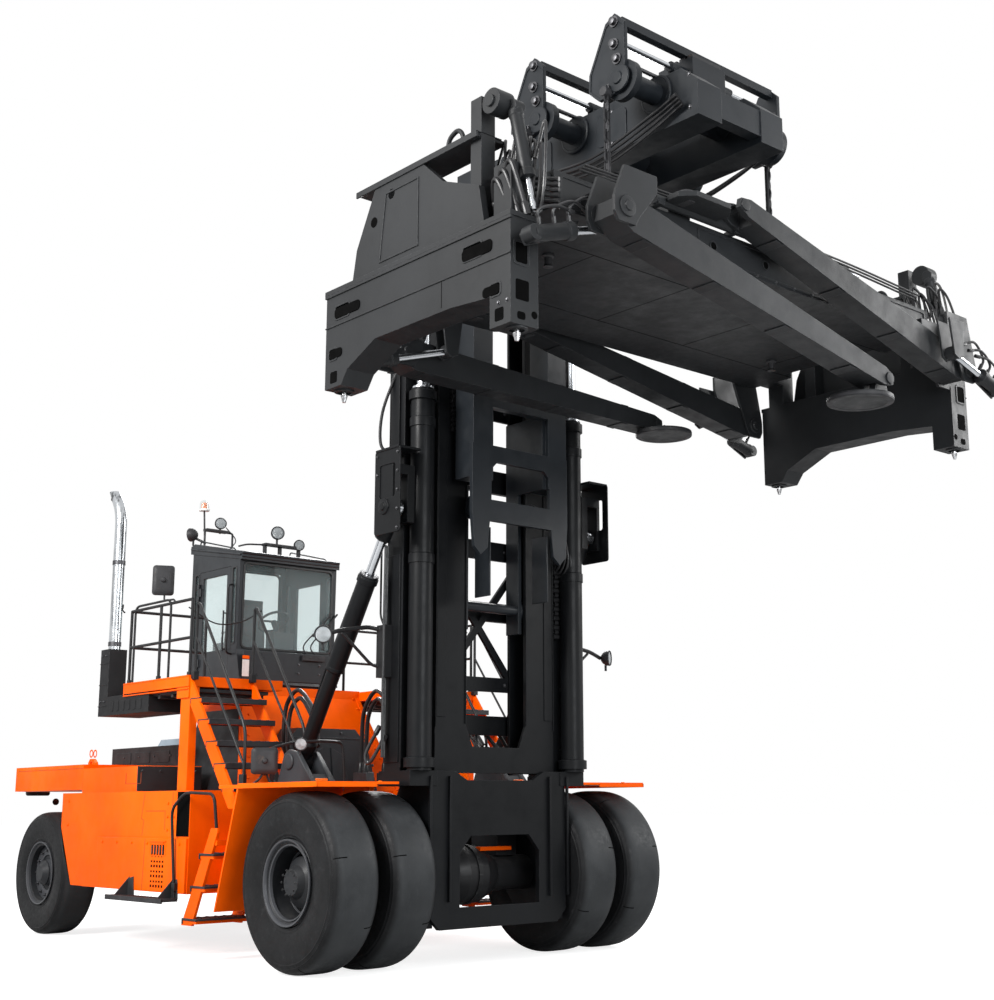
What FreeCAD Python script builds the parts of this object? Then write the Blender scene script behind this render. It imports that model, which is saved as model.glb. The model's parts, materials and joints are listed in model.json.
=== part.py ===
import FreeCAD, Part
import math
import os
import Sketcher

# Loaded container handler: a heavy lift truck with a two-stage mast and a top spreader with folding legs.
# Frame: X forward, Y to the left, Z up, millimetres. The origin is on the floor under the box centre.

# --------------------------------------------------------------------------------------------------
# Driving dimensions. "x" sizes ending in _dx are measured forward from the drive axle.
# --------------------------------------------------------------------------------------------------
SIZES = {
    # running gear
    "wheelbase": 6235,
    "tyre_r": 840,
    "tyre_w": 520,
    "track_over": 4250,
    "dual_pitch": 665,
    "bead_r": 400,
    "rim_wall": 24,
    "hub_r": 235,
    "axle_tube_r": 180,
    "diff_r": 300,
    "bearing_gap": 0.3,
    "seat_gap": 0.3,
    "steer_tyre_r": 745,
    "steer_tyre_w": 450,
    "steer_over": 3600,
    "kingpin_y": 1180,
    "kingpin_r": 55,
    "yoke_r": 130,
    "yoke_t": 60,
    "arm_t": 45,
    "steer_beam_w": 300,
    "steer_beam_t": 260,
    # chassis
    "rail_y": 490,
    "rail_t": 70,
    "rail_low": 905,
    "rail_high": 1450,
    "rail_rear_dx": -6950,
    "rail_front_dx": -200,
    "plate_t": 40,
    "belly_z": 1600,
    "body_half": 2000,
    "box_inner": 1000,
    "box_low": 650,
    "box_step": 1250,
    "box_high": 1712,
    "box_rear_dx": -5200,
    "box_front_dx": -2080,
    "skirt_dx": -4550,
    "skirt_z": 1020,
    "box_nose_dx": -1290,
    "box_nose_half": 1490,
    "ballast_rear_dx": -7200,
    "ballast_front_dx": -4900,
    "ballast_half": 1900,
    "ballast_low": 1750,
    "ballast_high": 2050,
    "ballast_chamfer": 330,
    "ballast_core_half": 560,
    "ballast_core_low": 760,
    "eye_r": 35,
    "eye_t": 50,
    "side_top_front_dx": -3320,
    "side_top_inner": 1200,
    "side_top_high": 2000,
    "engine_half": 380,
    "engine_rear_dx": -5600,
    "engine_front_dx": -4090,
    "engine_high": 2150,
    "hood_rear_dx": -5750,
    "hood_front_dx": -4020,
    "hood_half": 1130,
    "hood_wall": 40,
    "hood_high": 2270,
    "lid_half": 600,
    "lid_rear_dx": -5480,
    "lid_front_dx": -4150,
    "lid_high": 2390,
    # pedestal, deck, stairs
    "ped_rear_dx": -4000,
    "ped_front_low_dx": -2600,
    "ped_front_high_dx": -3150,
    "ped_half_low": 1100,
    "ped_half_high": 800,
    "ped_high": 2930,
    "cover_front_dx": -2560,
    "cover_depth": 480,
    "cover_half_low": 740,
    "cover_half_high": 400,
    "cover_high": 2430,
    "deck_rear_dx": -3750,
    "deck_front_dx": -2230,
    "deck_t": 110,
    "deck_high": 2925,
    "post_dx": -2340,
    "post_w": 200,
    "post_t": 90,
    "stair_foot_dx": -1130,
    "stair_foot_z": 1520,
    "stair_inner": 1190,
    "stringer_t": 30,
    "stringer_w": 210,
    "tread_t": 35,
    "tread_deep": 230,
    "ladder_foot_dx": -1780,
    "ladder_head_dx": -1330,
    "ladder_low": 360,
    "ladder_high": 1330,
    "ladder_inner": 1540,
    "ladder_outer": 2130,
    "rail_tube_r": 17,
    "rail_top": 3770,
    "rail_mid": 3350,
    # fenders
    "fender_high": 1765,
    "fender_t": 25,
    "fender_rear_dx": -850,
    "fender_front_dx": 520,
    "fender_foot_dx": -1230,
    "fender_foot_z": 520,
    "fender_outer": 2150,
    "fender_inner": 910,
    "fender_mast_y": 1210,
    "fender_mast_dx": -140,
    # exhaust
    "stack_dx": -4290,
    "stack_y": 1880,
    "stack_r": 70,
    "stack_low": 2700,
    "stack_high": 5180,
    "muffler_front_dx": -3150,
    "muffler_low": 2590,
    "shield_w": 220,
    # cab
    "cab_half": 700,
    "cab_wall": 45,
    "cab_floor": 2990,
    "cab_rear_dx": -4650,
    "cab_front_dx": -3400,
    "cab_sill_dx": -3500,
    "cab_sill": 3400,
    "cab_brow_dx": -3480,
    "cab_brow": 4500,
    "cab_crown": 4700,
    "roof_t": 130,
    "roof_lip": 50,
    "glass_t": 12,
    "door_rear_dx": -4440,
    "door_front_dx": -3700,
    "door_low": 3040,
    "door_high": 4430,
    "door_gap": 6,
    "hinge_r": 14,
    "window_low": 3420,
    "frame_w": 80,
    # tilt cylinders
    "tilt_y": 1310,
    "tilt_base_dx": -1050,
    "tilt_base_z": 1990,
    "tilt_head_dx": 500,
    "tilt_head_z": 4440,
    "tilt_barrel_r": 95,
    "tilt_rod_r": 45,
    "tilt_barrel_len": 2150,
    "tilt_eye_r": 95,
    "tilt_pin_r": 40,
    "tilt_slack": 15,
    # mast
    "mast_half": 1150,
    "outer_rear_dx": 190,
    "outer_front_dx": 440,
    "outer_web": 55,
    "outer_flange": 35,
    "outer_inner_y": 815,
    "outer_top": 6200,
    "base_low": 1725,
    "base_high": 1870,
    "base_front_dx": 610,
    "cheek_in": 815,
    "cheek_out": 885,
    "cheek_rear_dx": -270,
    "cheek_low": 380,
    "front_plate_dx": 545,
    "front_plate_t": 55,
    "front_plate_low": 360,
    "cross_depth": 60,
    "lift_dx": 580,
    "lift_y": 1020,
    "lift_barrel_r": 122,
    "lift_rod_r": 70,
    "lift_barrel_top": 5700,
    "inner_rear_dx": 240,
    "inner_front_dx": 530,
    "inner_out_y": 790,
    "inner_in_y": 400,
    "inner_web": 50,
    "inner_flange": 34,
    "inner_low": 1850,
    "inner_top": 7650,
    "inner_back": 35,
    "mast_down": -1280,
    # carriage
    "side_plate_y": 340,
    "side_plate_t": 45,
    "side_plate_rear_dx": 290,
    "side_plate_front_dx": 486,
    "side_plate_low": 3300,
    "side_plate_high": 5600,
    "face_dx": 885,
    "face_t": 45,
    "face_half": 650,
    "face_low": 4360,
    "face_high": 5150,
    "lobe_low": 4000,
    "web_low": 4800,
    "upright_rear_dx": 640,
    "upright_in": 385,
    "upright_out": 640,
    "arm_in": 280,
    "arm_out": 600,
    "arm_low": 7600,
    "arm_high": 8120,
    "arm_front_dx": 4050,
    # shift frame
    "hang_rear_dx": 2450,
    "hang_front_dx": 3550,
    "pipe_r": 100,
    "pipe_z": 7960,
    "plate_y": 1065,
    "hang_plate_t": 32,
    "disc_r": 190,
    "disc_t": 70,
    "bar_w": 80,
    "shift_rod_r": 22,
    "shift_rod_z": 8320,
    "shift_barrel_r": 50,
    "chain_r": 24,
    "chain_y": 1125,
    # spreader
    "spread_dx": 3110,
    "lug_z": 6960,
    "beam_low": 6090,
    "beam_high": 6400,
    "beam_wall": 25,
    "beam_out": 1150,
    "beam_in": 610,
    "beam_mid": 880,
    "beam_half": 2560,
    "slide_gap": 8,
    "belly_t": 30,
    "saddle_in": 1000,
    "saddle_out": 1260,
    "saddle_high": 6560,
    "iso_half_x": 1129.5,
    "iso_half_y": 2926.5,
    "end_half": 1219,
    "end_inner": 2790,
    "end_outer": 3065,
    "end_low": 5020,
    "end_step": 5530,
    "end_high": 5860,
    "corner_w": 240,
    "arch_z": 5310,
    "panel_in": 2960,
    "panel_high": 6680,
    "sling_eye_r": 45,
    "sling_eye_dx": 850,
    "sling_eye_lead": 10,
    "sling_eye_drop": 130,
    "flange_high": 6760,
    "twist_r": 32,
    "twist_low": 4920,
    # legs
    "leg_right_dx": 1650,
    "leg_left_dx": 1370,
    "leg_w": 250,
    "leg_root": 290,
    "leg_tip": 170,
    "leg_len": 3400,
    "leg_pin_r": 45,
    "cheek_t": 28,
    "cheek_gap": 6,
    "front_right_y": 2420,
    "front_right_z": 5920,
    "front_right_slope": -11.6,
    "rear_right_y": 2000,
    "rear_right_z": 5660,
    "rear_right_slope": -1.7,
    "front_left_y": 2640,
    "front_left_z": 5720,
    "front_left_slope": 13.7,
    "rear_left_y": 2640,
    "rear_left_z": 5680,
    "rear_left_slope": 8.5,
    "foot_r": 300,
    "foot_t": 45,
    "foot_in": 200,
    "foot_drop_right": 115,
    "foot_drop_left": 55,
    "foot_ahead": 420,
    "plate_in": 200,
    "plate_out": 140,
    "plate_long": 640,
    "plate_cut": 110,
}

doc = FreeCAD.newDocument("container_handler")
sheet = doc.addObject("Spreadsheet::Sheet", "dims")
for row, (alias, value) in enumerate(SIZES.items(), 1):
    sheet.set(f"A{row}", alias)
    sheet.set(f"B{row}", str(value))
    sheet.setAlias(f"B{row}", alias)
doc.recompute()


class Size:
    """A length or an angle that knows its value and the sheet expression that gives it."""

    def __init__(self, value, text):
        self.value = float(value)
        self.text = text

    @staticmethod
    def of(other):
        return other if isinstance(other, Size) else Size(other, repr(float(other)))

    def join(self, other, sign, value):
        return Size(value, f"({self.text} {sign} {other.text})")

    def __add__(self, other):
        other = Size.of(other)
        return self.join(other, "+", self.value + other.value)

    def __sub__(self, other):
        other = Size.of(other)
        return self.join(other, "-", self.value - other.value)

    def __mul__(self, other):
        other = Size.of(other)
        return self.join(other, "*", self.value * other.value)

    def __truediv__(self, other):
        other = Size.of(other)
        return self.join(other, "/", self.value / other.value)

    def __radd__(self, other):
        return Size.of(other) + self

    def __rsub__(self, other):
        return Size.of(other) - self

    def __rmul__(self, other):
        return Size.of(other) * self

    def __neg__(self):
        return Size(-self.value, f"(0 - {self.text})")


def root(size):
    return Size(math.sqrt(size.value), f"sqrt({size.text})")


def cosine(angle):
    return Size(math.cos(math.radians(angle.value)), f"cos({angle.text} * 1deg)")


def sine(angle):
    return Size(math.sin(math.radians(angle.value)), f"sin({angle.text} * 1deg)")


def arc_cosine(size):
    return Size(math.degrees(math.acos(size.value)), f"acos({size.text})")


class Dims:
    """The sheet's cells by name."""

    def __getattr__(self, name):
        return Size(SIZES[name], f"dims.{name}")


d = Dims()
# The box of the whole machine is centred on the origin, which sets where the drive axle stands.
seat_gap = d.seat_gap
leg_half = d.leg_w / 2
cheek_out = leg_half + d.cheek_gap + d.cheek_t
ax = -(d.ballast_rear_dx + d.spread_dx + d.leg_right_dx + cheek_out) / 2
sp_x = ax + d.spread_dx
parts = []
counter = {"n": 0}


def fresh(stem):
    counter["n"] += 1
    return f"{stem}_{counter['n']}"


def bind(obj, prop, size):
    obj.setExpression(prop, Size.of(size).text)


def place(obj, x, y, z):
    bind(obj, "Placement.Base.x", x)
    bind(obj, "Placement.Base.y", y)
    bind(obj, "Placement.Base.z", z)
    return obj


def box(x0, x1, y0, y1, z0, z1):
    """A block between two corners."""
    obj = doc.addObject("Part::Box", fresh("block"))
    bind(obj, "Length", Size.of(x1) - x0)
    bind(obj, "Width", Size.of(y1) - y0)
    bind(obj, "Height", Size.of(z1) - z0)
    return place(obj, x0, y0, z0)


TURNS = {
    "x": FreeCAD.Rotation(FreeCAD.Vector(0, 1, 0), 90),
    "y": FreeCAD.Rotation(FreeCAD.Vector(1, 0, 0), -90),
    "z": FreeCAD.Rotation(),
}


def rod(axis, x, y, z, r, length):
    """A round bar that starts at the point and runs along +axis."""
    obj = doc.addObject("Part::Cylinder", fresh("bar"))
    bind(obj, "Radius", r)
    bind(obj, "Height", length)
    obj.Placement = FreeCAD.Placement(FreeCAD.Vector(), TURNS[axis])
    return place(obj, x, y, z)


def strut(start, end, r, from_start=0, length=None):
    """A round bar on the line between two points that lie in one XZ plane or one YZ plane."""
    dx = Size.of(end[0]) - start[0]
    dy = Size.of(end[1]) - start[1]
    dz = Size.of(end[2]) - start[2]
    span = root(dx * dx + dy * dy + dz * dz)
    obj = doc.addObject("Part::Cylinder", fresh("strut"))
    bind(obj, "Radius", r)
    bind(obj, "Height", span - from_start if length is None else length)
    angle = arc_cosine(dz / span)
    along_x = abs(dx.value) > abs(dy.value)
    lead = dx if along_x else dy
    sign = 1 if lead.value > 0 else -1
    axis = FreeCAD.Vector(0, sign, 0) if along_x else FreeCAD.Vector(-sign, 0, 0)
    obj.Placement = FreeCAD.Placement(FreeCAD.Vector(), FreeCAD.Rotation(axis, angle.value))
    obj.setExpression("Placement.Rotation.Angle", angle.text)
    share = Size.of(from_start) / span
    return place(obj, start[0] + dx * share, start[1] + dy * share, start[2] + dz * share)


def prism(plane, points, low, high):
    """A straight plate with the outline given in the plane, from low to high along the third axis."""
    body = doc.addObject("PartDesign::Body", fresh("plate"))
    sketch = body.newObject("Sketcher::SketchObject", fresh("outline"))
    role = {"xz": "XZ_Plane", "yz": "YZ_Plane", "xy": "XY_Plane"}[plane]
    base = [item for item in body.Origin.OriginFeatures if item.Role == role][0]
    sketch.AttachmentSupport = [(base, "")]
    sketch.MapMode = "FlatFace"
    points = [(Size.of(u), Size.of(v)) for u, v in points]
    count = len(points)
    for i, (u, v) in enumerate(points):
        nu, nv = points[(i + 1) % count]
        line = Part.LineSegment(FreeCAD.Vector(u.value, v.value, 0), FreeCAD.Vector(nu.value, nv.value, 0))
        sketch.addGeometry(line, False)
    for i in range(count):
        sketch.addConstraint(Sketcher.Constraint("Coincident", i, 2, (i + 1) % count, 1))
    for i, (u, v) in enumerate(points):
        across = sketch.addConstraint(Sketcher.Constraint("DistanceX", -1, 1, i, 1, u.value))
        upward = sketch.addConstraint(Sketcher.Constraint("DistanceY", -1, 1, i, 1, v.value))
        sketch.setExpression(f"Constraints[{across}]", u.text)
        sketch.setExpression(f"Constraints[{upward}]", v.text)
    low = Size.of(low)
    high = Size.of(high)
    offset = -high if plane == "xz" else low
    sketch.setExpression("AttachmentOffset.Base.z", offset.text)
    pad = body.newObject("PartDesign::Pad", fresh("pad"))
    pad.Profile = sketch
    pad.setExpression("Length", (high - low).text)
    return body


def ring(points, x, y, z):
    """A turned piece about the Y axis: points are (radius, distance along Y)."""
    body = doc.addObject("PartDesign::Body", fresh("turned"))
    sketch = body.newObject("Sketcher::SketchObject", fresh("section"))
    base = [item for item in body.Origin.OriginFeatures if item.Role == "XY_Plane"][0]
    sketch.AttachmentSupport = [(base, "")]
    sketch.MapMode = "FlatFace"
    points = [(Size.of(u), Size.of(v)) for u, v in points]
    count = len(points)
    for i, (u, v) in enumerate(points):
        nu, nv = points[(i + 1) % count]
        line = Part.LineSegment(FreeCAD.Vector(u.value, v.value, 0), FreeCAD.Vector(nu.value, nv.value, 0))
        sketch.addGeometry(line, False)
    for i in range(count):
        sketch.addConstraint(Sketcher.Constraint("Coincident", i, 2, (i + 1) % count, 1))
    for i, (u, v) in enumerate(points):
        across = sketch.addConstraint(Sketcher.Constraint("DistanceX", -1, 1, i, 1, u.value))
        upward = sketch.addConstraint(Sketcher.Constraint("DistanceY", -1, 1, i, 1, v.value))
        sketch.setExpression(f"Constraints[{across}]", u.text)
        sketch.setExpression(f"Constraints[{upward}]", v.text)
    turn = body.newObject("PartDesign::Revolution", fresh("turn"))
    turn.Profile = sketch
    turn.ReferenceAxis = (sketch, ["V_Axis"])
    turn.Angle = 360
    return place(body, x, y, z)


def fuse(items):
    if len(items) == 1:
        return items[0]
    obj = doc.addObject("Part::MultiFuse", fresh("joined"))
    obj.Shapes = items
    return obj


def cut(base, tools):
    obj = doc.addObject("Part::Cut", fresh("cut"))
    obj.Base = base
    obj.Tool = fuse(tools)
    return obj


def pair(items):
    """Solids that stay apart but share a node."""
    obj = doc.addObject("Part::Compound", fresh("set"))
    obj.Links = items
    return obj


def mirrored(item):
    """The same piece on the other side of the machine."""
    obj = doc.addObject("Part::Mirroring", fresh("mirror"))
    obj.Source = item
    obj.Normal = FreeCAD.Vector(0, 1, 0)
    return obj


def both(item):
    return pair([item, mirrored(item)])


def node(name, obj):
    obj.Label = name
    parts.append(obj)
    return obj


def node_pair(stem, obj):
    """The right-hand piece and its mirror image, as two nodes."""
    node(f"{stem}_right", obj)
    node(f"{stem}_left", mirrored(obj))


# --------------------------------------------------------------------------------------------------
# Wheels and axles. Right-hand pieces have negative Y.
# --------------------------------------------------------------------------------------------------
outer_y = d.track_over / 2 - d.tyre_w / 2
inner_y = outer_y - d.dual_pitch
steer_x = ax - d.wheelbase
steer_y = d.steer_over / 2 - d.steer_tyre_w / 2


def tyre(radius, width, bead, x, y, z):
    """A tyre with a flat tread, rounded shoulders and bulged side walls."""
    half = width / 2
    wall = radius - bead
    section = [
        (bead, -half * 0.80),
        (bead + wall * 0.30, -half * 0.97),
        (bead + wall * 0.60, -half),
        (radius - wall * 0.16, -half * 0.97),
        (radius - wall * 0.05, -half * 0.90),
        (radius, -half * 0.78),
        (radius, half * 0.78),
        (radius - wall * 0.05, half * 0.90),
        (radius - wall * 0.16, half * 0.97),
        (bead + wall * 0.60, half),
        (bead + wall * 0.30, half * 0.97),
        (bead, half * 0.80),
    ]
    return ring(section, x, y, z)


def rim(bead, width, dish, hub, x, y, z):
    """A rim barrel with flanges and a centre disc set in from the outer edge; negative Y is outside."""
    half = width / 2
    wall = d.rim_wall
    skin = bead - 0.3
    section = [
        (hub, dish - half),
        (skin - wall * 2, dish - half),
        (skin - wall * 2, -half * 0.80),
        (skin - wall, -half * 0.86),
        (skin, -half * 0.80 - 0.5),
        (skin, half * 0.80),
        (skin - wall, half * 0.86),
        (skin - wall * 2, half * 0.80),
        (skin - wall * 2, dish - half + wall * 1.5),
        (hub, dish - half + wall * 1.5),
    ]
    return ring(section, x, y, z)


drive_z = d.tyre_r
for side, sign in (("right", -1), ("left", 1)):
    twins = [tyre(d.tyre_r, d.tyre_w, d.bead_r, ax, offset * sign, drive_z) for offset in (outer_y, inner_y)]
    node(f"drive_tyres_{side}", pair(twins))

hub_end = outer_y + d.tyre_w / 2 - 60
drive_rims = [
    rim(d.bead_r, d.tyre_w, d.tyre_w * 0.62, d.hub_r - 1, ax, -outer_y, drive_z),
    rim(d.bead_r, d.tyre_w, d.tyre_w * 0.5, d.hub_r - 1, ax, -inner_y, drive_z),
]
hub_bore = d.axle_tube_r - 50
hub_start = inner_y - d.tyre_w / 2 + 90
hub_section = [
    (hub_bore + d.bearing_gap, -(hub_end - 160)),
    (0.0, -(hub_end - 160)),
    (0.0, -hub_end),
    (hub_bore - 10, -hub_end),
    (hub_bore + 30, -(hub_end - 60)),
    (d.hub_r, -(hub_end - 110)),
    (d.hub_r, -hub_start),
    (hub_bore + d.bearing_gap, -hub_start),
]
drive_hub = ring(hub_section, ax, 0, drive_z)
node_pair("drive_hub", fuse([drive_hub] + drive_rims))

tube_end = hub_start - 6
spindle_end = hub_end - 165
half_section = [
    (d.axle_tube_r, -tube_end),
    (d.axle_tube_r, -(d.diff_r + 30)),
    (d.diff_r * 0.82, -d.diff_r * 0.75),
    (d.diff_r * 0.97, -d.diff_r * 0.4),
]
axle_section = [(0.0, -spindle_end), (hub_bore, -spindle_end), (hub_bore, -tube_end)]
axle_section += half_section + [(r, -y) for r, y in reversed(half_section)]
axle_section += [(hub_bore, tube_end), (hub_bore, spindle_end), (0.0, spindle_end)]
axle_body = ring(axle_section, ax, 0, drive_z)
diff_neck = rod("x", ax - 620, 0, drive_z, d.diff_r * 0.6, 600)
node("drive_axle", fuse([axle_body, diff_neck]))

# steered wheels: yoke beam, knuckles and wheels
king_y = d.kingpin_y
yoke_h = d.steer_beam_t / 2
steer_z = d.steer_tyre_r
beam_x0 = steer_x - d.steer_beam_w / 2
beam = box(beam_x0, beam_x0 + d.steer_beam_w, -(king_y - 190), king_y - 190, steer_z - yoke_h, steer_z + yoke_h)
yokes = []
for sign in (-1, 1):
    for level in (-1, 1):
        base_z = steer_z + yoke_h if level > 0 else steer_z - yoke_h - d.yoke_t
        yokes.append(rod("z", steer_x, king_y * sign, base_z, d.yoke_r, d.yoke_t))
        inner = king_y - 260
        y0 = inner if sign > 0 else -king_y
        yokes.append(box(steer_x - 110, steer_x + 110, y0, y0 + 260, base_z, base_z + d.yoke_t))
steer_mount = box(steer_x - 140, steer_x + 140, -(d.rail_y + 60), d.rail_y + 60, steer_z + yoke_h, d.rail_low)
pin_bores = []
for sign in (-1, 1):
    pin_bores.append(rod("z", steer_x, king_y * sign, steer_z - yoke_h - 70, d.kingpin_r + d.bearing_gap,
                         yoke_h * 2 + 140))
node("steer_axle", cut(fuse([beam, steer_mount] + yokes), pin_bores))

knuckle_half = yoke_h - 6
knuckle_post = rod("z", steer_x, -king_y, steer_z - knuckle_half, d.yoke_r - 15, knuckle_half * 2)
arm_top = steer_z - yoke_h - d.yoke_t - 6
kingpin = rod("z", steer_x, -king_y, arm_top - d.arm_t, d.kingpin_r, yoke_h * 2 + d.yoke_t * 2 + 6 + d.arm_t)
stub_end = steer_y + d.steer_tyre_w / 2 - 90
stub = rod("y", steer_x, -stub_end, steer_z, 70, stub_end - king_y)
steer_arm = box(steer_x - 330, steer_x + 75, -(king_y + 75), -(king_y - 75), arm_top - d.arm_t, arm_top)
node_pair("steer_knuckle", fuse([knuckle_post, kingpin, stub, steer_arm]))

steer_bead = d.bead_r * 0.96
item = tyre(d.steer_tyre_r, d.steer_tyre_w, steer_bead, steer_x, -steer_y, steer_z)
node_pair("steer_tyre", item)
steer_rim = rim(steer_bead, d.steer_tyre_w, d.steer_tyre_w * 0.30, 150.0, steer_x, -steer_y, steer_z)
wheel_hub_section = [
    (70 + d.bearing_gap, -(stub_end + 5)),
    (0.0, -(stub_end + 5)),
    (0.0, -(stub_end + 75)),
    (90.0, -(stub_end + 75)),
    (152.0, -(stub_end + 20)),
    (152.0, -(king_y + d.yoke_r + 40)),
    (70 + d.bearing_gap, -(king_y + d.yoke_r + 40)),
]
wheel_hub = ring(wheel_hub_section, steer_x, 0, steer_z)
node_pair("steer_hub", fuse([wheel_hub, steer_rim]))

# --------------------------------------------------------------------------------------------------
# Chassis, body panels, counterweight and engine
# --------------------------------------------------------------------------------------------------
rail_x0 = ax + d.rail_rear_dx
rail_x1 = ax + d.rail_front_dx
rails = []
for sign in (-1, 1):
    y0 = d.rail_y * sign - d.rail_t / 2
    rails.append(box(rail_x0, rail_x1, y0, y0 + d.rail_t, d.rail_low, d.rail_high))
cross_in = d.rail_y + d.rail_t / 2
cross = []
for dx in (-6700.0, -5760.0, -3400.0, -1500.0):
    cross.append(box(ax + dx, ax + dx + 120, -cross_in, cross_in, d.rail_low, d.rail_high - 250))
for dx in (-4700.0, -3200.0, -2250.0):
    cross.append(box(ax + dx, ax + dx + 120, -d.box_inner, d.box_inner, d.rail_low + 20, d.rail_low + 180))
saddle_top = d.tyre_r + d.axle_tube_r
for sign in (-1, 1):
    y0 = d.rail_y * sign - 130
    cross.append(box(ax - 300, ax + 120, y0, y0 + 260, saddle_top, d.rail_high))
    cross.append(box(ax - 300, ax - d.axle_tube_r, y0, y0 + 260, d.rail_low, saddle_top))
belly_half = d.fender_inner - 5
belly = box(ax - 2590, ax - 380, -belly_half, belly_half, d.belly_z, d.belly_z + d.plate_t)
belly_web = box(ax - 2590, ax - 2450, -cross_in, cross_in, d.rail_high - 250, d.belly_z)
belly_web_front = box(ax - 480, ax - 380, -cross_in, cross_in, d.rail_high - 250, d.belly_z)
node("chassis_frame", fuse(rails + cross + [belly, belly_web, belly_web_front]))

box_points = [
    (ax + d.box_rear_dx, d.box_high),
    (ax + d.box_rear_dx, d.skirt_z + 280),
    (ax + d.box_rear_dx + 120, d.skirt_z),
    (ax + d.skirt_dx, d.box_low),
    (ax + d.box_front_dx, d.box_low),
    (ax + d.box_front_dx, d.box_high),
]
side_box = prism("xz", box_points, -d.body_half, -d.box_inner)
nose = box(ax + d.box_front_dx, ax + d.box_nose_dx, -d.box_nose_half, -d.box_inner, d.box_low, d.box_step)
side_top = box(ax + d.ballast_front_dx + 4, ax + d.side_top_front_dx, -d.ballast_half, -d.side_top_inner,
               d.box_high, d.side_top_high)
node("side_boxes", both(fuse([side_box, nose, side_top])))

c = d.ballast_chamfer
bay_x = ax + d.hood_rear_dx - 5
bay_y = d.hood_half + 5
slab_points = [
    (ax + d.ballast_rear_dx, c - d.ballast_half),
    (ax + d.ballast_rear_dx + c, -d.ballast_half),
    (ax + d.ballast_front_dx, -d.ballast_half),
    (ax + d.ballast_front_dx, -bay_y),
    (bay_x, -bay_y),
    (bay_x, bay_y),
    (ax + d.ballast_front_dx, bay_y),
    (ax + d.ballast_front_dx, d.ballast_half),
    (ax + d.ballast_rear_dx + c, d.ballast_half),
    (ax + d.ballast_rear_dx, d.ballast_half - c),
]
slab = prism("xy", slab_points, d.ballast_low, d.ballast_high)
core_rear = box(ax + d.ballast_rear_dx + 60, ax + d.rail_rear_dx - 5, -d.ballast_core_half, d.ballast_core_half,
                d.ballast_core_low, d.ballast_low)
core_top = box(ax + d.rail_rear_dx - 5, bay_x, -d.ballast_core_half, d.ballast_core_half, d.rail_high,
               d.ballast_low)
tow_plates = []
tow_holes = []
for sign in (-1, 1):
    y0 = 760 * sign - 25
    tow_x = ax + d.ballast_rear_dx + 110
    tow_plates.append(prism("xz", [
        (tow_x + 150, d.ballast_high - 5),
        (tow_x + 110, d.ballast_high + 90),
        (tow_x + 40, d.ballast_high + 140),
        (tow_x - 40, d.ballast_high + 140),
        (tow_x - 90, d.ballast_high + 90),
        (tow_x - 90, d.ballast_high - 5),
    ], y0, y0 + d.eye_t))
    tow_holes.append(rod("y", tow_x, y0 - 10, d.ballast_high + 70, d.eye_r, d.eye_t + 20))
node("counterweight", cut(fuse([slab, core_rear, core_top] + tow_plates), tow_holes))

engine_low = d.rail_low + 180
engine_block = box(ax + d.engine_rear_dx, ax + d.engine_front_dx, -d.engine_half, d.engine_half,
                   engine_low, d.engine_high)
node("engine", engine_block)

hood_t = d.hood_wall
hood = box(ax + d.hood_rear_dx, ax + d.hood_front_dx, -d.hood_half, d.hood_half, d.rail_high, d.hood_high)
engine_room = box(ax + d.hood_rear_dx + hood_t, ax + d.hood_front_dx - hood_t, -(d.hood_half - hood_t),
                  d.hood_half - hood_t, d.rail_high - 10, d.hood_high - hood_t)
over_boxes = []
for sign in (-1, 1):
    y0 = d.box_inner - 5 if sign > 0 else -(d.hood_half + 5)
    over_boxes.append(box(ax + d.box_rear_dx - 5, ax + d.hood_front_dx + 10, y0,
                          y0 + d.hood_half - d.box_inner + 10, d.rail_high - 10, d.box_high))
node("engine_hood", cut(hood, [engine_room] + over_boxes))
lid_points = [
    (ax + d.lid_rear_dx - 130, d.hood_high),
    (ax + d.lid_front_dx, d.hood_high),
    (ax + d.lid_front_dx, d.lid_high),
    (ax + d.lid_rear_dx, d.lid_high),
]
node("hood_lid", prism("xz", lid_points, -d.lid_half, d.lid_half))

# --------------------------------------------------------------------------------------------------
# Cab pedestal, deck, stairs, ladders, handrails and fenders
# --------------------------------------------------------------------------------------------------
ped_low = d.box_high
pedestal = doc.addObject("Part::Wedge", fresh("wedge"))
pedestal.Placement = FreeCAD.Placement(FreeCAD.Vector(), FreeCAD.Rotation(FreeCAD.Vector(1, 0, 0), 90))
bind(pedestal, "Xmin", ax + d.ped_rear_dx)
bind(pedestal, "Xmax", ax + d.ped_front_low_dx)
bind(pedestal, "X2min", ax + d.ped_rear_dx)
bind(pedestal, "X2max", ax + d.ped_front_high_dx)
bind(pedestal, "Ymin", ped_low)
bind(pedestal, "Ymax", d.ped_high)
bind(pedestal, "Zmin", -d.ped_half_low)
bind(pedestal, "Zmax", d.ped_half_low)
bind(pedestal, "Z2min", -d.ped_half_high)
bind(pedestal, "Z2max", d.ped_half_high)


def cover_outline(grow):
    shoulder = (d.cover_half_low + d.cover_half_high) / 2
    return [
        (-(d.cover_half_low + grow), ped_low),
        (d.cover_half_low + grow, ped_low),
        (shoulder + grow, d.cover_high - 180),
        (d.cover_half_high + grow, d.cover_high + grow),
        (-(d.cover_half_high + grow), d.cover_high + grow),
        (-(shoulder + grow), d.cover_high - 180),
    ]


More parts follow.
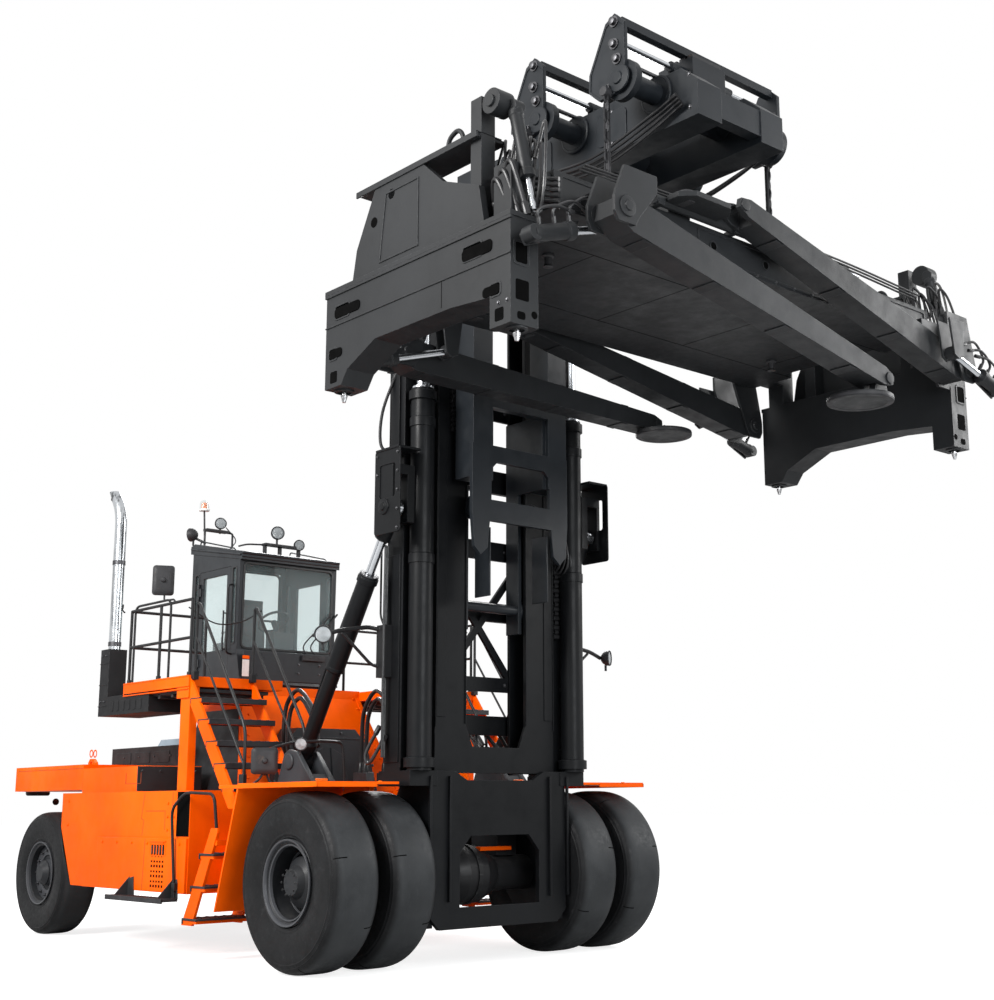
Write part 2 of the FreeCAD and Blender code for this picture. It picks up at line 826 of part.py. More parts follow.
cover_x1 = ax + d.cover_front_dx
cover = prism("yz", cover_outline(Size.of(0)), cover_x1 - d.cover_depth, cover_x1)
cover_room = prism("yz", cover_outline(Size.of(seat_gap)), cover_x1 - d.cover_depth - seat_gap, cover_x1 + 100)
plinth = box(ax + d.ped_rear_dx, ax + d.ped_front_low_dx, -(d.box_inner - 5), d.box_inner - 5, d.rail_high, ped_low)
node("cab_pedestal", fuse([cut(pedestal, [cover_room]), plinth]))
node("front_cover", cover)

deck_low = d.deck_high - d.deck_t
ped_slope = (d.ped_half_low - d.ped_half_high) / (d.ped_high - ped_low)
deck_inner = d.ped_half_high + ped_slope * (d.ped_high - deck_low) + seat_gap
deck = box(ax + d.deck_rear_dx, ax + d.deck_front_dx, -d.body_half, -deck_inner, deck_low, d.deck_high)
post_x = ax + d.post_dx
post = box(post_x - d.post_w / 2, post_x + d.post_w / 2, -(d.body_half - 30), -(d.body_half - 30 - d.post_t),
           d.box_high, deck_low)
post_shoe = box(post_x - d.post_w / 2 - 60, post_x + d.post_w / 2, -(d.body_half - 10),
                -(d.body_half - 50 - d.post_t), deck_low - 120, deck_low)
node("deck", both(fuse([deck, post, post_shoe])))

stair_x0 = ax + d.deck_front_dx
stair_x1 = ax + d.stair_foot_dx
stair_run = stair_x1 - stair_x0
stair_fall = d.deck_high - d.stair_foot_z


def stringer(x0, z0, x1, z1, width, y0, thick):
    points = [(x0, z0), (x1, z1), (x1 - width, z1), (x0, z0 - width * (z0 - z1) / (x1 - x0))]
    return prism("xz", points, y0, y0 + thick)


flight = []
stair_z0 = d.deck_high - 20
for y0 in (-(d.body_half - 20), -(d.stair_inner + d.stringer_t)):
    flight.append(stringer(stair_x0, stair_z0, stair_x1, d.stair_foot_z, d.stringer_w, y0, d.stringer_t))
STAIR_STEPS = 5
for i in range(1, STAIR_STEPS + 1):
    share = i / (STAIR_STEPS + 1)
    tread_x = stair_x0 + stair_run * share - 150
    tread_z = stair_z0 - stair_fall * share
    flight.append(box(tread_x, tread_x + d.tread_deep, -(d.body_half - 20), -d.stair_inner,
                      tread_z - d.tread_t, tread_z))
node("stairs", both(fuse(flight)))

ladder_x0 = ax + d.ladder_foot_dx
ladder_x1 = ax + d.ladder_head_dx
ladder = []
for y0 in (-d.ladder_outer, -(d.ladder_inner + d.stringer_t)):
    points = [
        (ladder_x0 - 150, d.ladder_low),
        (ladder_x0 + 60, d.ladder_low),
        (ladder_x1 + 60, d.ladder_high - 40),
        (ladder_x1 + 60, d.ladder_high),
        (ladder_x1 - 70, d.ladder_high),
    ]
    ladder.append(prism("xz", points, y0, y0 + d.stringer_t))
LADDER_STEPS = 3
for i in range(LADDER_STEPS):
    share = i / LADDER_STEPS
    tread_x = ladder_x0 + (ladder_x1 - ladder_x0) * share - 110
    tread_z = d.ladder_low + 20 + (d.ladder_high - d.ladder_low) * share
    ladder.append(box(tread_x, tread_x + 260, -d.ladder_outer, -d.ladder_inner, tread_z, tread_z + d.tread_t))
ladder.append(box(ladder_x1 - 60, ladder_x1 + 40, -(d.ladder_outer - 10), -(d.box_nose_half + seat_gap),
                  d.box_step - 90, d.box_step - 40))
node("side_ladders", both(fuse(ladder)))

rail_r = d.rail_tube_r
rail_y = d.body_half - 40
rail_x_rear = ax + d.deck_rear_dx + 40
rail_x_front = ax + d.deck_front_dx - 60
guard = []
for x in (rail_x_rear, rail_x_rear + (rail_x_front - rail_x_rear) * 0.5, rail_x_front):
    guard.append(rod("z", x, -rail_y, d.deck_high, rail_r, d.rail_top - d.deck_high))
for z in (d.rail_top, d.rail_mid):
    guard.append(rod("x", rail_x_rear, -rail_y, z, rail_r, rail_x_front - rail_x_rear))
    guard.append(rod("y", rail_x_rear, -rail_y, z, rail_r, rail_y - d.ped_half_high - 200))
guard.append(rod("z", rail_x_rear, -(d.ped_half_high + 200), d.deck_high, rail_r, d.rail_top - d.deck_high))
node("handrails", both(fuse(guard)))

fender_points = [
    (ax + d.fender_rear_dx - d.fender_t, -d.fender_outer),
    (ax + d.fender_front_dx, -d.fender_outer),
    (ax + d.fender_front_dx, -d.fender_mast_y),
    (ax + d.fender_mast_dx, -d.fender_mast_y),
    (ax + d.fender_mast_dx, -d.fender_inner),
    (ax + d.fender_rear_dx - d.fender_t, -d.fender_inner),
]
fender_low = d.fender_high - d.fender_t
fender_top = prism("xy", fender_points, fender_low, d.fender_high)
fender_back = prism("xz", [
    (ax + d.fender_rear_dx, d.fender_high),
    (ax + d.fender_rear_dx - d.fender_t, d.fender_high),
    (ax + d.fender_foot_dx - d.fender_t, d.fender_foot_z),
    (ax + d.fender_foot_dx, d.fender_foot_z),
], -d.fender_outer, -d.fender_inner)
fender_stay = box(ax + d.fender_rear_dx, ax - 400, -d.fender_inner, -(belly_half - 60),
                  d.belly_z + d.plate_t, d.fender_high)
tilt_foot_x = ax + d.tilt_base_dx
tilt_feet = []
for gap in (-1, 1):
    y0 = -d.tilt_y + gap * 115 - 20
    tilt_feet.append(prism("xz", [
        (tilt_foot_x + 420, d.fender_high - 5),
        (tilt_foot_x + 110, d.tilt_base_z + 80),
        (tilt_foot_x - 90, d.tilt_base_z + 80),
        (tilt_foot_x - 90, d.tilt_base_z - 110),
        (tilt_foot_x + 205, d.fender_high - 5),
    ], y0, y0 + 40))
tilt_pin = rod("y", tilt_foot_x, -(d.tilt_y + 135), d.tilt_base_z, d.tilt_pin_r, 270)
node("fenders", both(fuse([fender_top, fender_back, fender_stay, tilt_pin] + tilt_feet)))

# --------------------------------------------------------------------------------------------------
# Exhaust
# --------------------------------------------------------------------------------------------------
stack_x = ax + d.stack_dx
stack = rod("z", stack_x, -d.stack_y, d.stack_low, d.stack_r, d.stack_high - d.stack_low)
stack_tip = strut((stack_x, -d.stack_y, d.stack_high - 20), (stack_x - 160, -d.stack_y, d.stack_high + 110),
                  d.stack_r)
node("exhaust_stack", fuse([stack, stack_tip]))
shield_half = d.shield_w / 2
shield = box(stack_x - shield_half, stack_x + shield_half, -(d.stack_y + shield_half),
             -(d.stack_y - shield_half), d.muffler_low, d.deck_high + 450)
muffler_top = deck_low - 4
muffler = box(stack_x - shield_half, ax + d.muffler_front_dx, -(d.stack_y + shield_half),
              -(d.stack_y - 420), d.muffler_low, muffler_top)
pipe_room = rod("z", stack_x, -d.stack_y, d.stack_low - 1, d.stack_r + 0.3, 2000)
hanger = box(ax + d.deck_rear_dx + 200, ax + d.deck_rear_dx + 280, -(d.stack_y - 100), -(d.stack_y - 300),
             muffler_top, deck_low)
node("muffler", cut(fuse([shield, muffler, hanger]), [pipe_room]))

# --------------------------------------------------------------------------------------------------
# Cab
# --------------------------------------------------------------------------------------------------


def cab_outline(inset):
    return [
        (ax + d.cab_rear_dx + inset, d.cab_floor + inset),
        (ax + d.cab_front_dx - inset, d.cab_floor + inset),
        (ax + d.cab_sill_dx - inset, d.cab_sill),
        (ax + d.cab_brow_dx - inset, d.cab_brow - inset * 0.2),
        (ax + d.cab_rear_dx + inset, d.cab_crown - inset * 0.2),
    ]


wall = d.cab_wall
half = d.cab_half
shell = prism("xz", cab_outline(Size.of(0)), -half, half)
hollow = prism("xz", cab_outline(wall), -(half - wall), half - wall)
over = box(ax + d.cab_rear_dx + wall, ax + d.cab_brow_dx - wall, -(half - wall), half - wall,
           d.cab_brow - 20, d.cab_crown + 60)
front_open = box(ax + d.cab_sill_dx - 200, ax + d.cab_front_dx + 20, -(half - 60), half - 60,
                 d.window_low, d.cab_brow - 30)
rear_open = box(ax + d.cab_rear_dx - 20, ax + d.cab_rear_dx + 200, -(half - 110), half - 110,
                d.window_low, d.cab_crown - 140)
side_open = []
SIDE_WINDOWS = ((-4560.0, -4480.0), (-3640.0, -3560.0))
for x0, x1 in SIDE_WINDOWS:
    side_open.append(box(ax + x0, ax + x1, -(half + 20), half + 20, d.window_low + 60, d.cab_brow - 90))
left_open = box(ax + d.door_rear_dx + d.frame_w, ax + d.door_front_dx - d.frame_w, half - 200, half + 20,
                d.window_low, d.door_high - d.frame_w)
door_room = box(ax + d.door_rear_dx - d.door_gap, ax + d.door_front_dx + d.door_gap, -(half + 20),
                -(half - 200), d.door_low - d.door_gap, d.door_high + d.door_gap)
cab_shell = cut(shell, [hollow, over, front_open, rear_open, left_open, door_room] + side_open)
sub_frame = box(ax + d.cab_rear_dx + 100, ax + d.ped_front_high_dx - 320, -(half - 100), half - 100,
                d.ped_high, d.cab_floor)

lip = d.roof_lip
roof_fall = lip * (d.cab_crown - d.cab_brow) / (d.cab_brow_dx - d.cab_rear_dx)
roof_points = [
    (ax + d.cab_rear_dx - lip, d.cab_crown + roof_fall + seat_gap),
    (ax + d.cab_brow_dx + lip, d.cab_brow - roof_fall + seat_gap),
    (ax + d.cab_brow_dx + lip, d.cab_brow + d.roof_t * 0.7),
    (ax + d.cab_rear_dx + lip, d.cab_crown + d.roof_t),
    (ax + d.cab_rear_dx - lip, d.cab_crown + d.roof_t * 0.8),
]
node("cab_roof", prism("xz", roof_points, -(half + 10), half + 10))

glass = d.glass_t
windscreen = prism("xz", [
    (ax + d.cab_sill_dx - 22, d.window_low + 2),
    (ax + d.cab_sill_dx - 22 + glass, d.window_low + 2),
    (ax + d.cab_brow_dx - 22 + glass, d.cab_brow - 30 - seat_gap),
    (ax + d.cab_brow_dx - 22, d.cab_brow - 30 - seat_gap),
], -(half - 60 - seat_gap), half - 60 - seat_gap)
panes = [windscreen, box(ax + d.cab_rear_dx + 15, ax + d.cab_rear_dx + 15 + glass, -(half - 110 - seat_gap), half - 110 - seat_gap,
             d.window_low + seat_gap, d.cab_crown - 140 - seat_gap)]
for x0, x1 in SIDE_WINDOWS:
    for y0 in (-(half - 15), half - 15 - glass):
        panes.append(box(ax + x0 + seat_gap, ax + x1 - seat_gap, y0, y0 + glass, d.window_low + 60 + seat_gap,
                         d.cab_brow - 90 - seat_gap))
panes.append(box(ax + d.door_rear_dx + d.frame_w + seat_gap, ax + d.door_front_dx - d.frame_w - seat_gap,
                 half - 15 - glass, half - 15, d.window_low + seat_gap, d.door_high - d.frame_w - seat_gap))
node("cab_windows", pair(panes))

hinge_x = ax + d.door_rear_dx - d.door_gap
hinge_y = -(half + d.hinge_r + 1)
door_knuckles = []
cab_knuckles = []
for z in (d.door_low + 200, d.door_high - 300):
    door_knuckles.append(rod("z", hinge_x, hinge_y, z, d.hinge_r, 100))
    door_knuckles.append(box(hinge_x, hinge_x + 60, hinge_y - 6, -half, z, z + 100))
    for z0 in (z - 60 - seat_gap, z + 100 + seat_gap):
        cab_knuckles.append(rod("z", hinge_x, hinge_y, z0, d.hinge_r, 60))
        cab_knuckles.append(box(hinge_x - 50, hinge_x, hinge_y - 6, -half, z0, z0 + 60))
door_t = wall
door_y0 = -half
door_blank = box(ax + d.door_rear_dx, ax + d.door_front_dx, door_y0, door_y0 + door_t, d.door_low, d.door_high)
door_window = box(ax + d.door_rear_dx + d.frame_w, ax + d.door_front_dx - d.frame_w, door_y0 - 10,
                  door_y0 + door_t + 10, d.window_low, d.door_high - d.frame_w)
handle = rod("z", ax + d.door_front_dx - 60, door_y0 - 45, d.door_low + 350, rail_r * 0.6, 500)
handle_feet = []
for z in (380.0, 820.0):
    handle_feet.append(rod("y", ax + d.door_front_dx - 60, door_y0 - 45, d.door_low + z, rail_r * 0.5, 50))
node("cab_door", fuse([cut(door_blank, [door_window]), handle] + handle_feet + door_knuckles))
node("door_glass", box(ax + d.door_rear_dx + d.frame_w + seat_gap, ax + d.door_front_dx - d.frame_w - seat_gap,
                       door_y0 + 15, door_y0 + 15 + glass, d.window_low + seat_gap, d.door_high - d.frame_w - seat_gap))

seat_x = ax - 4260
seat_floor = d.cab_floor + wall
seat_base = box(seat_x - 190, seat_x + 190, -180, 180, seat_floor - 5, seat_floor + 330)
node("cab_shell", fuse([cab_shell, sub_frame, seat_base] + cab_knuckles))
cushion = box(seat_x - 230, seat_x + 250, -250, 250, seat_floor + 330.3, seat_floor + 450)
backrest = prism("xz", [
    (seat_x - 225, seat_floor + 450.3),
    (seat_x - 105, seat_floor + 450.3),
    (seat_x - 200, seat_floor + 1150),
    (seat_x - 290, seat_floor + 1150),
], -240, 240)
node("seat", pair([cushion, backrest]))
console_x = ax + d.cab_sill_dx - 260
console = box(console_x, console_x + 190, -140, 140, seat_floor, seat_floor + 620)
steer_column = strut((console_x + 60, 0, seat_floor + 600), (console_x - 60, 0, seat_floor + 780), 35)
wheel_rim = doc.addObject("Part::Torus", fresh("hoop"))
wheel_rim.Radius1 = 190
wheel_rim.Radius2 = 16
wheel_rim.Placement.Rotation = FreeCAD.Rotation(FreeCAD.Vector(0, 1, 0), -34)
place(wheel_rim, console_x - 60, 0, seat_floor + 780)
spokes = rod("y", console_x - 60, -190, seat_floor + 780, 14, 380)
node("steering_console", fuse([console, steer_column, wheel_rim, spokes]))

# --------------------------------------------------------------------------------------------------
# Tilt cylinders
# --------------------------------------------------------------------------------------------------
base_pt = (tilt_foot_x, -d.tilt_y, d.tilt_base_z)
head_pt = (ax + d.tilt_head_dx, -d.tilt_y, d.tilt_head_z)
pin_gap = d.bearing_gap
tilt_dx = head_pt[0] - base_pt[0]
tilt_dz = head_pt[2] - base_pt[2]
tilt_span = root(tilt_dx * tilt_dx + tilt_dz * tilt_dz)


def eye(point, radius, hole, width):
    ball = rod("y", point[0], point[1] - width / 2, point[2], radius, width)
    bore = rod("y", point[0], point[1] - width, point[2], hole, width * 2)
    return ball, bore


ball, bore = eye(base_pt, d.tilt_eye_r, d.tilt_pin_r + pin_gap, 170)
slim = d.tilt_barrel_r * 0.8
barrel_low = strut(base_pt, head_pt, slim, 60, d.tilt_barrel_len * 0.5)
barrel_high = strut(base_pt, head_pt, d.tilt_barrel_r, d.tilt_barrel_len * 0.5, d.tilt_barrel_len * 0.5)
rod_bore = strut(base_pt, head_pt, d.tilt_rod_r + pin_gap, 700)
node_pair("tilt_barrel", cut(fuse([ball, barrel_low, barrel_high]), [bore, rod_bore]))
ball, head_bore = eye(head_pt, d.tilt_eye_r, d.tilt_pin_r + d.tilt_slack, 110)
tilt_rod = strut(base_pt, head_pt, d.tilt_rod_r, 1250, tilt_span - 1250)
node_pair("tilt_rod", cut(fuse([ball, tilt_rod]), [head_bore]))

# --------------------------------------------------------------------------------------------------
# Outer mast: turns about the drive axle
# --------------------------------------------------------------------------------------------------
mast = []
out_x0 = ax + d.outer_rear_dx
out_x1 = ax + d.outer_front_dx
for sign in (-1, 1):
    def span(a, b):
        return (a, b) if sign > 0 else (-b, -a)
    y0, y1 = span(d.mast_half - d.outer_web, d.mast_half)
    mast.append(box(out_x0, out_x1, y0, y1, d.base_high, d.outer_top))
    y0, y1 = span(d.outer_inner_y, d.mast_half - d.outer_web)
    mast.append(box(out_x0, out_x0 + d.outer_flange, y0, y1, d.base_high, d.outer_top))
    mast.append(box(out_x1 - d.outer_flange, out_x1, y0, y1, d.base_high, d.outer_top))
    y0, y1 = span(d.outer_inner_y, d.mast_half)
    mast.append(box(out_x0 - 90, ax + d.base_front_dx, y0, y1, d.base_low, d.base_high))
    y0, y1 = span(d.cheek_in, d.cheek_out)
    mast.append(prism("xz", [
        (ax + d.cheek_rear_dx, d.tyre_r - 200),
        (ax - 60, d.cheek_low),
        (ax + d.base_front_dx - 60, d.cheek_low),
        (ax + d.base_front_dx - 60, d.base_low + 20),
        (out_x0 - 90, d.base_low + 20),
        (ax + d.cheek_rear_dx, d.tyre_r + 260),
    ], y0, y1))
    y0, y1 = span(d.mast_half, d.tilt_y - 75)
    mast.append(box(out_x0 + 90, ax + d.tilt_head_dx + 130, y0, y1,
                    d.tilt_head_z - 150, d.tilt_head_z + 430))
    y0, y1 = span(d.tilt_y + 70, d.tilt_y + 110)
    mast.append(box(ax + d.tilt_head_dx - 130, ax + d.tilt_head_dx + 130, y0, y1,
                    d.tilt_head_z - 150, d.tilt_head_z + 430))
    y0, y1 = span(d.tilt_y - 75, d.tilt_y + 70)
    mast.append(box(ax + d.tilt_head_dx - 130, ax + d.tilt_head_dx + 130, y0, y1,
                    d.tilt_head_z + 330, d.tilt_head_z + 430))
    y0, y1 = span(d.mast_half, d.tilt_y + 110)
    mast.append(rod("y", head_pt[0], y0, d.tilt_head_z, d.tilt_pin_r, y1 - y0))
plate_x0 = ax + d.front_plate_dx
plate_x1 = plate_x0 + d.front_plate_t
front_plate = prism("yz", [
    (-d.cheek_out, d.base_high),
    (-d.cheek_out, d.front_plate_low + 120),
    (-(d.cheek_out - 120), d.front_plate_low),
    (d.cheek_out - 120, d.front_plate_low),
    (d.cheek_out, d.front_plate_low + 120),
    (d.cheek_out, d.base_high),
    (590, d.base_high),
    (430, d.base_high - 90),
    (-430, d.base_high - 90),
    (-590, d.base_high),
], plate_x0, plate_x1)
window = prism("yz", [
    (-520, 560), (520, 560), (520, 1080), (380, 1240), (-380, 1240), (-520, 1080),
], plate_x0 - 20, plate_x1 + 20)
mast.append(cut(front_plate, [window]))
cross_x0 = out_x0 - d.cross_depth
for z0, z1 in ((2250.0, 2450.0), (3450.0, 3650.0), (4850.0, 5100.0), (5950.0, 6200.0)):
    mast.append(box(cross_x0, out_x0, -d.mast_half, d.mast_half, z0, z1))
axle_room = rod("y", ax, -(d.cheek_out + 20), drive_z, d.axle_tube_r + pin_gap, (d.cheek_out + 20) * 2)
node("outer_mast", cut(fuse(mast), [axle_room]))

barrels = []
for sign in (-1, 1):
    barrels.append(rod("z", ax + d.lift_dx - 0, d.lift_y * sign, d.base_high, d.lift_barrel_r,
                       d.lift_barrel_top - d.base_high))
lift_bores = []
for sign in (-1, 1):
    lift_bores.append(rod("z", ax + d.lift_dx, d.lift_y * sign, d.base_high + 100, d.lift_rod_r + pin_gap,
                          d.lift_barrel_top - d.base_high))
clamps = []
for sign in (-1, 1):
    y0 = d.lift_y * sign - 60
    clamps.append(box(out_x1, ax + d.lift_dx - 60, y0, y0 + 120, d.lift_barrel_top - 260, d.lift_barrel_top - 140))
node("lift_barrels", pair([cut(fuse([barrels[i], clamps[i]]), [lift_bores[i]]) for i in range(2)]))

# --------------------------------------------------------------------------------------------------
# Inner mast and lift rods
# --------------------------------------------------------------------------------------------------
inn = []
in_x0 = ax + d.inner_rear_dx
in_x1 = ax + d.inner_front_dx
for sign in (-1, 1):
    def span(a, b):
        return (a, b) if sign > 0 else (-b, -a)
    y0, y1 = span(d.inner_out_y - d.inner_web, d.inner_out_y)
    inn.append(box(in_x0, in_x1, y0, y1, d.inner_low, d.inner_top))
    y0, y1 = span(d.inner_in_y, d.inner_out_y - d.inner_web)
    inn.append(box(in_x0, in_x0 + d.inner_flange, y0, y1, d.inner_low, d.inner_top))
    inn.append(box(in_x1 - d.inner_flange, in_x1, y0, y1, d.inner_low, d.inner_top))
    y0, y1 = span(d.inner_out_y, d.lift_y + 110)
    inn.append(box(in_x0, ax + d.lift_dx + 110, y0, y1, d.inner_top - 150, d.inner_top))
    roller_x = (out_x0 + out_x1) / 2
    y0, y1 = span(d.inner_out_y, d.mast_half - d.outer_web - 6)
    roller_r = (out_x1 - out_x0) / 2 - d.outer_flange - 0.3
    for z in (d.base_high - d.mast_down + 130, d.outer_top - 2200):
        inn.append(rod("y", roller_x, y0, z, roller_r, y1 - y0))
back_x0 = in_x0 - d.inner_back
for z0, z1 in ((2700.0, 2850.0), (4100.0, 4300.0), (5650.0, 5850.0), (7400.0, 7650.0)):
    inn.append(box(back_x0, in_x0, -d.inner_out_y, d.inner_out_y, z0, z1))
inn.append(prism("yz", [
    (-d.inner_out_y, d.inner_low),
    (d.inner_out_y, d.inner_low),
    (d.inner_out_y, d.inner_low + 480),
    (d.inner_in_y, d.inner_low + 480),
    (d.inner_in_y - 90, d.inner_low + 260),
    (-(d.inner_in_y - 90), d.inner_low + 260),
    (-d.inner_in_y, d.inner_low + 480),
    (-d.inner_out_y, d.inner_low + 480),
], in_x1 - d.inner_flange, in_x1))
brace_half = d.inner_in_y + 20
for a, b in ((2850.0, 3900.0), (3900.0, 2850.0)):
    inn.append(prism("yz", [
        (-brace_half, a - 60), (brace_half, b - 60), (brace_half, b + 60), (-brace_half, a + 60),
    ], back_x0, in_x0))
node("inner_mast", fuse(inn))
rods = []
for sign in (-1, 1):
    rods.append(rod("z", ax + d.lift_dx, d.lift_y * sign, d.base_high + 1500, d.lift_rod_r,
                    d.inner_top - 150 - d.base_high - 1500))
node("lift_rods", pair(rods))

# --------------------------------------------------------------------------------------------------
# Carriage: runs in the inner mast and carries two long arms over the spreader
# --------------------------------------------------------------------------------------------------
car = []
face_x0 = ax + d.face_dx
face_x1 = face_x0 + d.face_t
for sign in (-1, 1):
    def span(a, b):
        return (a, b) if sign > 0 else (-b, -a)
    y0, y1 = span(d.side_plate_y, d.side_plate_y + d.side_plate_t)
    car.append(box(ax + d.side_plate_rear_dx, ax + d.side_plate_front_dx, y0, y1,
                   d.side_plate_low, d.side_plate_high))
    car.append(box(ax + d.side_plate_front_dx, face_x0, y0, y1, d.web_low, d.side_plate_high))
    roller_y1 = d.inner_out_y - d.inner_web - 6
    y0, y1 = span(d.side_plate_y + d.side_plate_t, roller_y1)
    roller_x = (in_x0 + in_x1) / 2
    roller_r = (in_x1 - in_x0) / 2 - d.inner_flange - 0.3
    for z in (d.side_plate_low + 250, d.side_plate_high - 250):
        car.append(rod("y", roller_x, y0, z, roller_r, y1 - y0))
    y0, y1 = span(d.upright_in, d.upright_out)
    car.append(box(ax + d.upright_rear_dx, face_x1, y0, y1, d.web_low, d.arm_high))
    y0, y1 = span(d.arm_in, d.arm_out)
    arm_points = [
        (ax + d.upright_rear_dx, d.arm_high),
        (ax + d.upright_rear_dx, d.arm_low - 500),
        (face_x1 + 60, d.arm_low - 500),
        (face_x1 + 560, d.arm_low),
        (ax + d.arm_front_dx, d.arm_low),
        (ax + d.arm_front_dx, d.arm_high - 180),
        (ax + d.arm_front_dx - 200, d.arm_high),
    ]
    car.append(prism("xz", arm_points, y0, y1))
car.append(rod("y", ax + 430, -(d.side_plate_y + 5), d.side_plate_low + 250, 50, (d.side_plate_y + 5) * 2))
face = prism("yz", [
    (-d.face_half, d.face_high),
    (-d.face_half, d.face_low + 60),
    (-(d.face_half - 30), d.lobe_low + 80),
    (-(d.face_half - 110), d.lobe_low),
    (-(d.face_half - 200), d.lobe_low + 80),
    (-(d.face_half - 230), d.face_low),
    (d.face_half - 230, d.face_low),
    (d.face_half - 200, d.lobe_low + 80),
    (d.face_half - 110, d.lobe_low),
    (d.face_half - 30, d.lobe_low + 80),
    (d.face_half, d.face_low + 60),
    (d.face_half, d.face_high),
], face_x0, face_x1)
face_window = prism("yz", [
    (-400, 4580), (400, 4580), (400, 4900), (320, 4980), (-320, 4980), (-400, 4900),
], face_x0 - 10, face_x1 + 10)
car.append(cut(face, [face_window]))
for z0 in (5560.0, 6500.0):
    car.append(box(face_x0 - 60, face_x1, -d.upright_in, d.upright_in, z0, z0 + 180))
for dx in (d.upright_rear_dx + 60, d.hang_rear_dx - 420, d.arm_front_dx - 140):
    car.append(box(ax + dx, ax + dx + 130, -d.arm_in, d.arm_in, d.arm_low + 60, d.arm_high - 200))
pipe_bores = []
for hang in (d.hang_rear_dx, d.hang_front_dx):
    pipe_bores.append(rod("y", ax + hang, -(d.arm_out + 40), d.pipe_z, d.pipe_r + pin_gap, (d.arm_out + 40) * 2))
    car.append(rod("y", ax + hang, -(d.arm_out + 30), d.pipe_z, d.pipe_r + 60, (d.arm_out + 30) * 2))
valve_box = box(ax + d.hang_front_dx - 320, ax + d.hang_front_dx + 120, -230, 230, d.pipe_z + 170, d.arm_high + 330)
shift_barrels = []
shift_bores = []
for hang in (d.hang_rear_dx, d.hang_front_dx):
    x = ax + hang
    shift_barrels.append(rod("y", x, -420, d.shift_rod_z, d.shift_barrel_r, 840))
    shift_barrels.append(box(x - 40, x + 40, -400, -320, d.arm_high - 10, d.shift_rod_z))
    shift_barrels.append(box(x - 40, x + 40, 320, 400, d.arm_high - 10, d.shift_rod_z))
    shift_bores.append(rod("y", x, -430, d.shift_rod_z, d.shift_rod_r + pin_gap, 860))
carriage = cut(fuse(car + [valve_box] + shift_barrels), pipe_bores + shift_bores)
node("carriage", carriage)

# --------------------------------------------------------------------------------------------------
# Side-shift frame with the spreader hung from it
# --------------------------------------------------------------------------------------------------
frame_items = []
chains = []
for hang in (d.hang_rear_dx, d.hang_front_dx):
    x = ax + hang
    for sign in (-1, 1):
        y0 = d.plate_y if sign > 0 else -(d.plate_y + d.hang_plate_t)
        frame_items.append(prism("xz", [
            (x - 380, d.pipe_z + 170),
            (x - 160, d.pipe_z + 600),
            (x - 40, d.pipe_z + 660),
            (x + 80, d.pipe_z + 540),
            (x + 80, d.pipe_z - 60),
            (x - 60, d.pipe_z - 130),
            (x - 260, d.pipe_z - 130),
            (x - 390, d.pipe_z - 10),
        ], y0, y0 + d.hang_plate_t))
        y0 = d.plate_y - d.disc_t if sign > 0 else -d.plate_y
        frame_items.append(rod("y", x, y0, d.pipe_z, d.disc_r, d.disc_t))
        ear_y = d.plate_y + d.hang_plate_t if sign > 0 else -(d.chain_y + d.chain_r + 14)
        ear_w = d.chain_y + d.chain_r + 14 - d.plate_y - d.hang_plate_t
        frame_items.append(rod("y", x - 130, ear_y, d.pipe_z - 60, 30, ear_w))
        chains.append(rod("z", x - 130, d.chain_y * sign, d.lug_z + 32, d.chain_r, d.pipe_z - 90 - 32 - d.lug_z))
    frame_items.append(rod("y", x, -d.plate_y, d.pipe_z, d.pipe_r, d.plate_y * 2))
    frame_items.append(rod("y", x, -d.plate_y, d.shift_rod_z, d.shift_rod_r, d.plate_y * 2))
    frame_items.append(box(x - 60, x - 60 + d.bar_w, -d.plate_y, d.plate_y, d.pipe_z + 540, d.pipe_z + 540 + d.bar_w))
node("shift_frame", pair([fuse(frame_items[:len(frame_items) // 2]), fuse(frame_items[len(frame_items) // 2:])]))
node("hanger_chains", pair(chains))

# --------------------------------------------------------------------------------------------------
# Spreader main frame: two double box beams, a belly plate, saddles with lugs and leg brackets
# --------------------------------------------------------------------------------------------------
frame = []
tunnels = []
beam_wall = d.beam_wall
for sign in (-1, 1):
    def cross_span(a, b):
        return (sp_x + a, sp_x + b) if sign > 0 else (sp_x - b, sp_x - a)
    x0, x1 = cross_span(d.beam_in, d.beam_out)
    frame.append(box(x0, x1, -d.beam_half, d.beam_half, d.beam_low, d.beam_high))
    for a, b in ((d.beam_in, d.beam_mid), (d.beam_mid, d.beam_out)):
        x0, x1 = cross_span(a + beam_wall, b - beam_wall)
        tunnels.append(box(x0, x1, -(d.beam_half + 10), d.beam_half + 10, d.beam_low + beam_wall,
                           d.beam_high - beam_wall))
belly_plate = box(sp_x - d.beam_in, sp_x + d.beam_in, -(d.beam_half - 160), d.beam_half - 160,
                  d.beam_low, d.beam_low + d.belly_t)
for sign in (-1, 1):
    y0 = d.saddle_in if sign > 0 else -d.saddle_out
    frame.append(box(sp_x - d.beam_out, sp_x + d.beam_out, y0, y0 + d.saddle_out - d.saddle_in,
                     d.beam_high, d.saddle_high))
    for hang in (d.hang_rear_dx, d.hang_front_dx):
        lug_x = ax + hang - 130
        y0 = d.chain_y * sign - 60
        for off in (0, 95):
            frame.append(prism("xz", [
                (lug_x - 170, d.saddle_high - 5),
                (lug_x + 170, d.saddle_high - 5),
                (lug_x + 60, d.lug_z + 60),
                (lug_x - 60, d.lug_z + 60),
            ], y0 + off, y0 + off + 25))
        frame.append(rod("y", lug_x, y0, d.lug_z, 32, 120))
centre_box = box(sp_x - 420, sp_x + 420, -(d.saddle_in - 4), d.saddle_in - 4, d.beam_low + d.belly_t, d.beam_high + 60)
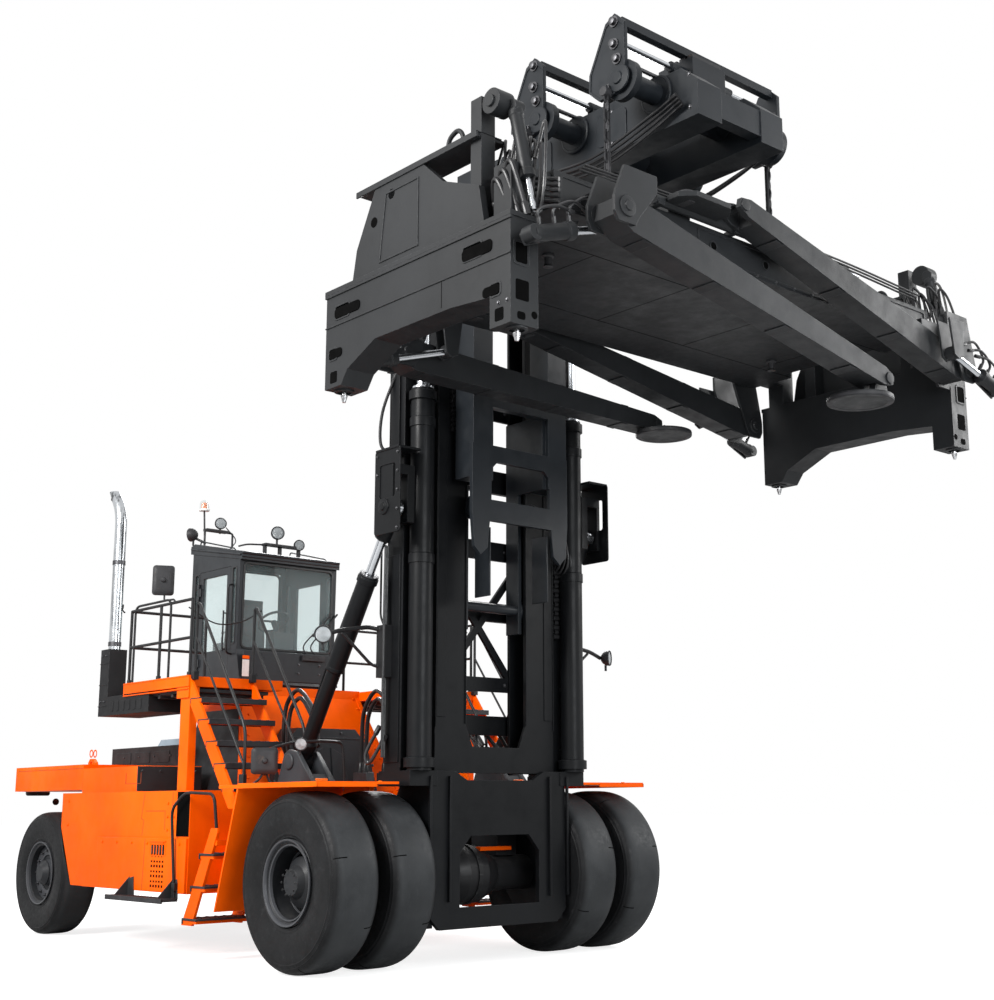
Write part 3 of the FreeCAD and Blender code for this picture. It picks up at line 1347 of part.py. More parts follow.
LEGS = {
    (1, -1): (d.leg_right_dx, d.front_right_y, d.front_right_z, d.front_right_slope),
    (-1, -1): (d.leg_right_dx, d.rear_right_y, d.rear_right_z, d.rear_right_slope),
    (1, 1): (d.leg_left_dx, d.front_left_y, d.front_left_z, d.front_left_slope),
    (-1, 1): (d.leg_left_dx, d.rear_left_y, d.rear_left_z, d.rear_left_slope),
}
cheek_top = d.beam_low + 160
for (sign, side), (plane, hinge_y, hinge_z, slope) in LEGS.items():
    y0 = side * hinge_y
    cheek_in = leg_half + d.cheek_gap
    for a, b in ((plane - cheek_out, plane - cheek_in), (plane + cheek_in, plane + cheek_out)):
        x0 = sp_x + a if sign > 0 else sp_x - b
        x1 = sp_x + b if sign > 0 else sp_x - a
        frame.append(prism("yz", [
            (y0 - side * 90, hinge_z - 130),
            (y0 + side * 90, hinge_z - 130),
            (y0 + side * 130, hinge_z - 60),
            (y0 + side * 130, hinge_z + 60),
            (y0 + side * 20, cheek_top),
            (y0 - side * 330, cheek_top),
            (y0 - side * 330, d.beam_low + 20),
            (y0 - side * 130, hinge_z - 60),
        ], x0, x1))
    # the pin runs through both cheeks, and the outrigger above the leg root carries the inner one
    px0 = sp_x + plane - cheek_out if sign > 0 else sp_x - plane - cheek_out
    frame.append(rod("x", px0, y0, hinge_z, d.leg_pin_r, cheek_out * 2))
    a2, b2 = d.beam_out - 60, plane - cheek_in
    x2 = sp_x + a2 if sign > 0 else sp_x - b2
    x3 = sp_x + b2 if sign > 0 else sp_x - a2
    y2 = y0 - 330 if side > 0 else y0 + 150
    frame.append(box(x2, x3, y2, y2 + 180, d.beam_low + 20, cheek_top))
main_frame = cut(fuse(frame + [belly_plate, centre_box]), tunnels)
node("spreader_frame", main_frame)


# --------------------------------------------------------------------------------------------------
# Telescopic end frames with twistlocks
# --------------------------------------------------------------------------------------------------
def end_frame(lead):
    """A right-hand end: two sliding beams, the girder with its corner feet and the raised end panel."""
    low_x = sp_x - d.end_half
    high_x = sp_x + d.end_half
    girder = prism("xz", [
        (low_x, d.end_high),
        (low_x, d.end_low),
        (low_x + d.corner_w, d.end_low),
        (low_x + d.corner_w + 90, d.end_low + 120),
        (low_x + 720, d.arch_z),
        (high_x - 720, d.arch_z),
        (high_x - d.corner_w, d.end_step - 260),
        (high_x - d.corner_w, d.end_low),
        (high_x, d.end_low),
        (high_x, d.end_high),
    ], -d.end_outer, -d.end_inner)
    slots = []
    for dx0, z0, dx1 in ((140.0, 5620.0, 340.0), (-560.0, 5640.0, -340.0)):
        x0 = (low_x if dx0 > 0 else high_x) + dx0
        x1 = (low_x if dx0 > 0 else high_x) + dx1
        slots.append(box(x0, x1, -(d.end_outer + 10), -(d.end_outer - 120), z0, z0 + 110))
    for x0 in (low_x + 60, high_x - 230):
        slots.append(box(x0, x0 + 110, -(d.end_outer + 10), -(d.end_outer - 120), 5270.0, 5360.0))
    body = [cut(girder, slots)]
    body.append(box(low_x - 12, high_x + 12, -(d.end_outer + 12), -d.end_inner, d.end_high, d.end_high + 40))
    panel = prism("xz", [
        (low_x + 310, d.end_high + 30),
        (low_x + 370, d.end_high + 330),
        (low_x + 640, d.panel_high + 10),
        (low_x + 1270, d.panel_high + 10),
        (low_x + 1560, d.panel_high - 250),
        (low_x + 2010, d.panel_high - 430),
        (low_x + 2080, d.end_high + 30),
    ], -(d.panel_in + 60), -d.panel_in)
    hole = rod("y", low_x + d.sling_eye_dx + d.sling_eye_lead * lead, -(d.panel_in + 80),
               d.panel_high - d.sling_eye_drop, d.sling_eye_r, 120)
    body.append(cut(panel, [hole]))
    body.append(box(low_x + 370, low_x + 1980, -(d.panel_in + 60), -(d.panel_in - 240), d.panel_high,
                    d.panel_high + 30))
    body.append(box(low_x + 1860, low_x + 1990, -(d.panel_in + 20), -(d.panel_in - 120), d.end_high + 30,
                    d.flange_high + 260))
    body.append(box(low_x + 610, low_x + 750, -d.panel_in, -(d.panel_in - 160), d.end_high + 30, d.panel_high))
    slide = d.slide_gap
    for sign in (-1, 1):
        a = d.beam_in + beam_wall + slide
        b = d.beam_mid - beam_wall - slide
        if sign == lead:
            a = d.beam_mid + beam_wall + slide
            b = d.beam_out - beam_wall - slide
        x0 = sp_x + a if sign > 0 else sp_x - b
        x1 = sp_x + b if sign > 0 else sp_x - a
        body.append(box(x0, x1, -(d.panel_in + 10), d.beam_half - 150, d.beam_low + beam_wall + slide,
                        d.beam_high - beam_wall - slide))
        body.append(box(x0, x1, -(d.panel_in + 10), -d.end_inner, d.end_high + 30, d.beam_low + beam_wall + slide + 5))
        for y0 in (-(d.beam_half - 60), d.beam_half - 400):
            body.append(box(x0 + 20, x1 - 20, y0, y0 + 200, d.beam_low + beam_wall + seat_gap,
                            d.beam_low + beam_wall + slide + 5))
            body.append(box(x0 - slide + seat_gap, x1 + slide - seat_gap, y0, y0 + 200, d.beam_low + 100,
                            d.beam_high - 100))
    return fuse(body)


# The two ends are mirror images, but each end's beams use the tunnels that the other end's leave free.
node("end_frame_right", end_frame(1))
node("end_frame_left", mirrored(end_frame(-1)))


def locks(sign):
    items = []
    for side in (-1, 1):
        x = sp_x + d.iso_half_x * side
        y = d.iso_half_y * sign
        neck = rod("z", x, y, d.end_low - 45, d.twist_r * 0.7, 45 - 0.3)
        cone = doc.addObject("Part::Cone", fresh("cone"))
        bind(cone, "Radius1", d.twist_r * 0.45)
        bind(cone, "Radius2", d.twist_r)
        bind(cone, "Height", d.end_low - 40 - d.twist_low)
        place(cone, x, y, d.twist_low)
        items.append(fuse([neck, cone]))
    return pair(items)


node("twistlocks_right", locks(-1))
node("twistlocks_left", locks(1))


# --------------------------------------------------------------------------------------------------
# Folding legs with self-levelling feet
# --------------------------------------------------------------------------------------------------
def leg(sign, side):
    """One folded leg: it starts at its hinge and lies across the machine towards the other side."""
    plane, hinge_y, hinge_z, slope = LEGS[sign, side]
    run = cosine(slope)
    rise = sine(slope)
    y0 = hinge_y * side
    z0 = hinge_z

    def at(s, w):
        """s runs along the leg from the hinge, w is square to it."""
        return (y0 - (run * s - rise * w) * side, z0 + rise * s + run * w)

    length = d.leg_len
    rt = d.leg_root / 2
    tp = d.leg_tip / 2
    outline = [at(130, -rt), at(length - 60, -tp), at(length + 60, -tp * 0.5), at(length + 60, tp * 0.5),
               at(length - 60, tp), at(130, rt), at(-60, 75), at(-60, -75)]
    if side < 0:
        outline = outline[::-1]
    x0 = sp_x + plane - leg_half if sign > 0 else sp_x - plane - leg_half
    blade = prism("yz", outline, x0, x0 + d.leg_w)
    hinge_bore = rod("x", x0 - 10, y0, z0, d.leg_pin_r + pin_gap, d.leg_w + 20)
    foot_y, foot_z = at(length, 0)
    slot = box(x0 + 50, x0 + d.leg_w - 50, foot_y - 140, foot_y + 140, foot_z - 300, foot_z + 300)
    foot_bore = rod("x", x0 - 10, foot_y, foot_z, 30 + pin_gap, d.leg_w + 20)
    return cut(blade, [hinge_bore, slot, foot_bore])


def foot(sign, side):
    """The level pad under a leg's tip: it reaches in from the leg to go under the load's edge."""
    plane, hinge_y, hinge_z, slope = LEGS[sign, side]
    x_mid = sp_x + plane if sign > 0 else sp_x - plane
    foot_y = hinge_y * side - cosine(slope) * d.leg_len * side
    foot_z = hinge_z + sine(slope) * d.leg_len
    if side < 0:
        drop = d.foot_drop_right
        pad_y = foot_y
        pad = rod("z", x_mid - d.foot_in * sign, pad_y, foot_z - drop - d.foot_t, d.foot_r, d.foot_t)
    else:
        drop = d.foot_drop_left
        pad_y = foot_y - d.foot_ahead
        near = pad_y - d.plate_long / 2
        far = pad_y + d.plate_long / 2
        a = x_mid - (d.plate_in if sign > 0 else d.plate_out)
        b = x_mid + (d.plate_out if sign > 0 else d.plate_in)
        pad = prism("xy", [
            (a + d.plate_cut, near), (b - d.plate_cut, near), (b, near + d.plate_cut), (b, far - d.plate_cut),
            (b - d.plate_cut, far), (a + d.plate_cut, far), (a, far - d.plate_cut), (a, near + d.plate_cut),
        ], foot_z - drop - d.foot_t, foot_z - drop)
    tongue = prism("yz", [
        (foot_y - 45, foot_z + 30),
        (pad_y - 110, foot_z - drop - 5),
        (pad_y + 110, foot_z - drop - 5),
        (foot_y + 45, foot_z + 30),
    ], x_mid - 34, x_mid + 34)
    pin = rod("x", x_mid - leg_half - 4, foot_y, foot_z, 30, d.leg_w + 8)
    return fuse([pad, tongue, pin])


for sign, place_name in ((1, "front"), (-1, "rear")):
    for side, side_name in ((-1, "right"), (1, "left")):
        node(f"leg_{place_name}_{side_name}", leg(sign, side))
        node(f"foot_{place_name}_{side_name}", foot(sign, side))

# --------------------------------------------------------------------------------------------------
# Check every object, then write one STEP file per piece
# --------------------------------------------------------------------------------------------------
doc.recompute()
for obj in doc.Objects:
    bad = [state for state in obj.State if state in ("Invalid", "Error")]
    if bad:
        raise RuntimeError(f"{obj.Name} ({obj.Label}): {obj.State}")
os.makedirs("parts", exist_ok=True)
for obj in parts:
    shape = obj.Shape
    if shape.isNull() or not shape.isValid():
        raise RuntimeError(f"{obj.Label}: shape is null or not valid")
    shape.exportStep(f"parts/{obj.Label}.step")
    print(obj.Label, len(shape.Solids), round(shape.Volume / 1e9, 4))
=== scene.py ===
import json
import math
import random

import bmesh
import bpy
from mathutils import Matrix, Vector


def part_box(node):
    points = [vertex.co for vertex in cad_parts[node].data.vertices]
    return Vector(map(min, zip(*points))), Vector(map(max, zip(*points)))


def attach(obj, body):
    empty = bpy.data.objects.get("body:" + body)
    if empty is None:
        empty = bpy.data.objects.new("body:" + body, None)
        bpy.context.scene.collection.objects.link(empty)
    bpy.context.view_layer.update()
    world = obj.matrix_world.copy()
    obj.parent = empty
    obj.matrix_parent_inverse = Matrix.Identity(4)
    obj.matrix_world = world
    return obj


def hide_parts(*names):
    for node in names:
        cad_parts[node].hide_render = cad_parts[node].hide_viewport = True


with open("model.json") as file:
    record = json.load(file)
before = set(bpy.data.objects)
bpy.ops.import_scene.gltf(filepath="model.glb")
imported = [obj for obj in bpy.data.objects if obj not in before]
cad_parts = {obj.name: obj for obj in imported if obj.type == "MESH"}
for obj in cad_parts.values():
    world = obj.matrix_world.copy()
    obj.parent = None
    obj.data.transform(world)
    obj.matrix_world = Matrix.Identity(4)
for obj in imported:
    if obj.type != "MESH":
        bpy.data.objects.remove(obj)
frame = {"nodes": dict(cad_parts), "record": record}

random.seed(7)
bpy.context.scene.view_settings.view_transform = "Standard"
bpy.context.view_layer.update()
nodes = frame["nodes"]
scene = bpy.context.scene

# ---- Camera ----
tyre_lo, tyre_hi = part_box("drive_tyres_right")
AX = (tyre_lo.x + tyre_hi.x) / 2
spread_lo, spread_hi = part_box("spreader_frame")
SPX = (spread_lo.x + spread_hi.x) / 2

# Places that several pieces share, in metres
TILT_FOOT = Vector((AX - 1.05, -1.31, 1.99))
TILT_HEAD = Vector((AX + 0.5, -1.31, 4.44))
LIFT_X, LIFT_Y = AX + 0.58, -1.02
HANG_PLATES = {"rear": AX + 2.45, "front": AX + 3.55}
ROLLER_Z = 7.96
CHAIN_BACK = 0.13
CAB_FACE_X = AX - 3.398
WINDSCREEN_FOOT_Z, WINDSCREEN_RISE = 3.4, 1.1
FENDER_Z = 1.752
PEDESTAL_FOOT_Z, PEDESTAL_RISE = 1.712, 1.218
BELLY_Z = 6.09
BEAM_CYLINDER_Z = 6.44
LEG_LENGTH = 3.4
SPREADER_HALF = 1.219
END_Y = -3.065
LOCK_X, LOCK_Y = 1.1295, -2.9265
SHARP_ANGLE, BEVEL_ANGLE = 0.62, 0.9
MOST_SWELL = 0.018

# Folding legs: name, front (1) or rear (-1) of SPX, distance from SPX, Y and Z of the pin, slope in degrees
LEG_TABLE = (
    ("front_right", 1, 1.65, -2.42, 5.92, -11.6),
    ("rear_right", -1, 1.65, -2.0, 5.66, -1.7),
    ("front_left", 1, 1.37, 2.64, 5.72, 13.7),
    ("rear_left", -1, 1.37, 2.64, 5.68, 8.5),
)

CAM_AT = (AX + 12.108, -9.754, 1.5485)
CAM_YAW, CAM_PITCH, CAM_ROLL, CAM_F = 2.397, 0.2046, -0.0081, 1461.0
CAM_PP = (560.0, 500.0)


def make_camera():
    data = bpy.data.cameras.new("camera")
    cam = bpy.data.objects.new("camera", data)
    scene.collection.objects.link(cam)
    wide, high = 994.0, 1000.0
    data.sensor_fit = "AUTO"
    data.sensor_width = 36.0
    data.lens = CAM_F / high * 36.0
    data.shift_x = (wide / 2 - CAM_PP[0]) / high
    data.shift_y = (CAM_PP[1] - high / 2) / high
    ahead = Vector((math.cos(CAM_PITCH) * math.cos(CAM_YAW), math.cos(CAM_PITCH) * math.sin(CAM_YAW),
                    math.sin(CAM_PITCH)))
    right = ahead.cross(Vector((0, 0, 1))).normalized()
    up = right.cross(ahead)
    r = math.cos(CAM_ROLL) * right + math.sin(CAM_ROLL) * up
    u = -math.sin(CAM_ROLL) * right + math.cos(CAM_ROLL) * up
    turn = Matrix((r, u, -ahead)).transposed()
    cam.matrix_world = Matrix.Translation(Vector(CAM_AT)) @ turn.to_4x4()
    data.clip_end = 400
    scene.camera = cam


make_camera()

# ---- Material kit ----
# Every finish is a node tree in object space, which is the machine's own frame in metres.


def shade(color, share):
    return tuple(c * share for c in color)


class Tree:
    """A material's node tree, with short calls for the nodes that the finishes use."""

    def __init__(self, name):
        self.mat = bpy.data.materials.new(name)
        self.mat.use_nodes = True
        self.nt = self.mat.node_tree
        self.nt.nodes.clear()
        self.out = self.add("ShaderNodeOutputMaterial")
        self.pos = self.add("ShaderNodeTexCoord").outputs["Object"]

    def add(self, kind, **props):
        node = self.nt.nodes.new(kind)
        for key, value in props.items():
            setattr(node, key, value)
        return node

    def put(self, socket, value):
        if isinstance(value, bpy.types.NodeSocket):
            self.nt.links.new(value, socket)
        elif hasattr(socket, "default_value"):
            socket.default_value = value
        return socket

    def noise(self, scale, detail=4.0, rough=0.55, stretch=None):
        node = self.add("ShaderNodeTexNoise")
        place = self.pos
        if stretch:
            mapping = self.add("ShaderNodeMapping")
            self.put(mapping.inputs["Vector"], self.pos)
            mapping.inputs["Scale"].default_value = stretch
            place = mapping.outputs[0]
        self.put(node.inputs["Vector"], place)
        node.inputs["Scale"].default_value = scale
        node.inputs["Detail"].default_value = detail
        node.inputs["Roughness"].default_value = rough
        node.inputs["Distortion"].default_value = 0.0
        return node.outputs["Fac"]

    def ramp(self, value, low, high, a=0.0, b=1.0):
        node = self.add("ShaderNodeMapRange")
        self.put(node.inputs["Value"], value)
        for key, v in (("From Min", low), ("From Max", high), ("To Min", a), ("To Max", b)):
            node.inputs[key].default_value = v
        return node.outputs[0]

    def math(self, op, a, b=0.5):
        node = self.add("ShaderNodeMath", operation=op)
        self.put(node.inputs[0], a)
        self.put(node.inputs[1], b)
        return node.outputs[0]

    def times(self, a, b):
        return self.math("MULTIPLY", a, b)

    def mix(self, fac, a, b):
        node = self.add("ShaderNodeMix", data_type="RGBA")
        self.put(node.inputs["Factor"], fac)
        self.put(node.inputs["A"], a if isinstance(a, bpy.types.NodeSocket) else (*a, 1.0))
        self.put(node.inputs["B"], b if isinstance(b, bpy.types.NodeSocket) else (*b, 1.0))
        return node.outputs["Result"]

    def facing_up(self):
        geo = self.add("ShaderNodeNewGeometry")
        node = self.add("ShaderNodeSeparateXYZ")
        self.put(node.inputs[0], geo.outputs["Normal"])
        return node.outputs["Z"]

    def edge_mask(self, radius):
        """1 on sharp outer edges, 0 on flats."""
        softened = self.soft_edges(radius)
        geo = self.add("ShaderNodeNewGeometry")
        dot = self.add("ShaderNodeVectorMath", operation="DOT_PRODUCT")
        self.put(dot.inputs[0], softened)
        self.put(dot.inputs[1], geo.outputs["Normal"])
        return self.ramp(dot.outputs["Value"], 0.995, 0.85)

    def soft_edges(self, radius):
        bevel = self.add("ShaderNodeBevel", samples=4)
        bevel.inputs["Radius"].default_value = radius
        return bevel.outputs[0]

    def bump(self, height, strength, distance, normal=None):
        node = self.add("ShaderNodeBump")
        node.inputs["Strength"].default_value = strength
        node.inputs["Distance"].default_value = distance
        self.put(node.inputs["Height"], height)
        if normal is not None:
            self.put(node.inputs["Normal"], normal)
        return node.outputs[0]

    def finish(self, color, rough, metal=0.0, normal=None, coat=0.0, spec=0.5, **extra):
        shader = self.add("ShaderNodeBsdfPrincipled")
        self.put(shader.inputs["Base Color"],
                 color if isinstance(color, bpy.types.NodeSocket) else (*color, 1.0))
        self.put(shader.inputs["Roughness"], rough)
        shader.inputs["Metallic"].default_value = metal
        shader.inputs["Coat Weight"].default_value = coat
        shader.inputs["Coat Roughness"].default_value = 0.15
        shader.inputs["Specular IOR Level"].default_value = spec
        for key, value in extra.items():
            shader.inputs[key].default_value = value
        if normal is not None:
            self.put(shader.inputs["Normal"], normal)
        self.put(self.out.inputs["Surface"], shader.outputs[0])
        return self.mat


def paint(name, base, rough=0.42, coat=0.03, worn=(0.16, 0.16, 0.16), wear=0.5, dust=(0.12, 0.115, 0.11),
          dusty=0.25, grain=0.04, edge=0.006, streak=0.25, spec=0.22):
    """Machine paint: tone drift, run-off streaks, dust on top faces, chipped edges and orange peel."""
    t = Tree(name)
    drift = t.noise(0.9, 5)
    dark = shade(base, 0.78)
    light = tuple(min(1.0, c * 1.16) for c in base)
    color = t.mix(t.ramp(drift, 0.35, 0.68), dark, light)
    runs = t.noise(2.2, 6, 0.65, stretch=(3.0, 3.0, 0.35))
    color = t.mix(t.times(t.ramp(runs, 0.55, 0.75), streak), color, shade(base, 0.45))
    top = t.ramp(t.facing_up(), 0.35, 0.95)
    grit = t.ramp(t.noise(5.0, 7, 0.7), 0.42, 0.72)
    color = t.mix(t.times(t.times(top, grit), dusty), color, dust)
    chips = t.times(t.edge_mask(edge), t.ramp(t.noise(26.0, 4, 0.7), 0.45, 0.62))
    color = t.mix(t.times(chips, wear), color, worn)
    r = t.ramp(t.noise(6.0, 6, 0.6), 0.3, 0.75, rough - 0.1, rough + 0.16)
    normal = t.bump(t.noise(220.0, 3, 0.6), grain * 4, 0.0012, t.soft_edges(edge))
    normal = t.bump(t.noise(3.0, 2, 0.4), grain * 2, 0.01, normal)
    return t.finish(color, r, normal=normal, coat=coat, spec=spec)


def cast(name, base, rough=0.6):
    t = Tree(name)
    color = t.mix(t.ramp(t.noise(4.0, 6), 0.35, 0.7), shade(base, 0.7), shade(base, 1.3))
    rust = t.ramp(t.noise(9.0, 7, 0.7), 0.6, 0.74)
    color = t.mix(t.times(rust, 0.35), color, (0.16, 0.09, 0.05))
    normal = t.bump(t.noise(90.0, 5, 0.7), 0.35, 0.003, t.soft_edges(0.008))
    return t.finish(color, t.ramp(t.noise(12.0, 5), 0.3, 0.7, rough - 0.1, rough + 0.15), normal=normal,
                    spec=0.3)


def metal(name, base, rough, smudge=0.2, streaks=False):
    t = Tree(name)
    grime = t.ramp(t.noise(7.0, 6, 0.65), 0.5, 0.78)
    color = t.mix(t.times(grime, smudge), base, shade(base, 0.35))
    # dark vertical streaks, used on the exhaust chrome: soot runs, and a painted reflection of dark
    # surroundings on the pipe
    if streaks:
        runs = t.ramp(t.noise(16.0, 5, 0.6, stretch=(1, 1, 0.06)), 0.5, 0.62)
        color = t.mix(t.times(runs, 0.85), color, shade(base, 0.1))
    fine = t.noise(60.0, 4, 0.6)
    r = t.ramp(fine, 0.3, 0.7, rough - 0.06, rough + 0.14)
    normal = t.bump(fine, 0.05, 0.001, t.soft_edges(0.003))
    return t.finish(color, r, metal=1.0, normal=normal)


def rubber(name, base):
    """Tyre rubber: fine grain, grey scuffs where it runs, dull side walls."""
    t = Tree(name)
    wall = t.mix(t.ramp(t.noise(3.5, 6), 0.35, 0.7), shade(base, 0.75), shade(base, 1.35))
    tread = t.mix(t.ramp(t.noise(2.5, 7, 0.65), 0.35, 0.7), (0.02, 0.0215, 0.023), (0.034, 0.036, 0.038))
    side = t.add("ShaderNodeSeparateXYZ")
    t.put(side.inputs[0], t.add("ShaderNodeTexCoord").outputs["Normal"])
    facing = t.ramp(t.math("ABSOLUTE", side.outputs["Y"]), 0.25, 0.7)
    color = t.mix(facing, tread, wall)
    scuffs = t.ramp(t.noise(14.0, 8, 0.75, stretch=(1, 3, 1)), 0.56, 0.78)
    color = t.mix(t.times(scuffs, 0.3), color, (0.075, 0.075, 0.078))
    r = t.ramp(t.noise(20.0, 6, 0.7), 0.3, 0.7, 0.37, 0.63)
    normal = t.bump(t.noise(160.0, 4, 0.7), 0.22, 0.0015)
    normal = t.bump(t.noise(9.0, 5, 0.6), 0.1, 0.006, normal)
    return t.finish(color, r, normal=normal, spec=0.12)


def plastic(name, base, rough=0.5, grain=0.3, spec=0.35):
    t = Tree(name)
    color = t.mix(t.ramp(t.noise(5.0, 4), 0.35, 0.7), shade(base, 0.85), shade(base, 1.15))
    normal = t.bump(t.noise(300.0, 3, 0.6), grain, 0.0008, t.soft_edges(0.003))
    return t.finish(color, t.ramp(t.noise(18.0, 4), 0.3, 0.7, rough - 0.05, rough + 0.1), normal=normal,
                    spec=spec)


def glass(name, tint, film):
    """Safety glass: a tinted clear sheet with a little dust film."""
    t = Tree(name)
    clear = t.add("ShaderNodeBsdfTransparent")
    clear.inputs["Color"].default_value = (*tint, 1.0)
    gloss = t.add("ShaderNodeBsdfGlossy")
    gloss.inputs["Roughness"].default_value = 0.02
    gloss.inputs["Color"].default_value = (0.9, 0.95, 0.95, 1.0)
    dirt = t.add("ShaderNodeBsdfDiffuse")
    dirt.inputs["Color"].default_value = (0.42, 0.52, 0.53, 1.0)
    fres = t.add("ShaderNodeFresnel")
    fres.inputs["IOR"].default_value = 1.5
    first = t.add("ShaderNodeMixShader")
    t.put(first.inputs[0], t.times(t.ramp(t.noise(4.0, 6, 0.7), 0.1, 0.9, 0.7, 1.0), film))
    t.put(first.inputs[1], clear.outputs[0])
    t.put(first.inputs[2], dirt.outputs[0])
    second = t.add("ShaderNodeMixShader")
    outer = t.math("SUBTRACT", 1.0, t.add("ShaderNodeNewGeometry").outputs["Backfacing"])
    t.put(second.inputs[0], t.times(fres.outputs[0], outer))
    t.put(second.inputs[1], first.outputs[0])
    t.put(second.inputs[2], gloss.outputs[0])
    t.put(t.out.inputs["Surface"], second.outputs[0])
    return t.mat


def fabric(name, base):
    """Woven seat cloth: crossed threads and a soft sheen."""
    t = Tree(name)
    waves = []
    for direction in ("X", "Z"):
        wave = t.add("ShaderNodeTexWave", bands_direction=direction)
        t.put(wave.inputs["Vector"], t.pos)
        wave.inputs["Scale"].default_value = 120.0
        wave.inputs["Distortion"].default_value = 0.6
        waves.append(wave.outputs["Fac"])
    weave = t.times(waves[0], waves[1])
    color = t.mix(weave, shade(base, 0.6), shade(base, 1.5))
    color = t.mix(t.ramp(t.noise(6.0, 5), 0.5, 0.8, 0, 0.3), color, (0.12, 0.12, 0.12))
    return t.finish(color, 0.85, normal=t.bump(weave, 0.4, 0.002), spec=0.2, **{"Sheen Weight": 0.4})


def lamp_glass(name, color):
    t = Tree(name)
    ribs = t.add("ShaderNodeTexWave", bands_direction="Z")
    t.put(ribs.inputs["Vector"], t.pos)
    ribs.inputs["Scale"].default_value = 60.0
    normal = t.bump(ribs.outputs["Fac"], 0.5, 0.003)
    tone = t.mix(t.ramp(t.noise(30.0, 3), 0.3, 0.7), shade(color, 0.8), color)
    return t.finish(tone, 0.12, normal=normal, coat=0.6)


ORANGE = (0.95, 0.104, 0.0003)
MAT = {}


def make_finishes(*rows):
    for name, maker, base, look in rows:
        MAT[name] = maker(name, base, **look)


make_finishes(
    ("body_paint", paint, ORANGE, dict(rough=0.42, coat=0.02, worn=(0.3, 0.06, 0.01), wear=0.35,
                                       dust=(0.66, 0.16, 0.006), dusty=0.25, streak=0.14, spec=0.06)),
    ("chassis_paint", paint, (0.01, 0.01, 0.011), dict()),
    ("engine_iron", cast, (0.07, 0.07, 0.07), dict()),
    ("hood_paint", paint, (0.01, 0.0105, 0.012), dict(rough=0.5, dusty=0.12)),
    ("lid_paint", paint, (0.3, 0.36, 0.42), dict(rough=0.4, dusty=0.2)),
    ("cover_paint", paint, (0.03, 0.033, 0.037), dict(rough=0.5, grain=0.1)),
    ("rail_paint", paint, (0.01, 0.01, 0.011), dict(rough=0.45, wear=0.3)),
    # exhaust chrome: its dark streaks are soot runs and painted reflection
    ("exhaust_chrome", metal, (0.52, 0.54, 0.56), dict(rough=0.2, smudge=0.55, streaks=True)),
    ("muffler_paint", paint, (0.008, 0.008, 0.009), dict(rough=0.6)),
    ("cab_paint", paint, (0.0175, 0.0205, 0.024), dict(rough=0.36, coat=0.06, dusty=0.1)),
    ("cab_glass", glass, (0.945, 0.975, 0.975), dict(film=0.1)),
    ("seat_fabric", fabric, (0.05, 0.052, 0.058), dict()),
    ("console_plastic", plastic, (0.03, 0.03, 0.032), dict()),
    ("axle_paint", paint, (0.01, 0.01, 0.011), dict(rough=0.5)),
    ("tyre_rubber", rubber, (0.0085, 0.0088, 0.0095), dict()),
    ("rim_paint", paint, (0.014, 0.015, 0.017), dict(rough=0.45, dusty=0.3)),
    ("mast_paint", paint, (0.0045, 0.005, 0.0058),
     dict(rough=0.44, spec=0.12, worn=(0.07, 0.07, 0.075), dust=(0.05, 0.05, 0.053), dusty=0.2)),
    ("rod_chrome", metal, (0.6, 0.62, 0.65), dict(rough=0.14)),
    ("carriage_paint", paint, (0.01, 0.0122, 0.015), dict(rough=0.42, worn=(0.13, 0.13, 0.14), dusty=0.2)),
    ("chain_steel", metal, (0.032, 0.032, 0.034), dict(rough=0.55)),
    ("spreader_paint", paint, (0.0125, 0.0135, 0.0148),
     dict(rough=0.48, spec=0.2, worn=(0.14, 0.14, 0.15), wear=0.6, streak=0.35, grain=0.07, dusty=0.2)),
    ("lock_chrome", metal, (0.55, 0.55, 0.56), dict(rough=0.25, smudge=0.5)),
)
for obj in nodes.values():
    for entry in obj.material_slots:
        name = entry.material.name.split(".")[0] if entry.material else ""
        if name not in MAT:
            raise SystemExit(f"{obj.name}: no finish for slot {name!r}")

for sub in frame["record"]["subparts"]:
    for entry in nodes[sub["node"]].material_slots:
        entry.material = MAT[sub["material_slot"]]

# ---- Finishes of the fitted parts, and the record slot listed for each ----
make_finishes(
    ("hose", plastic, (0.012, 0.012, 0.013), dict(rough=0.34, grain=0.15)),
    ("lens", lamp_glass, (0.26, 0.28, 0.29), dict()),
    ("amber", lamp_glass, (0.9, 0.2, 0.015), dict()),
    ("mirror", metal, (0.1, 0.11, 0.12), dict(rough=0.1, smudge=0.3)),
    ("white_plate", plastic, (0.72, 0.72, 0.7), dict(rough=0.4, grain=0.1)),
    # near-black matte: painted shade inside holes, slots, gaps and the exhaust mouth, and the black of dark
    # joint lines
    ("recess", plastic, (0.002, 0.002, 0.002), dict(rough=0.9, spec=0.03)),
    ("bolt", metal, (0.085, 0.085, 0.09), dict(rough=0.4, smudge=0.5)),
    ("grip", cast, (0.02, 0.02, 0.022), dict(rough=0.55)),
    # seam: a darker orange for dark joint lines, also laid in the side creases as painted shade
    ("seam", plastic, (0.2, 0.034, 0.004), dict(rough=0.7)),
    ("rim_edge", paint, (0.045, 0.047, 0.052), dict(rough=0.35, wear=0.5, dusty=0.2)),
    ("clear_dome", glass, (0.92, 0.93, 0.93), dict(film=0.15)),
)
FILED = {"hose": "rail_paint", "lens": "cab_glass", "amber": "cab_glass", "mirror": "rod_chrome",
         "white_plate": "lid_paint", "recess": "muffler_paint", "bolt": "chain_steel", "grip": "rail_paint",
         "seam": "body_paint", "rim_edge": "rim_paint", "clear_dome": "cab_glass"}

# ---- Shape kit ----
AXES = {"xz": (0, 2, 1), "xy": (0, 1, 2), "yz": (1, 2, 0)}


def basis(axis):
    n = Vector(axis).normalized()
    u = n.orthogonal().normalized()
    return n, u, n.cross(u)


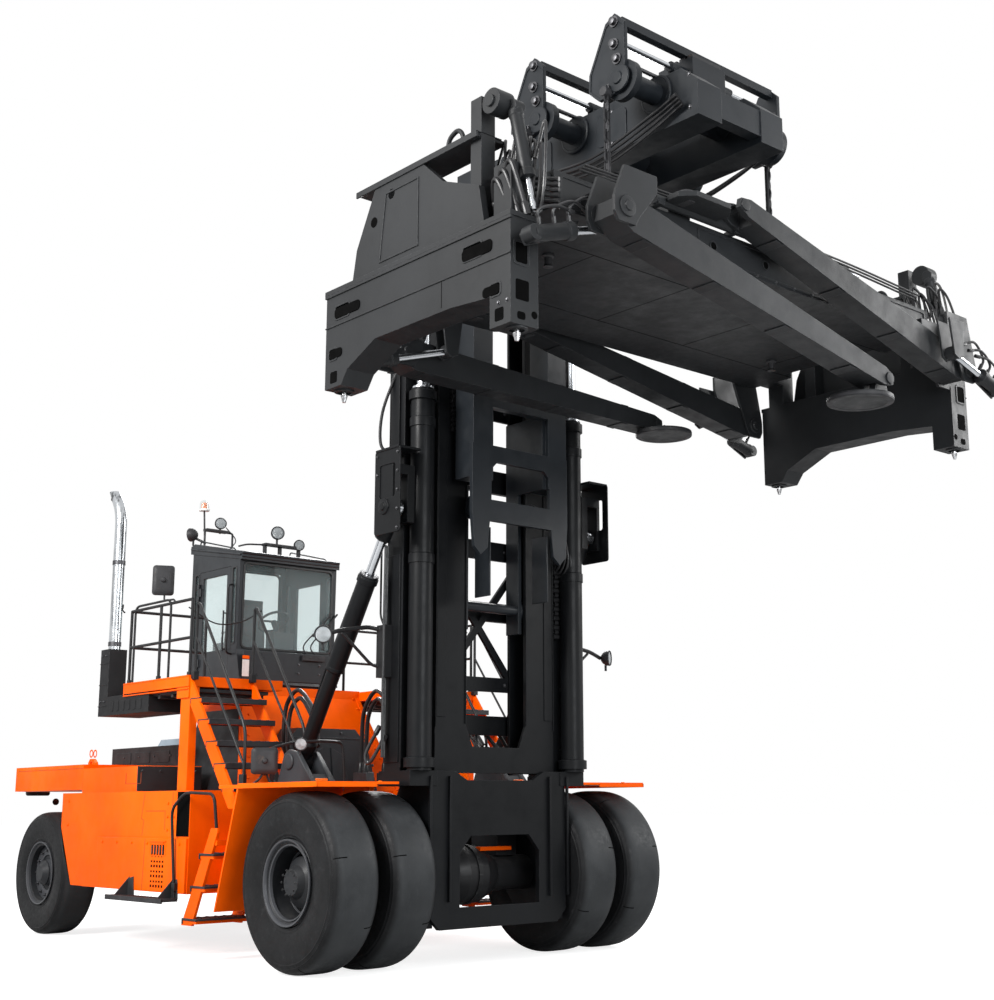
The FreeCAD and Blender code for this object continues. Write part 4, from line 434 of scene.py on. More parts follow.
def flow(points, per=7):
    """A smooth line through the points, as a hose lies."""
    pts = [Vector(p) for p in points]
    pts = [pts[0] * 2 - pts[1]] + pts + [pts[-1] * 2 - pts[-2]]
    line = []
    for i in range(1, len(pts) - 2):
        a, b, c, e = pts[i - 1:i + 3]
        for k in range(per):
            t = k / per
            curve = (2 * a - 5 * b + 4 * c - e) * t * t
            line.append(0.5 * ((2 * b) + (c - a) * t + curve + (3 * b - a - 3 * c + e) * t ** 3))
    line.append(pts[-2])
    return line


def bent(points, radius, cuts=5):
    """Straight runs with each corner rounded, as a bar is bent."""
    pts = [Vector(p) for p in points]
    line = [pts[0]]
    for before, corner, after in zip(pts, pts[1:], pts[2:]):
        back, on = before - corner, after - corner
        reach = min(radius, back.length * 0.48, on.length * 0.48)
        a, b = corner + back.normalized() * reach, corner + on.normalized() * reach
        for k in range(cuts + 1):
            t = k / cuts
            line.append(a * (1 - t) ** 2 + corner * 2 * t * (1 - t) + b * t * t)
    line.append(pts[-1])
    return line


def spokes(u, v, steps):
    """Directions round a centre, in the plane of u and v."""
    turns = [math.tau * k / steps for k in range(steps)]
    return [u * math.cos(a) + v * math.sin(a) for a in turns]


def rounded(x0, x1, z0, z1, r, steps=4):
    """Outline of a rectangle with round corners."""
    points = []
    for cx, cz, start in ((x1 - r, z1 - r, 0), (x0 + r, z1 - r, 90), (x0 + r, z0 + r, 180),
                          (x1 - r, z0 + r, 270)):
        for k in range(steps + 1):
            a = math.radians(start + 90 * k / steps)
            points.append((cx + r * math.cos(a), cz + r * math.sin(a)))
    return points


def lerp(a, b, t):
    return tuple(p + (q - p) * t for p, q in zip(a, b))


class Piece:
    """Gathers shapes of one finish into one mesh; mirror builds it on the other side."""

    def __init__(self, name, body, finish, mirror=False):
        self.name, self.body, self.finish = name, body, finish
        self.bm = bmesh.new()
        self.flip = -1 if mirror else 1

    def vert(self, p):
        return self.bm.verts.new((p[0], p[1] * self.flip, p[2]))

    def loop(self, plane, points, level):
        a, b, c = AXES[plane]
        row = []
        for p in points:
            v = [0.0, 0.0, 0.0]
            v[a], v[b], v[c] = p[0], p[1], level
            row.append(self.vert(v))
        return row

    def skin(self, a, b):
        n = max(len(a), len(b))
        for i in range(n):
            j = (i + 1) % n
            if len(a) == 1:
                self.bm.faces.new((a[0], b[i], b[j]))
            elif len(b) == 1:
                self.bm.faces.new((a[i], a[j], b[0]))
            else:
                self.bm.faces.new((a[i], a[j], b[j], b[i]))

    def loft(self, rows, ends=True):
        """A skin from row to row, with a face on each end."""
        for a, b in zip(rows, rows[1:]):
            self.skin(a, b)
        if ends:
            self.bm.faces.new(rows[0])
            self.bm.faces.new(rows[-1])
        return self

    def prism(self, plane, points, low, high):
        one, two = self.loop(plane, points, low), self.loop(plane, points, high)
        self.bm.faces.new(one)
        self.bm.faces.new(two[::-1])
        self.skin(one, two)
        return self

    def block(self, x0, x1, y0, y1, z0, z1):
        return self.prism("xz", [(x0, z0), (x1, z0), (x1, z1), (x0, z1)], y0, y1)

    def band(self, plane, outer, inner, low, high):
        """A flat frame between two outlines with the same number of points."""
        rows = [self.loop(plane, line, level) for line in (outer, inner) for level in (low, high)]
        self.skin(rows[0], rows[1])
        self.skin(rows[2], rows[3])
        self.skin(rows[0], rows[2])
        self.skin(rows[1], rows[3])
        return self

    def turned(self, start, axis, profile, steps=24, closed=False):
        n, u, v = basis(axis)
        rows = []
        for s, r in profile:
            centre = Vector(start) + n * s
            if r < 1e-6:
                rows.append([self.vert(centre)])
                continue
            rows.append([self.vert(centre + way * r) for way in spokes(u, v, steps)])
        self.loft(rows, ends=False)
        if closed:
            self.skin(rows[-1], rows[0])
        else:
            for end in (rows[0], rows[-1]):
                if len(end) > 2:
                    self.bm.faces.new(end)
        return self

    def rod(self, a, b, r, steps=14):
        span = Vector(b) - Vector(a)
        return self.turned(a, span, [(0, r), (span.length, r)], steps)

    def tube(self, line, r, steps=10):
        """A round section carried along a line without twisting."""
        line = [Vector(p) for p in line]
        u = (line[1] - line[0]).orthogonal().normalized()
        rows = []
        for i, p in enumerate(line):
            t = (line[min(i + 1, len(line) - 1)] - line[max(i - 1, 0)]).normalized()
            u = (u - t * u.dot(t)).normalized()
            v = t.cross(u)
            rows.append([self.vert(p + way * r) for way in spokes(u, v, steps)])
        return self.loft(rows)

    def hose(self, points, r, steps=10, cuff=1.45):
        """A hose with a crimped sleeve on each end."""
        line = flow(points)
        self.tube(line, r, steps)
        for a, b in ((line[0], line[1]), (line[-1], line[-2])):
            way = (b - a).normalized()
            self.turned(a, way, [(-r, r * 0.9), (-r, r * cuff), (r * 4, r * cuff), (r * 4.6, r)], steps)
        return self

    def bolts(self, spots, axis, r=0.013, h=0.011):
        for spot in spots:
            self.turned(spot, axis,
                        [(0, r * 1.5), (h * 0.25, r * 1.5), (h * 0.25, r), (h, r), (h * 1.2, r * 0.7)], 6)
        return self

    def done(self, bevel=0.0, replaces=()):
        bmesh.ops.recalc_face_normals(self.bm, faces=self.bm.faces)
        mesh = bpy.data.meshes.new(self.name)
        self.bm.to_mesh(mesh)
        self.bm.free()
        mesh.shade_smooth()
        mesh.set_sharp_from_angle(angle=SHARP_ANGLE)
        mesh.materials.append(MAT[self.finish])
        obj = bpy.data.objects.new(self.name, mesh)
        scene.collection.objects.link(obj)
        if bevel:
            mod = obj.modifiers.new("edges", "BEVEL")
            mod.width = bevel
            mod.segments = 2
            mod.limit_method = "ANGLE"
            mod.angle_limit = BEVEL_ANGLE
            mod.harden_normals = False
        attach(obj, self.body)
        FILED.get(self.finish, self.finish)
        if replaces:
            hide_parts(*replaces)
        return obj


SIDES = ("right", "left")


def on_side(side, usual="chassis"):
    """A maker of pieces for one side of the machine; those of the left are built as mirror images."""
    def make(name, finish, body=usual):
        return Piece(f"{name}_{side}", body, finish, side == "left")
    return make


OUT, UP, CROSS, AHEAD = (0, -1, 0), (0, 0, 1), (0, 1, 0), (1, 0, 0)

# ---- Wheels ----


def tyre_section(radius, width, bead, steps=26):
    """Half section of a slick tyre, from the bead over the shoulder: (offset from the middle, radius)."""
    half = width / 2
    middle = bead + (radius - bead) * 0.52
    wall = []
    for k in range(steps + 1):
        r = bead - 0.004 + (middle - bead) * k / steps
        swell = math.sin(math.pi / 2 * k / steps) ** 0.6
        ridge = 0.005 if k in (2, 5, 6) else 0.0
        wall.append((half * (0.8 + 0.2 * swell) + ridge, r))
    crown = []
    power = 2 / 4.2
    for k in range(1, steps * 2 + 1):
        a = math.pi / 2 * k / (steps * 2)
        rib = 0.004 if k in (9, 10, 16, 17) else 0.0
        crown.append((half * max(0.0, math.cos(a)) ** power + rib,
                      middle + (radius - middle) * math.sin(a) ** power))
    return wall + crown


def tread_radius(radius, width, bead, offset):
    half = width / 2
    middle = bead + (radius - bead) * 0.52
    share = min(1.0, abs(offset) / half)
    return middle + (radius - middle) * (1 - share ** 4.2) ** (1 / 4.2)


def tyre_pieces(side, label, body, centres, x, radius, width, bead, marks):
    half = tyre_section(radius, width, bead)
    ring = half + [(-s, r) for s, r in reversed(half[:-1])]
    mirror = side == "left"
    skin = Piece(f"{label}_skin", body, "tyre_rubber", mirror)
    # the slots across the tread are near-black patches laid on the rubber: painted shade of the grooves
    cuts = Piece(f"{label}_wear_slot_shade", body, "recess", mirror)
    for y in centres:
        skin.turned((x, y, radius), OUT, ring, 160, closed=True)
        for angle, near, far in marks:
            rows = []
            for k in range(9):
                offset = near + (far - near) * k / 8
                r = tread_radius(radius, width, bead, offset)
                row = []
                for turn, lift in ((-0.009, -0.01), (0.009, -0.01), (0.006, 0.0012), (-0.006, 0.0012)):
                    a = angle + turn
                    row.append(cuts.vert((x + math.sin(a) * (r + lift), y - offset,
                                          radius + math.cos(a) * (r + lift))))
                rows.append(row)
            cuts.loft(rows)
    skin.done(replaces=(label,))
    cuts.done()


def circle(x, y, z, radius, count):
    """Points on a circle round a cross axis."""
    turns = [math.tau * k / count for k in range(count)]
    return [(x + radius * math.cos(a), y, z + radius * math.sin(a)) for a in turns]


def wheels(side):
    make = on_side(side)
    lo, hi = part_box("drive_tyres_right")
    r = (hi.z - lo.z) / 2
    x = (lo.x + hi.x) / 2
    width = 0.52
    outer, inner = lo.y + width / 2, hi.y - width / 2
    marks = []
    for k in range(4):
        marks.append((math.radians(28 + 90 * k), -0.252, -0.12))
        marks.append((math.radians(73 + 90 * k), 0.252, 0.12))
    tyre_pieces(side, f"drive_tyres_{side}", f"drive_wheels_{side}", (outer, inner), x, r, width, 0.4, marks)
    rim = make("drive_rim_edges", "rim_edge", f"drive_wheels_{side}")
    face = outer - width * 0.43
    for deep, profile in (
        (0.0, [(0.0, 0.385), (0.022, 0.402), (0.034, 0.399), (0.03, 0.384), (0.012, 0.372), (0.0, 0.372)]),
        (0.035, [(0.0, 0.345), (0.022, 0.356), (0.032, 0.35), (0.03, 0.338), (0.0, 0.333)]),
        (0.2, [(0.0, 0.3), (0.016, 0.304), (0.02, 0.296), (0.0, 0.288)]),
    ):
        rim.turned((x, face + deep, r), OUT, profile, 96, closed=True)
    rim.done()
    hub = make("drive_hub_studs", "axle_paint", f"drive_wheels_{side}")
    dish = outer + width * 0.12
    for spot in circle(x, dish - 0.005, r, 0.262, 20):
        hub.turned(spot, OUT,
                   [(0, 0.02), (0.006, 0.02), (0.006, 0.015), (0.045, 0.015), (0.048, 0.009), (0.066, 0.009)],
                   8)
    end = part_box("drive_hub_right")[0].y
    hub.bolts(circle(x, end + 0.001, r, 0.115, 10), OUT, 0.009, 0.009)
    hub.done()

    lo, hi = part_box("steer_tyre_right")
    r = (hi.z - lo.z) / 2
    x = (lo.x + hi.x) / 2
    y = (lo.y + hi.y) / 2
    width = hi.y - lo.y
    tyre_pieces(side, f"steer_tyre_{side}", f"steer_wheel_{side}", (y, ), x, r, width, 0.384,
                [(math.radians(20 + 60 * k), -0.21, -0.12) for k in range(6)])
    rim = make("steer_rim_edges", "rim_edge", f"steer_wheel_{side}")
    face = y - width * 0.42
    rim.turned((x, face, r), OUT, [(0.0, 0.368), (0.02, 0.385), (0.031, 0.381), (0.028, 0.366), (0.0, 0.356)],
               96, closed=True)
    rim.turned((x, y - width * 0.2 - 0.002, r), OUT,
               [(0.0, 0.335), (0.016, 0.33), (0.016, 0.218), (0.0, 0.21)], 96, closed=True)
    rim.turned((x, y - width * 0.2 - 0.002, r), OUT,
               [(0.0, 0.165), (0.055, 0.15), (0.06, 0.11), (0.035, 0.1), (0.0, 0.1)], 64, closed=True)
    rim.done()
    hub = make("steer_hub_studs", "bolt", f"steer_wheel_{side}")
    for spot in circle(x, y - width * 0.2 - 0.016, r, 0.27, 12):
        hub.turned(spot, OUT, [(0, 0.021), (0.006, 0.021), (0.006, 0.016), (0.026, 0.016), (0.028, 0.009),
                               (0.04, 0.009)], 8)
    hub.bolts(circle(x, y - width * 0.2 - 0.058, r, 0.125, 8), OUT, 0.008, 0.008)
    hub.done()


# ---- Side boxes, counterweight, hood ----


def pedestal_front(share):
    """X of the sloping front and half its width, at a share of the pedestal's height."""
    return AX - 2.6 - 0.55 * share, 1.1 - 0.3 * share


def body_sides(side):
    make = on_side(side)
    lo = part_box("side_boxes")[0]
    y = lo.y
    seam = make("side_seams", "seam")
    proud = 0.0015

    # thin strips of the darker orange seam finish: painted shade along the creases and panel steps of the box
    # side
    def crease_shade_line(points, w=0.004):
        for (x0, z0), (x1, z1) in zip(points, points[1:]):
            run = Vector((x1 - x0, z1 - z0)).normalized() * w
            seam.prism("xz", [(x0 - run.y, z0 + run.x), (x1 - run.y, z1 + run.x), (x1 + run.y, z1 - run.x),
                              (x0 + run.y, z0 - run.x)], y - proud, y + 0.004)

    crease_shade_line([(AX - 3.1, 1.7), (AX - 3.16, 1.42), (AX - 3.1, 1.4), (AX - 3.13, 1.235)])
    crease_shade_line([(AX - 3.06, 1.5), (AX - 2.62, 1.5), (AX - 2.62, 1.3)], 0.003)
    crease_shade_line([(AX - 2.46, 1.7), (AX - 2.46, 1.235)])
    crease_shade_line([(lo.x + 1.62, 1.92), (lo.x + 1.62, 1.8), (lo.x + 1.98, 1.8), (lo.x + 1.98, 1.92)], 0.003)
    y = lo.y - 0.03
    crease_shade_line([(AX - 2.99, 1.21), (AX - 3.02, 0.66)])
    seam.done()

    # the lower box stands a little proud, and its rear corner runs down behind the steered wheel
    skin = make("side_panel", "body_paint")
    skin.prism("xz", [(AX - 4.16, 1.215), (AX - 4.1, 0.653), (AX - 2.09, 0.653), (AX - 2.09, 1.215)], y,
               y + 0.032)
    skin.prism("xz", [(AX - 5.198, 1.3), (AX - 5.078, 1.021), (AX - 4.549, 0.652), (AX - 4.86, 0.652)], lo.y,
               lo.y + 0.97)
    skin.done(0.006)

    # a near-black block paints the shade in a gap in the box side
    make("side_gap", "recess").block(AX - 2.36, AX - 2.09, lo.y - 0.002, lo.y + 0.01, 1.235, 1.7).done()

    bolts = make("side_bolts", "body_paint")
    spots = [(AX - 2.56 + dx, lo.y, z) for dx in (0.0, 0.14) for z in (1.3, 1.44, 1.58)]
    spots += [(AX - 5.02, lo.y, z) for z in (1.34, 1.62)]
    spots += [(AX - 4.02 + 0.36 * k, y, 1.16) for k in range(6)]
    bolts.bolts(spots, OUT, 0.013, 0.009)
    bolts.done()

    # louvre over a field of square holes, drawn as dark patches of painted shade with a raised lip
    gx = AX - 2.84
    vent_hole_shade = make("side_vent", "recess")
    lip = make("side_vent_lips", "body_paint")
    blades = make("side_vent_blades", "bolt")
    for k in range(5):
        x = gx + 0.062 * k
        vent_hole_shade.prism("xz", rounded(x, x + 0.042, 1.04, 1.145, 0.012), y - 0.002, y + 0.004)
        blades.prism("xy", [(x + 0.004, y - 0.003), (x + 0.026, y - 0.01), (x + 0.03, y - 0.004),
                            (x + 0.008, y - 0.001)], 1.05, 1.135)
    for column in range(5):
        for row in range(6):
            x = gx + 0.005 + 0.062 * column
            z = 0.7 + 0.052 * row
            tall = 0.028 if row % 2 == 0 else 0.02
            vent_hole_shade.prism("xz", rounded(x, x + 0.032, z, z + tall, 0.006), y - 0.002, y + 0.004)
    for k in range(4):
        x = gx + 0.02 + 0.072 * k
        vent_hole_shade.prism("xz", rounded(x, x + 0.016, 1.015, 1.027, 0.005), y - 0.002, y + 0.004)
    lip.prism("xz", rounded(gx - 0.03, gx + 0.33, 1.175, 1.188, 0.006), y - 0.012, y + 0.002)
    lip.band("xz", rounded(gx - 0.03, gx + 0.33, 1.03, 1.16, 0.02),
             rounded(gx - 0.022, gx + 0.322, 1.038, 1.152, 0.016), y - 0.004, y + 0.002)
    vent_hole_shade.done()
    lip.done(0.002)
    blades.done()

    # bent grab bar standing off the side
    bar = make("side_grab_bar", "rail_paint")
    x0 = AX - 2.25
    line = bent([(x0, y - 0.02, 0.6), (x0 - 0.08, y - 0.05, 1.52), (x0 + 0.2, y - 0.05, 1.69),
                 (x0 + 0.8, y - 0.05, 1.67), (x0 + 0.84, y - 0.03, 1.31)], 0.1)
    bar.tube(line, 0.016)
    bar.block(x0 - 0.04, x0 + 0.03, y - 0.04, y + 0.01, 0.68, 0.76)
    bar.done()

    step = make("side_step", "grip")
    x0, x1 = AX - 3.47, AX - 2.19
    step.block(x0, x1, y - 0.2, y - 0.01, 0.575, 0.605)
    step.block(x0, x1, y - 0.205, y - 0.185, 0.56, 0.612)
    for x in (x0 + 0.1, x1 - 0.2):
        step.prism("xz", [(x, 0.6), (x + 0.05, 0.78), (x + 0.16, 0.8), (x + 0.18, 0.6)], y - 0.012, y + 0.004)
        step.prism("yz", [(y - 0.18, 0.6), (y + 0.002, 0.8), (y + 0.002, 0.6)], x + 0.05, x + 0.062)
    for k in range(18):
        x = x0 + 0.03 + (x1 - x0 - 0.06) * k / 17
        step.block(x - 0.008, x + 0.008, y - 0.18, y - 0.03, 0.604, 0.609)
    step.done(0.003)

    # dark cover over the front of the side tank, and a dark plate on the side of the pedestal that paints the
    # shade behind the stairs
    cover = make("tank_front", "hood_paint")
    cover.block(AX - 3.319, AX - 3.305, lo.y + 0.004, -1.205, 1.716, 1.992)
    cover.bolts([(AX - 3.305, lo.y + 0.06 + 0.22 * k, 1.94) for k in range(4)], AHEAD, 0.011)
    cover.done(0.004)
    plate = make("pedestal_side", "hood_paint")
    rows = []
    for out in (-0.001, 0.006):
        row = []
        for back, z in ((True, 1.716), (True, 2.66), (False, 2.66), (False, 1.716)):
            x, wide = pedestal_front((z - PEDESTAL_FOOT_Z) / PEDESTAL_RISE)
            row.append(plate.vert((AX - 3.995 if back else x - 0.07, -wide - out, z)))
        rows.append(row)
        plate.bm.faces.new(row)
    plate.skin(*rows)
    plate.done(0.002)


def counterweight_trim():
    lo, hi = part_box("counterweight")
    seam = Piece("counterweight_seams", "chassis", "seam")
    for y0, y1 in ((lo.y - 0.001, lo.y + 0.01), (hi.y - 0.01, hi.y + 0.001)):
        seam.block(lo.x + 0.4, hi.x - 0.01, y0, y1, 2.0, 2.006)
    seam.done()
    bolts = Piece("counterweight_bolts", "chassis", "bolt")
    for y in (-1.2, -0.4, 0.4, 1.2):
        for z in (1.62, 1.98):
            bolts.turned((lo.x + 0.004, y, z), (-1, 0, 0),
                         [(0, 0.045), (0.01, 0.045), (0.01, 0.03), (0.03, 0.03), (0.034, 0.02)], 12)
    bolts.done()
    lamps = Piece("rear_lamp_bodies", "chassis", "grip")
    lens = Piece("rear_lamp_lenses", "chassis", "amber")
    for s in (-1, 1):
        lamps.prism("yz", rounded(s * 1.45 - 0.16, s * 1.45 + 0.16, 1.7, 1.82, 0.03), lo.x - 0.03,
                    lo.x + 0.01)
        for k in (-1, 1):
            lens.prism("yz",
                       rounded(s * 1.45 + k * 0.075 - 0.06, s * 1.45 + k * 0.075 + 0.06, 1.715, 1.805, 0.02),
                       lo.x - 0.042, lo.x - 0.02)
    lamps.done(0.006)
    lens.done(0.006)
    loops = Piece("tow_eye_collars", "chassis", "body_paint")
    ex = lo.x + 0.11
    for s in (-1, 1):
        for y in (-0.027, 0.027):
            loops.turned((ex, s * 0.76 + y - 0.002, 2.26), CROSS,
                         [(0, 0.036), (0.004, 0.036), (0.004, 0.055), (0, 0.055)], 28, closed=True)
    loops.done()

    lo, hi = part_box("engine_hood")
    trim = Piece("hood_trim", "chassis", "hood_paint")
    for s in (-1, 1):
        y = s * (hi.y + 0.002)
        for x in (lo.x + 0.12, lo.x + 0.62, lo.x + 1.12):
            trim.prism("xz", rounded(x, x + 0.4, lo.z + 0.62, hi.z - 0.06, 0.02), y - 0.004, y + 0.004)
    for k in range(9):
        x = lo.x + 0.2 + 0.07 * k
        trim.block(x, x + 0.03, -0.55, 0.55, hi.z - 0.002, hi.z + 0.012)
    trim.done(0.003)
    pins = Piece("hood_bolts", "chassis", "bolt")
    pins.bolts([(lo.x + 0.34 + 0.4 * k, -hi.y, hi.z - 0.12) for k in range(4)], OUT, 0.012)
    pins.bolts([(lo.x + 0.34 + 0.4 * k, hi.y, hi.z - 0.12) for k in range(4)], CROSS, 0.012)
    pins.done()


# ---- Cab deck, stairs and rails ----


def deck_and_stairs(side):
    make = on_side(side)
    lo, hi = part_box("deck")
    y0 = lo.y
    edge = make("deck_channel", "body_paint")
    top = hi.z
    for low, high in ((-0.004, 0.012), (-0.14, -0.126)):
        edge.block(lo.x - 0.004, hi.x - 0.02, y0 - 0.006, y0 + 0.05, top + low, top + high)
    edge.block(lo.x - 0.012, lo.x + 0.004, y0, -0.9, top - 0.13, top + 0.012)
    edge.done(0.003)
    under = make("deck_underside", "grip")
    under.block(lo.x + 0.02, hi.x - 0.05, y0 + 0.06, -0.98, top - 0.165, top - 0.125)
    for k in range(5):
        x = lo.x + 0.12 + 0.3 * k
        under.block(x, x + 0.05, y0 + 0.06, -0.98, top - 0.2, top - 0.15)
    under.done(0.004)
    grate = make("deck_grating", "grip")
    for k in range(16):
        x = lo.x + 0.06 + (hi.x - lo.x - 0.12) * k / 15
        grate.block(x - 0.01, x + 0.01, y0 + 0.07, -1.0, top - 0.002, top + 0.006)
    grate.done()

    lo_s, hi_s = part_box("stairs")
    treads = make("stair_treads", "grip")
    fall = hi.z - lo_s.z
    foot_x = hi_s.x
    head_x = lo_s.x
    for i in range(1, 6):
        share = i / 6
        x = head_x + (foot_x - head_x) * share - 0.15
        z = hi_s.z - fall * share
        treads.block(x - 0.012, x + 0.232, lo_s.y - 0.004, -1.186, z + 0.001, z + 0.014)
        for edge_x in (x - 0.014, x + 0.222):
            treads.block(edge_x, edge_x + 0.012, lo_s.y - 0.004, -1.186, z - 0.045, z + 0.014)
        for k in range(7):
            yy = lo_s.y + 0.06 + 0.11 * k
            treads.block(x + 0.01, x + 0.21, yy, yy + 0.02, z + 0.012, z + 0.02)
    treads.done(0.003)

    lo_l, hi_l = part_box("side_ladders")
    steps = make("ladder_treads", "grip")
    for i in range(3):
        share = i / 3
        rise = lo_l.z + 0.02 + (hi_l.z - lo_l.z) * share
        foot = lo_l.x + 0.15
        head = hi_l.x - 0.06
        x = foot + (head - foot) * share - 0.11
        steps.block(x - 0.015, x + 0.275, lo_l.y - 0.012, -1.54, rise + 0.03, rise + 0.052)
        steps.block(x - 0.017, x - 0.003, lo_l.y - 0.012, -1.54, rise - 0.006, rise + 0.052)
        for k in range(6):
            yy = lo_l.y + 0.05 + 0.1 * k
            steps.block(x, x + 0.26, yy, yy + 0.02, rise + 0.05, rise + 0.058)
    steps.done(0.004)

    # hand rails that follow the stairs, outside and inside
    rail = make("stair_rails", "rail_paint")
    for y in (lo_s.y + 0.035, -1.235):
        line = bent([(head_x + 0.03, y, hi_s.z + 0.05), (head_x + 0.03, y, hi_s.z + 0.86),
                     (foot_x + 0.02, y, lo_s.z + 0.8), (foot_x + 0.02, y, lo_s.z + 0.3)], 0.12)
        rail.tube(line, 0.017)
        line = bent([(head_x + 0.03, y, hi_s.z + 0.44), (foot_x + 0.02, y, lo_s.z + 0.42)], 0.05)
        rail.tube(line, 0.013)
        rail.block(head_x, head_x + 0.06, y - 0.03, y + 0.03, hi_s.z - 0.02, hi_s.z + 0.07)
        rail.block(foot_x - 0.05, foot_x + 0.04, y - 0.02, y + 0.02, lo_s.z + 0.2, lo_s.z + 0.34)
    rail.done(0.003)

    deck_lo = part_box("handrails")
    extra = make("deck_rail_fittings", "rail_paint")
    hx0, hx1 = deck_lo[0].x, deck_lo[1].x
    top_z = deck_lo[1].z
    for x in (hx0 + 0.026, (hx0 + hx1) / 2, hx1 - 0.026):
        extra.turned((x, y0 + 0.04, top), UP, [(0, 0.045), (0.012, 0.045), (0.012, 0.028), (0.05, 0.026)], 16)
    line = bent([(hx0 + 0.1, y0 + 0.04, top), (hx0 + 0.1, y0 + 0.04, top_z + 0.03),
                 (hx0 + 0.95, y0 + 0.04, top_z + 0.03), (hx0 + 0.95, y0 + 0.04, top)], 0.1)
    extra.tube(line, 0.014)
    chain = flow([(hx1 - 0.1, y0 + 0.04, top_z - 0.1), (hx1 - 0.05, -1.65, top_z - 0.26),
                  (hx1 - 0.02, -1.35, top_z - 0.22), (hx1, -1.1, top_z - 0.08)], 10)
    extra.tube(chain, 0.008, 8)
    extra.done()

# ---- Cab ----


def work_lamp(name, at, aim, radius, body="chassis"):
    """A round work lamp on a bracket, with a ribbed lens."""
    n = Vector(aim).normalized()
    at = Vector(at)
    shell = Piece(name, body, "grip")
    shell.turned(at - n * radius * 0.9, n, [(0, radius * 0.35), (radius * 0.25, radius * 0.72),
                                            (radius * 0.7, radius * 0.98), (radius * 1.15, radius * 1.04),
                                            (radius * 1.25, radius * 0.98), (radius * 1.18, radius * 0.9),
                                            (radius * 1.0, radius * 0.88)], 28)
    shell.tube(bent([at - n * radius * 0.3 + Vector((0, 0, -radius * 0.9)),
                     at - n * radius * 0.3 + Vector((0, 0, -radius * 1.7))], 0.01), radius * 0.16)
    shell.done()
    Piece(f"{name}_lens", body, "lens").turned(at + n * radius * 0.12, n, [(0, radius * 0.9),
                                                                           (radius * 0.12, radius * 0.86),
                                                                           (radius * 0.2, radius * 0.5),
                                                                           (radius * 0.23, 0)], 28).done()


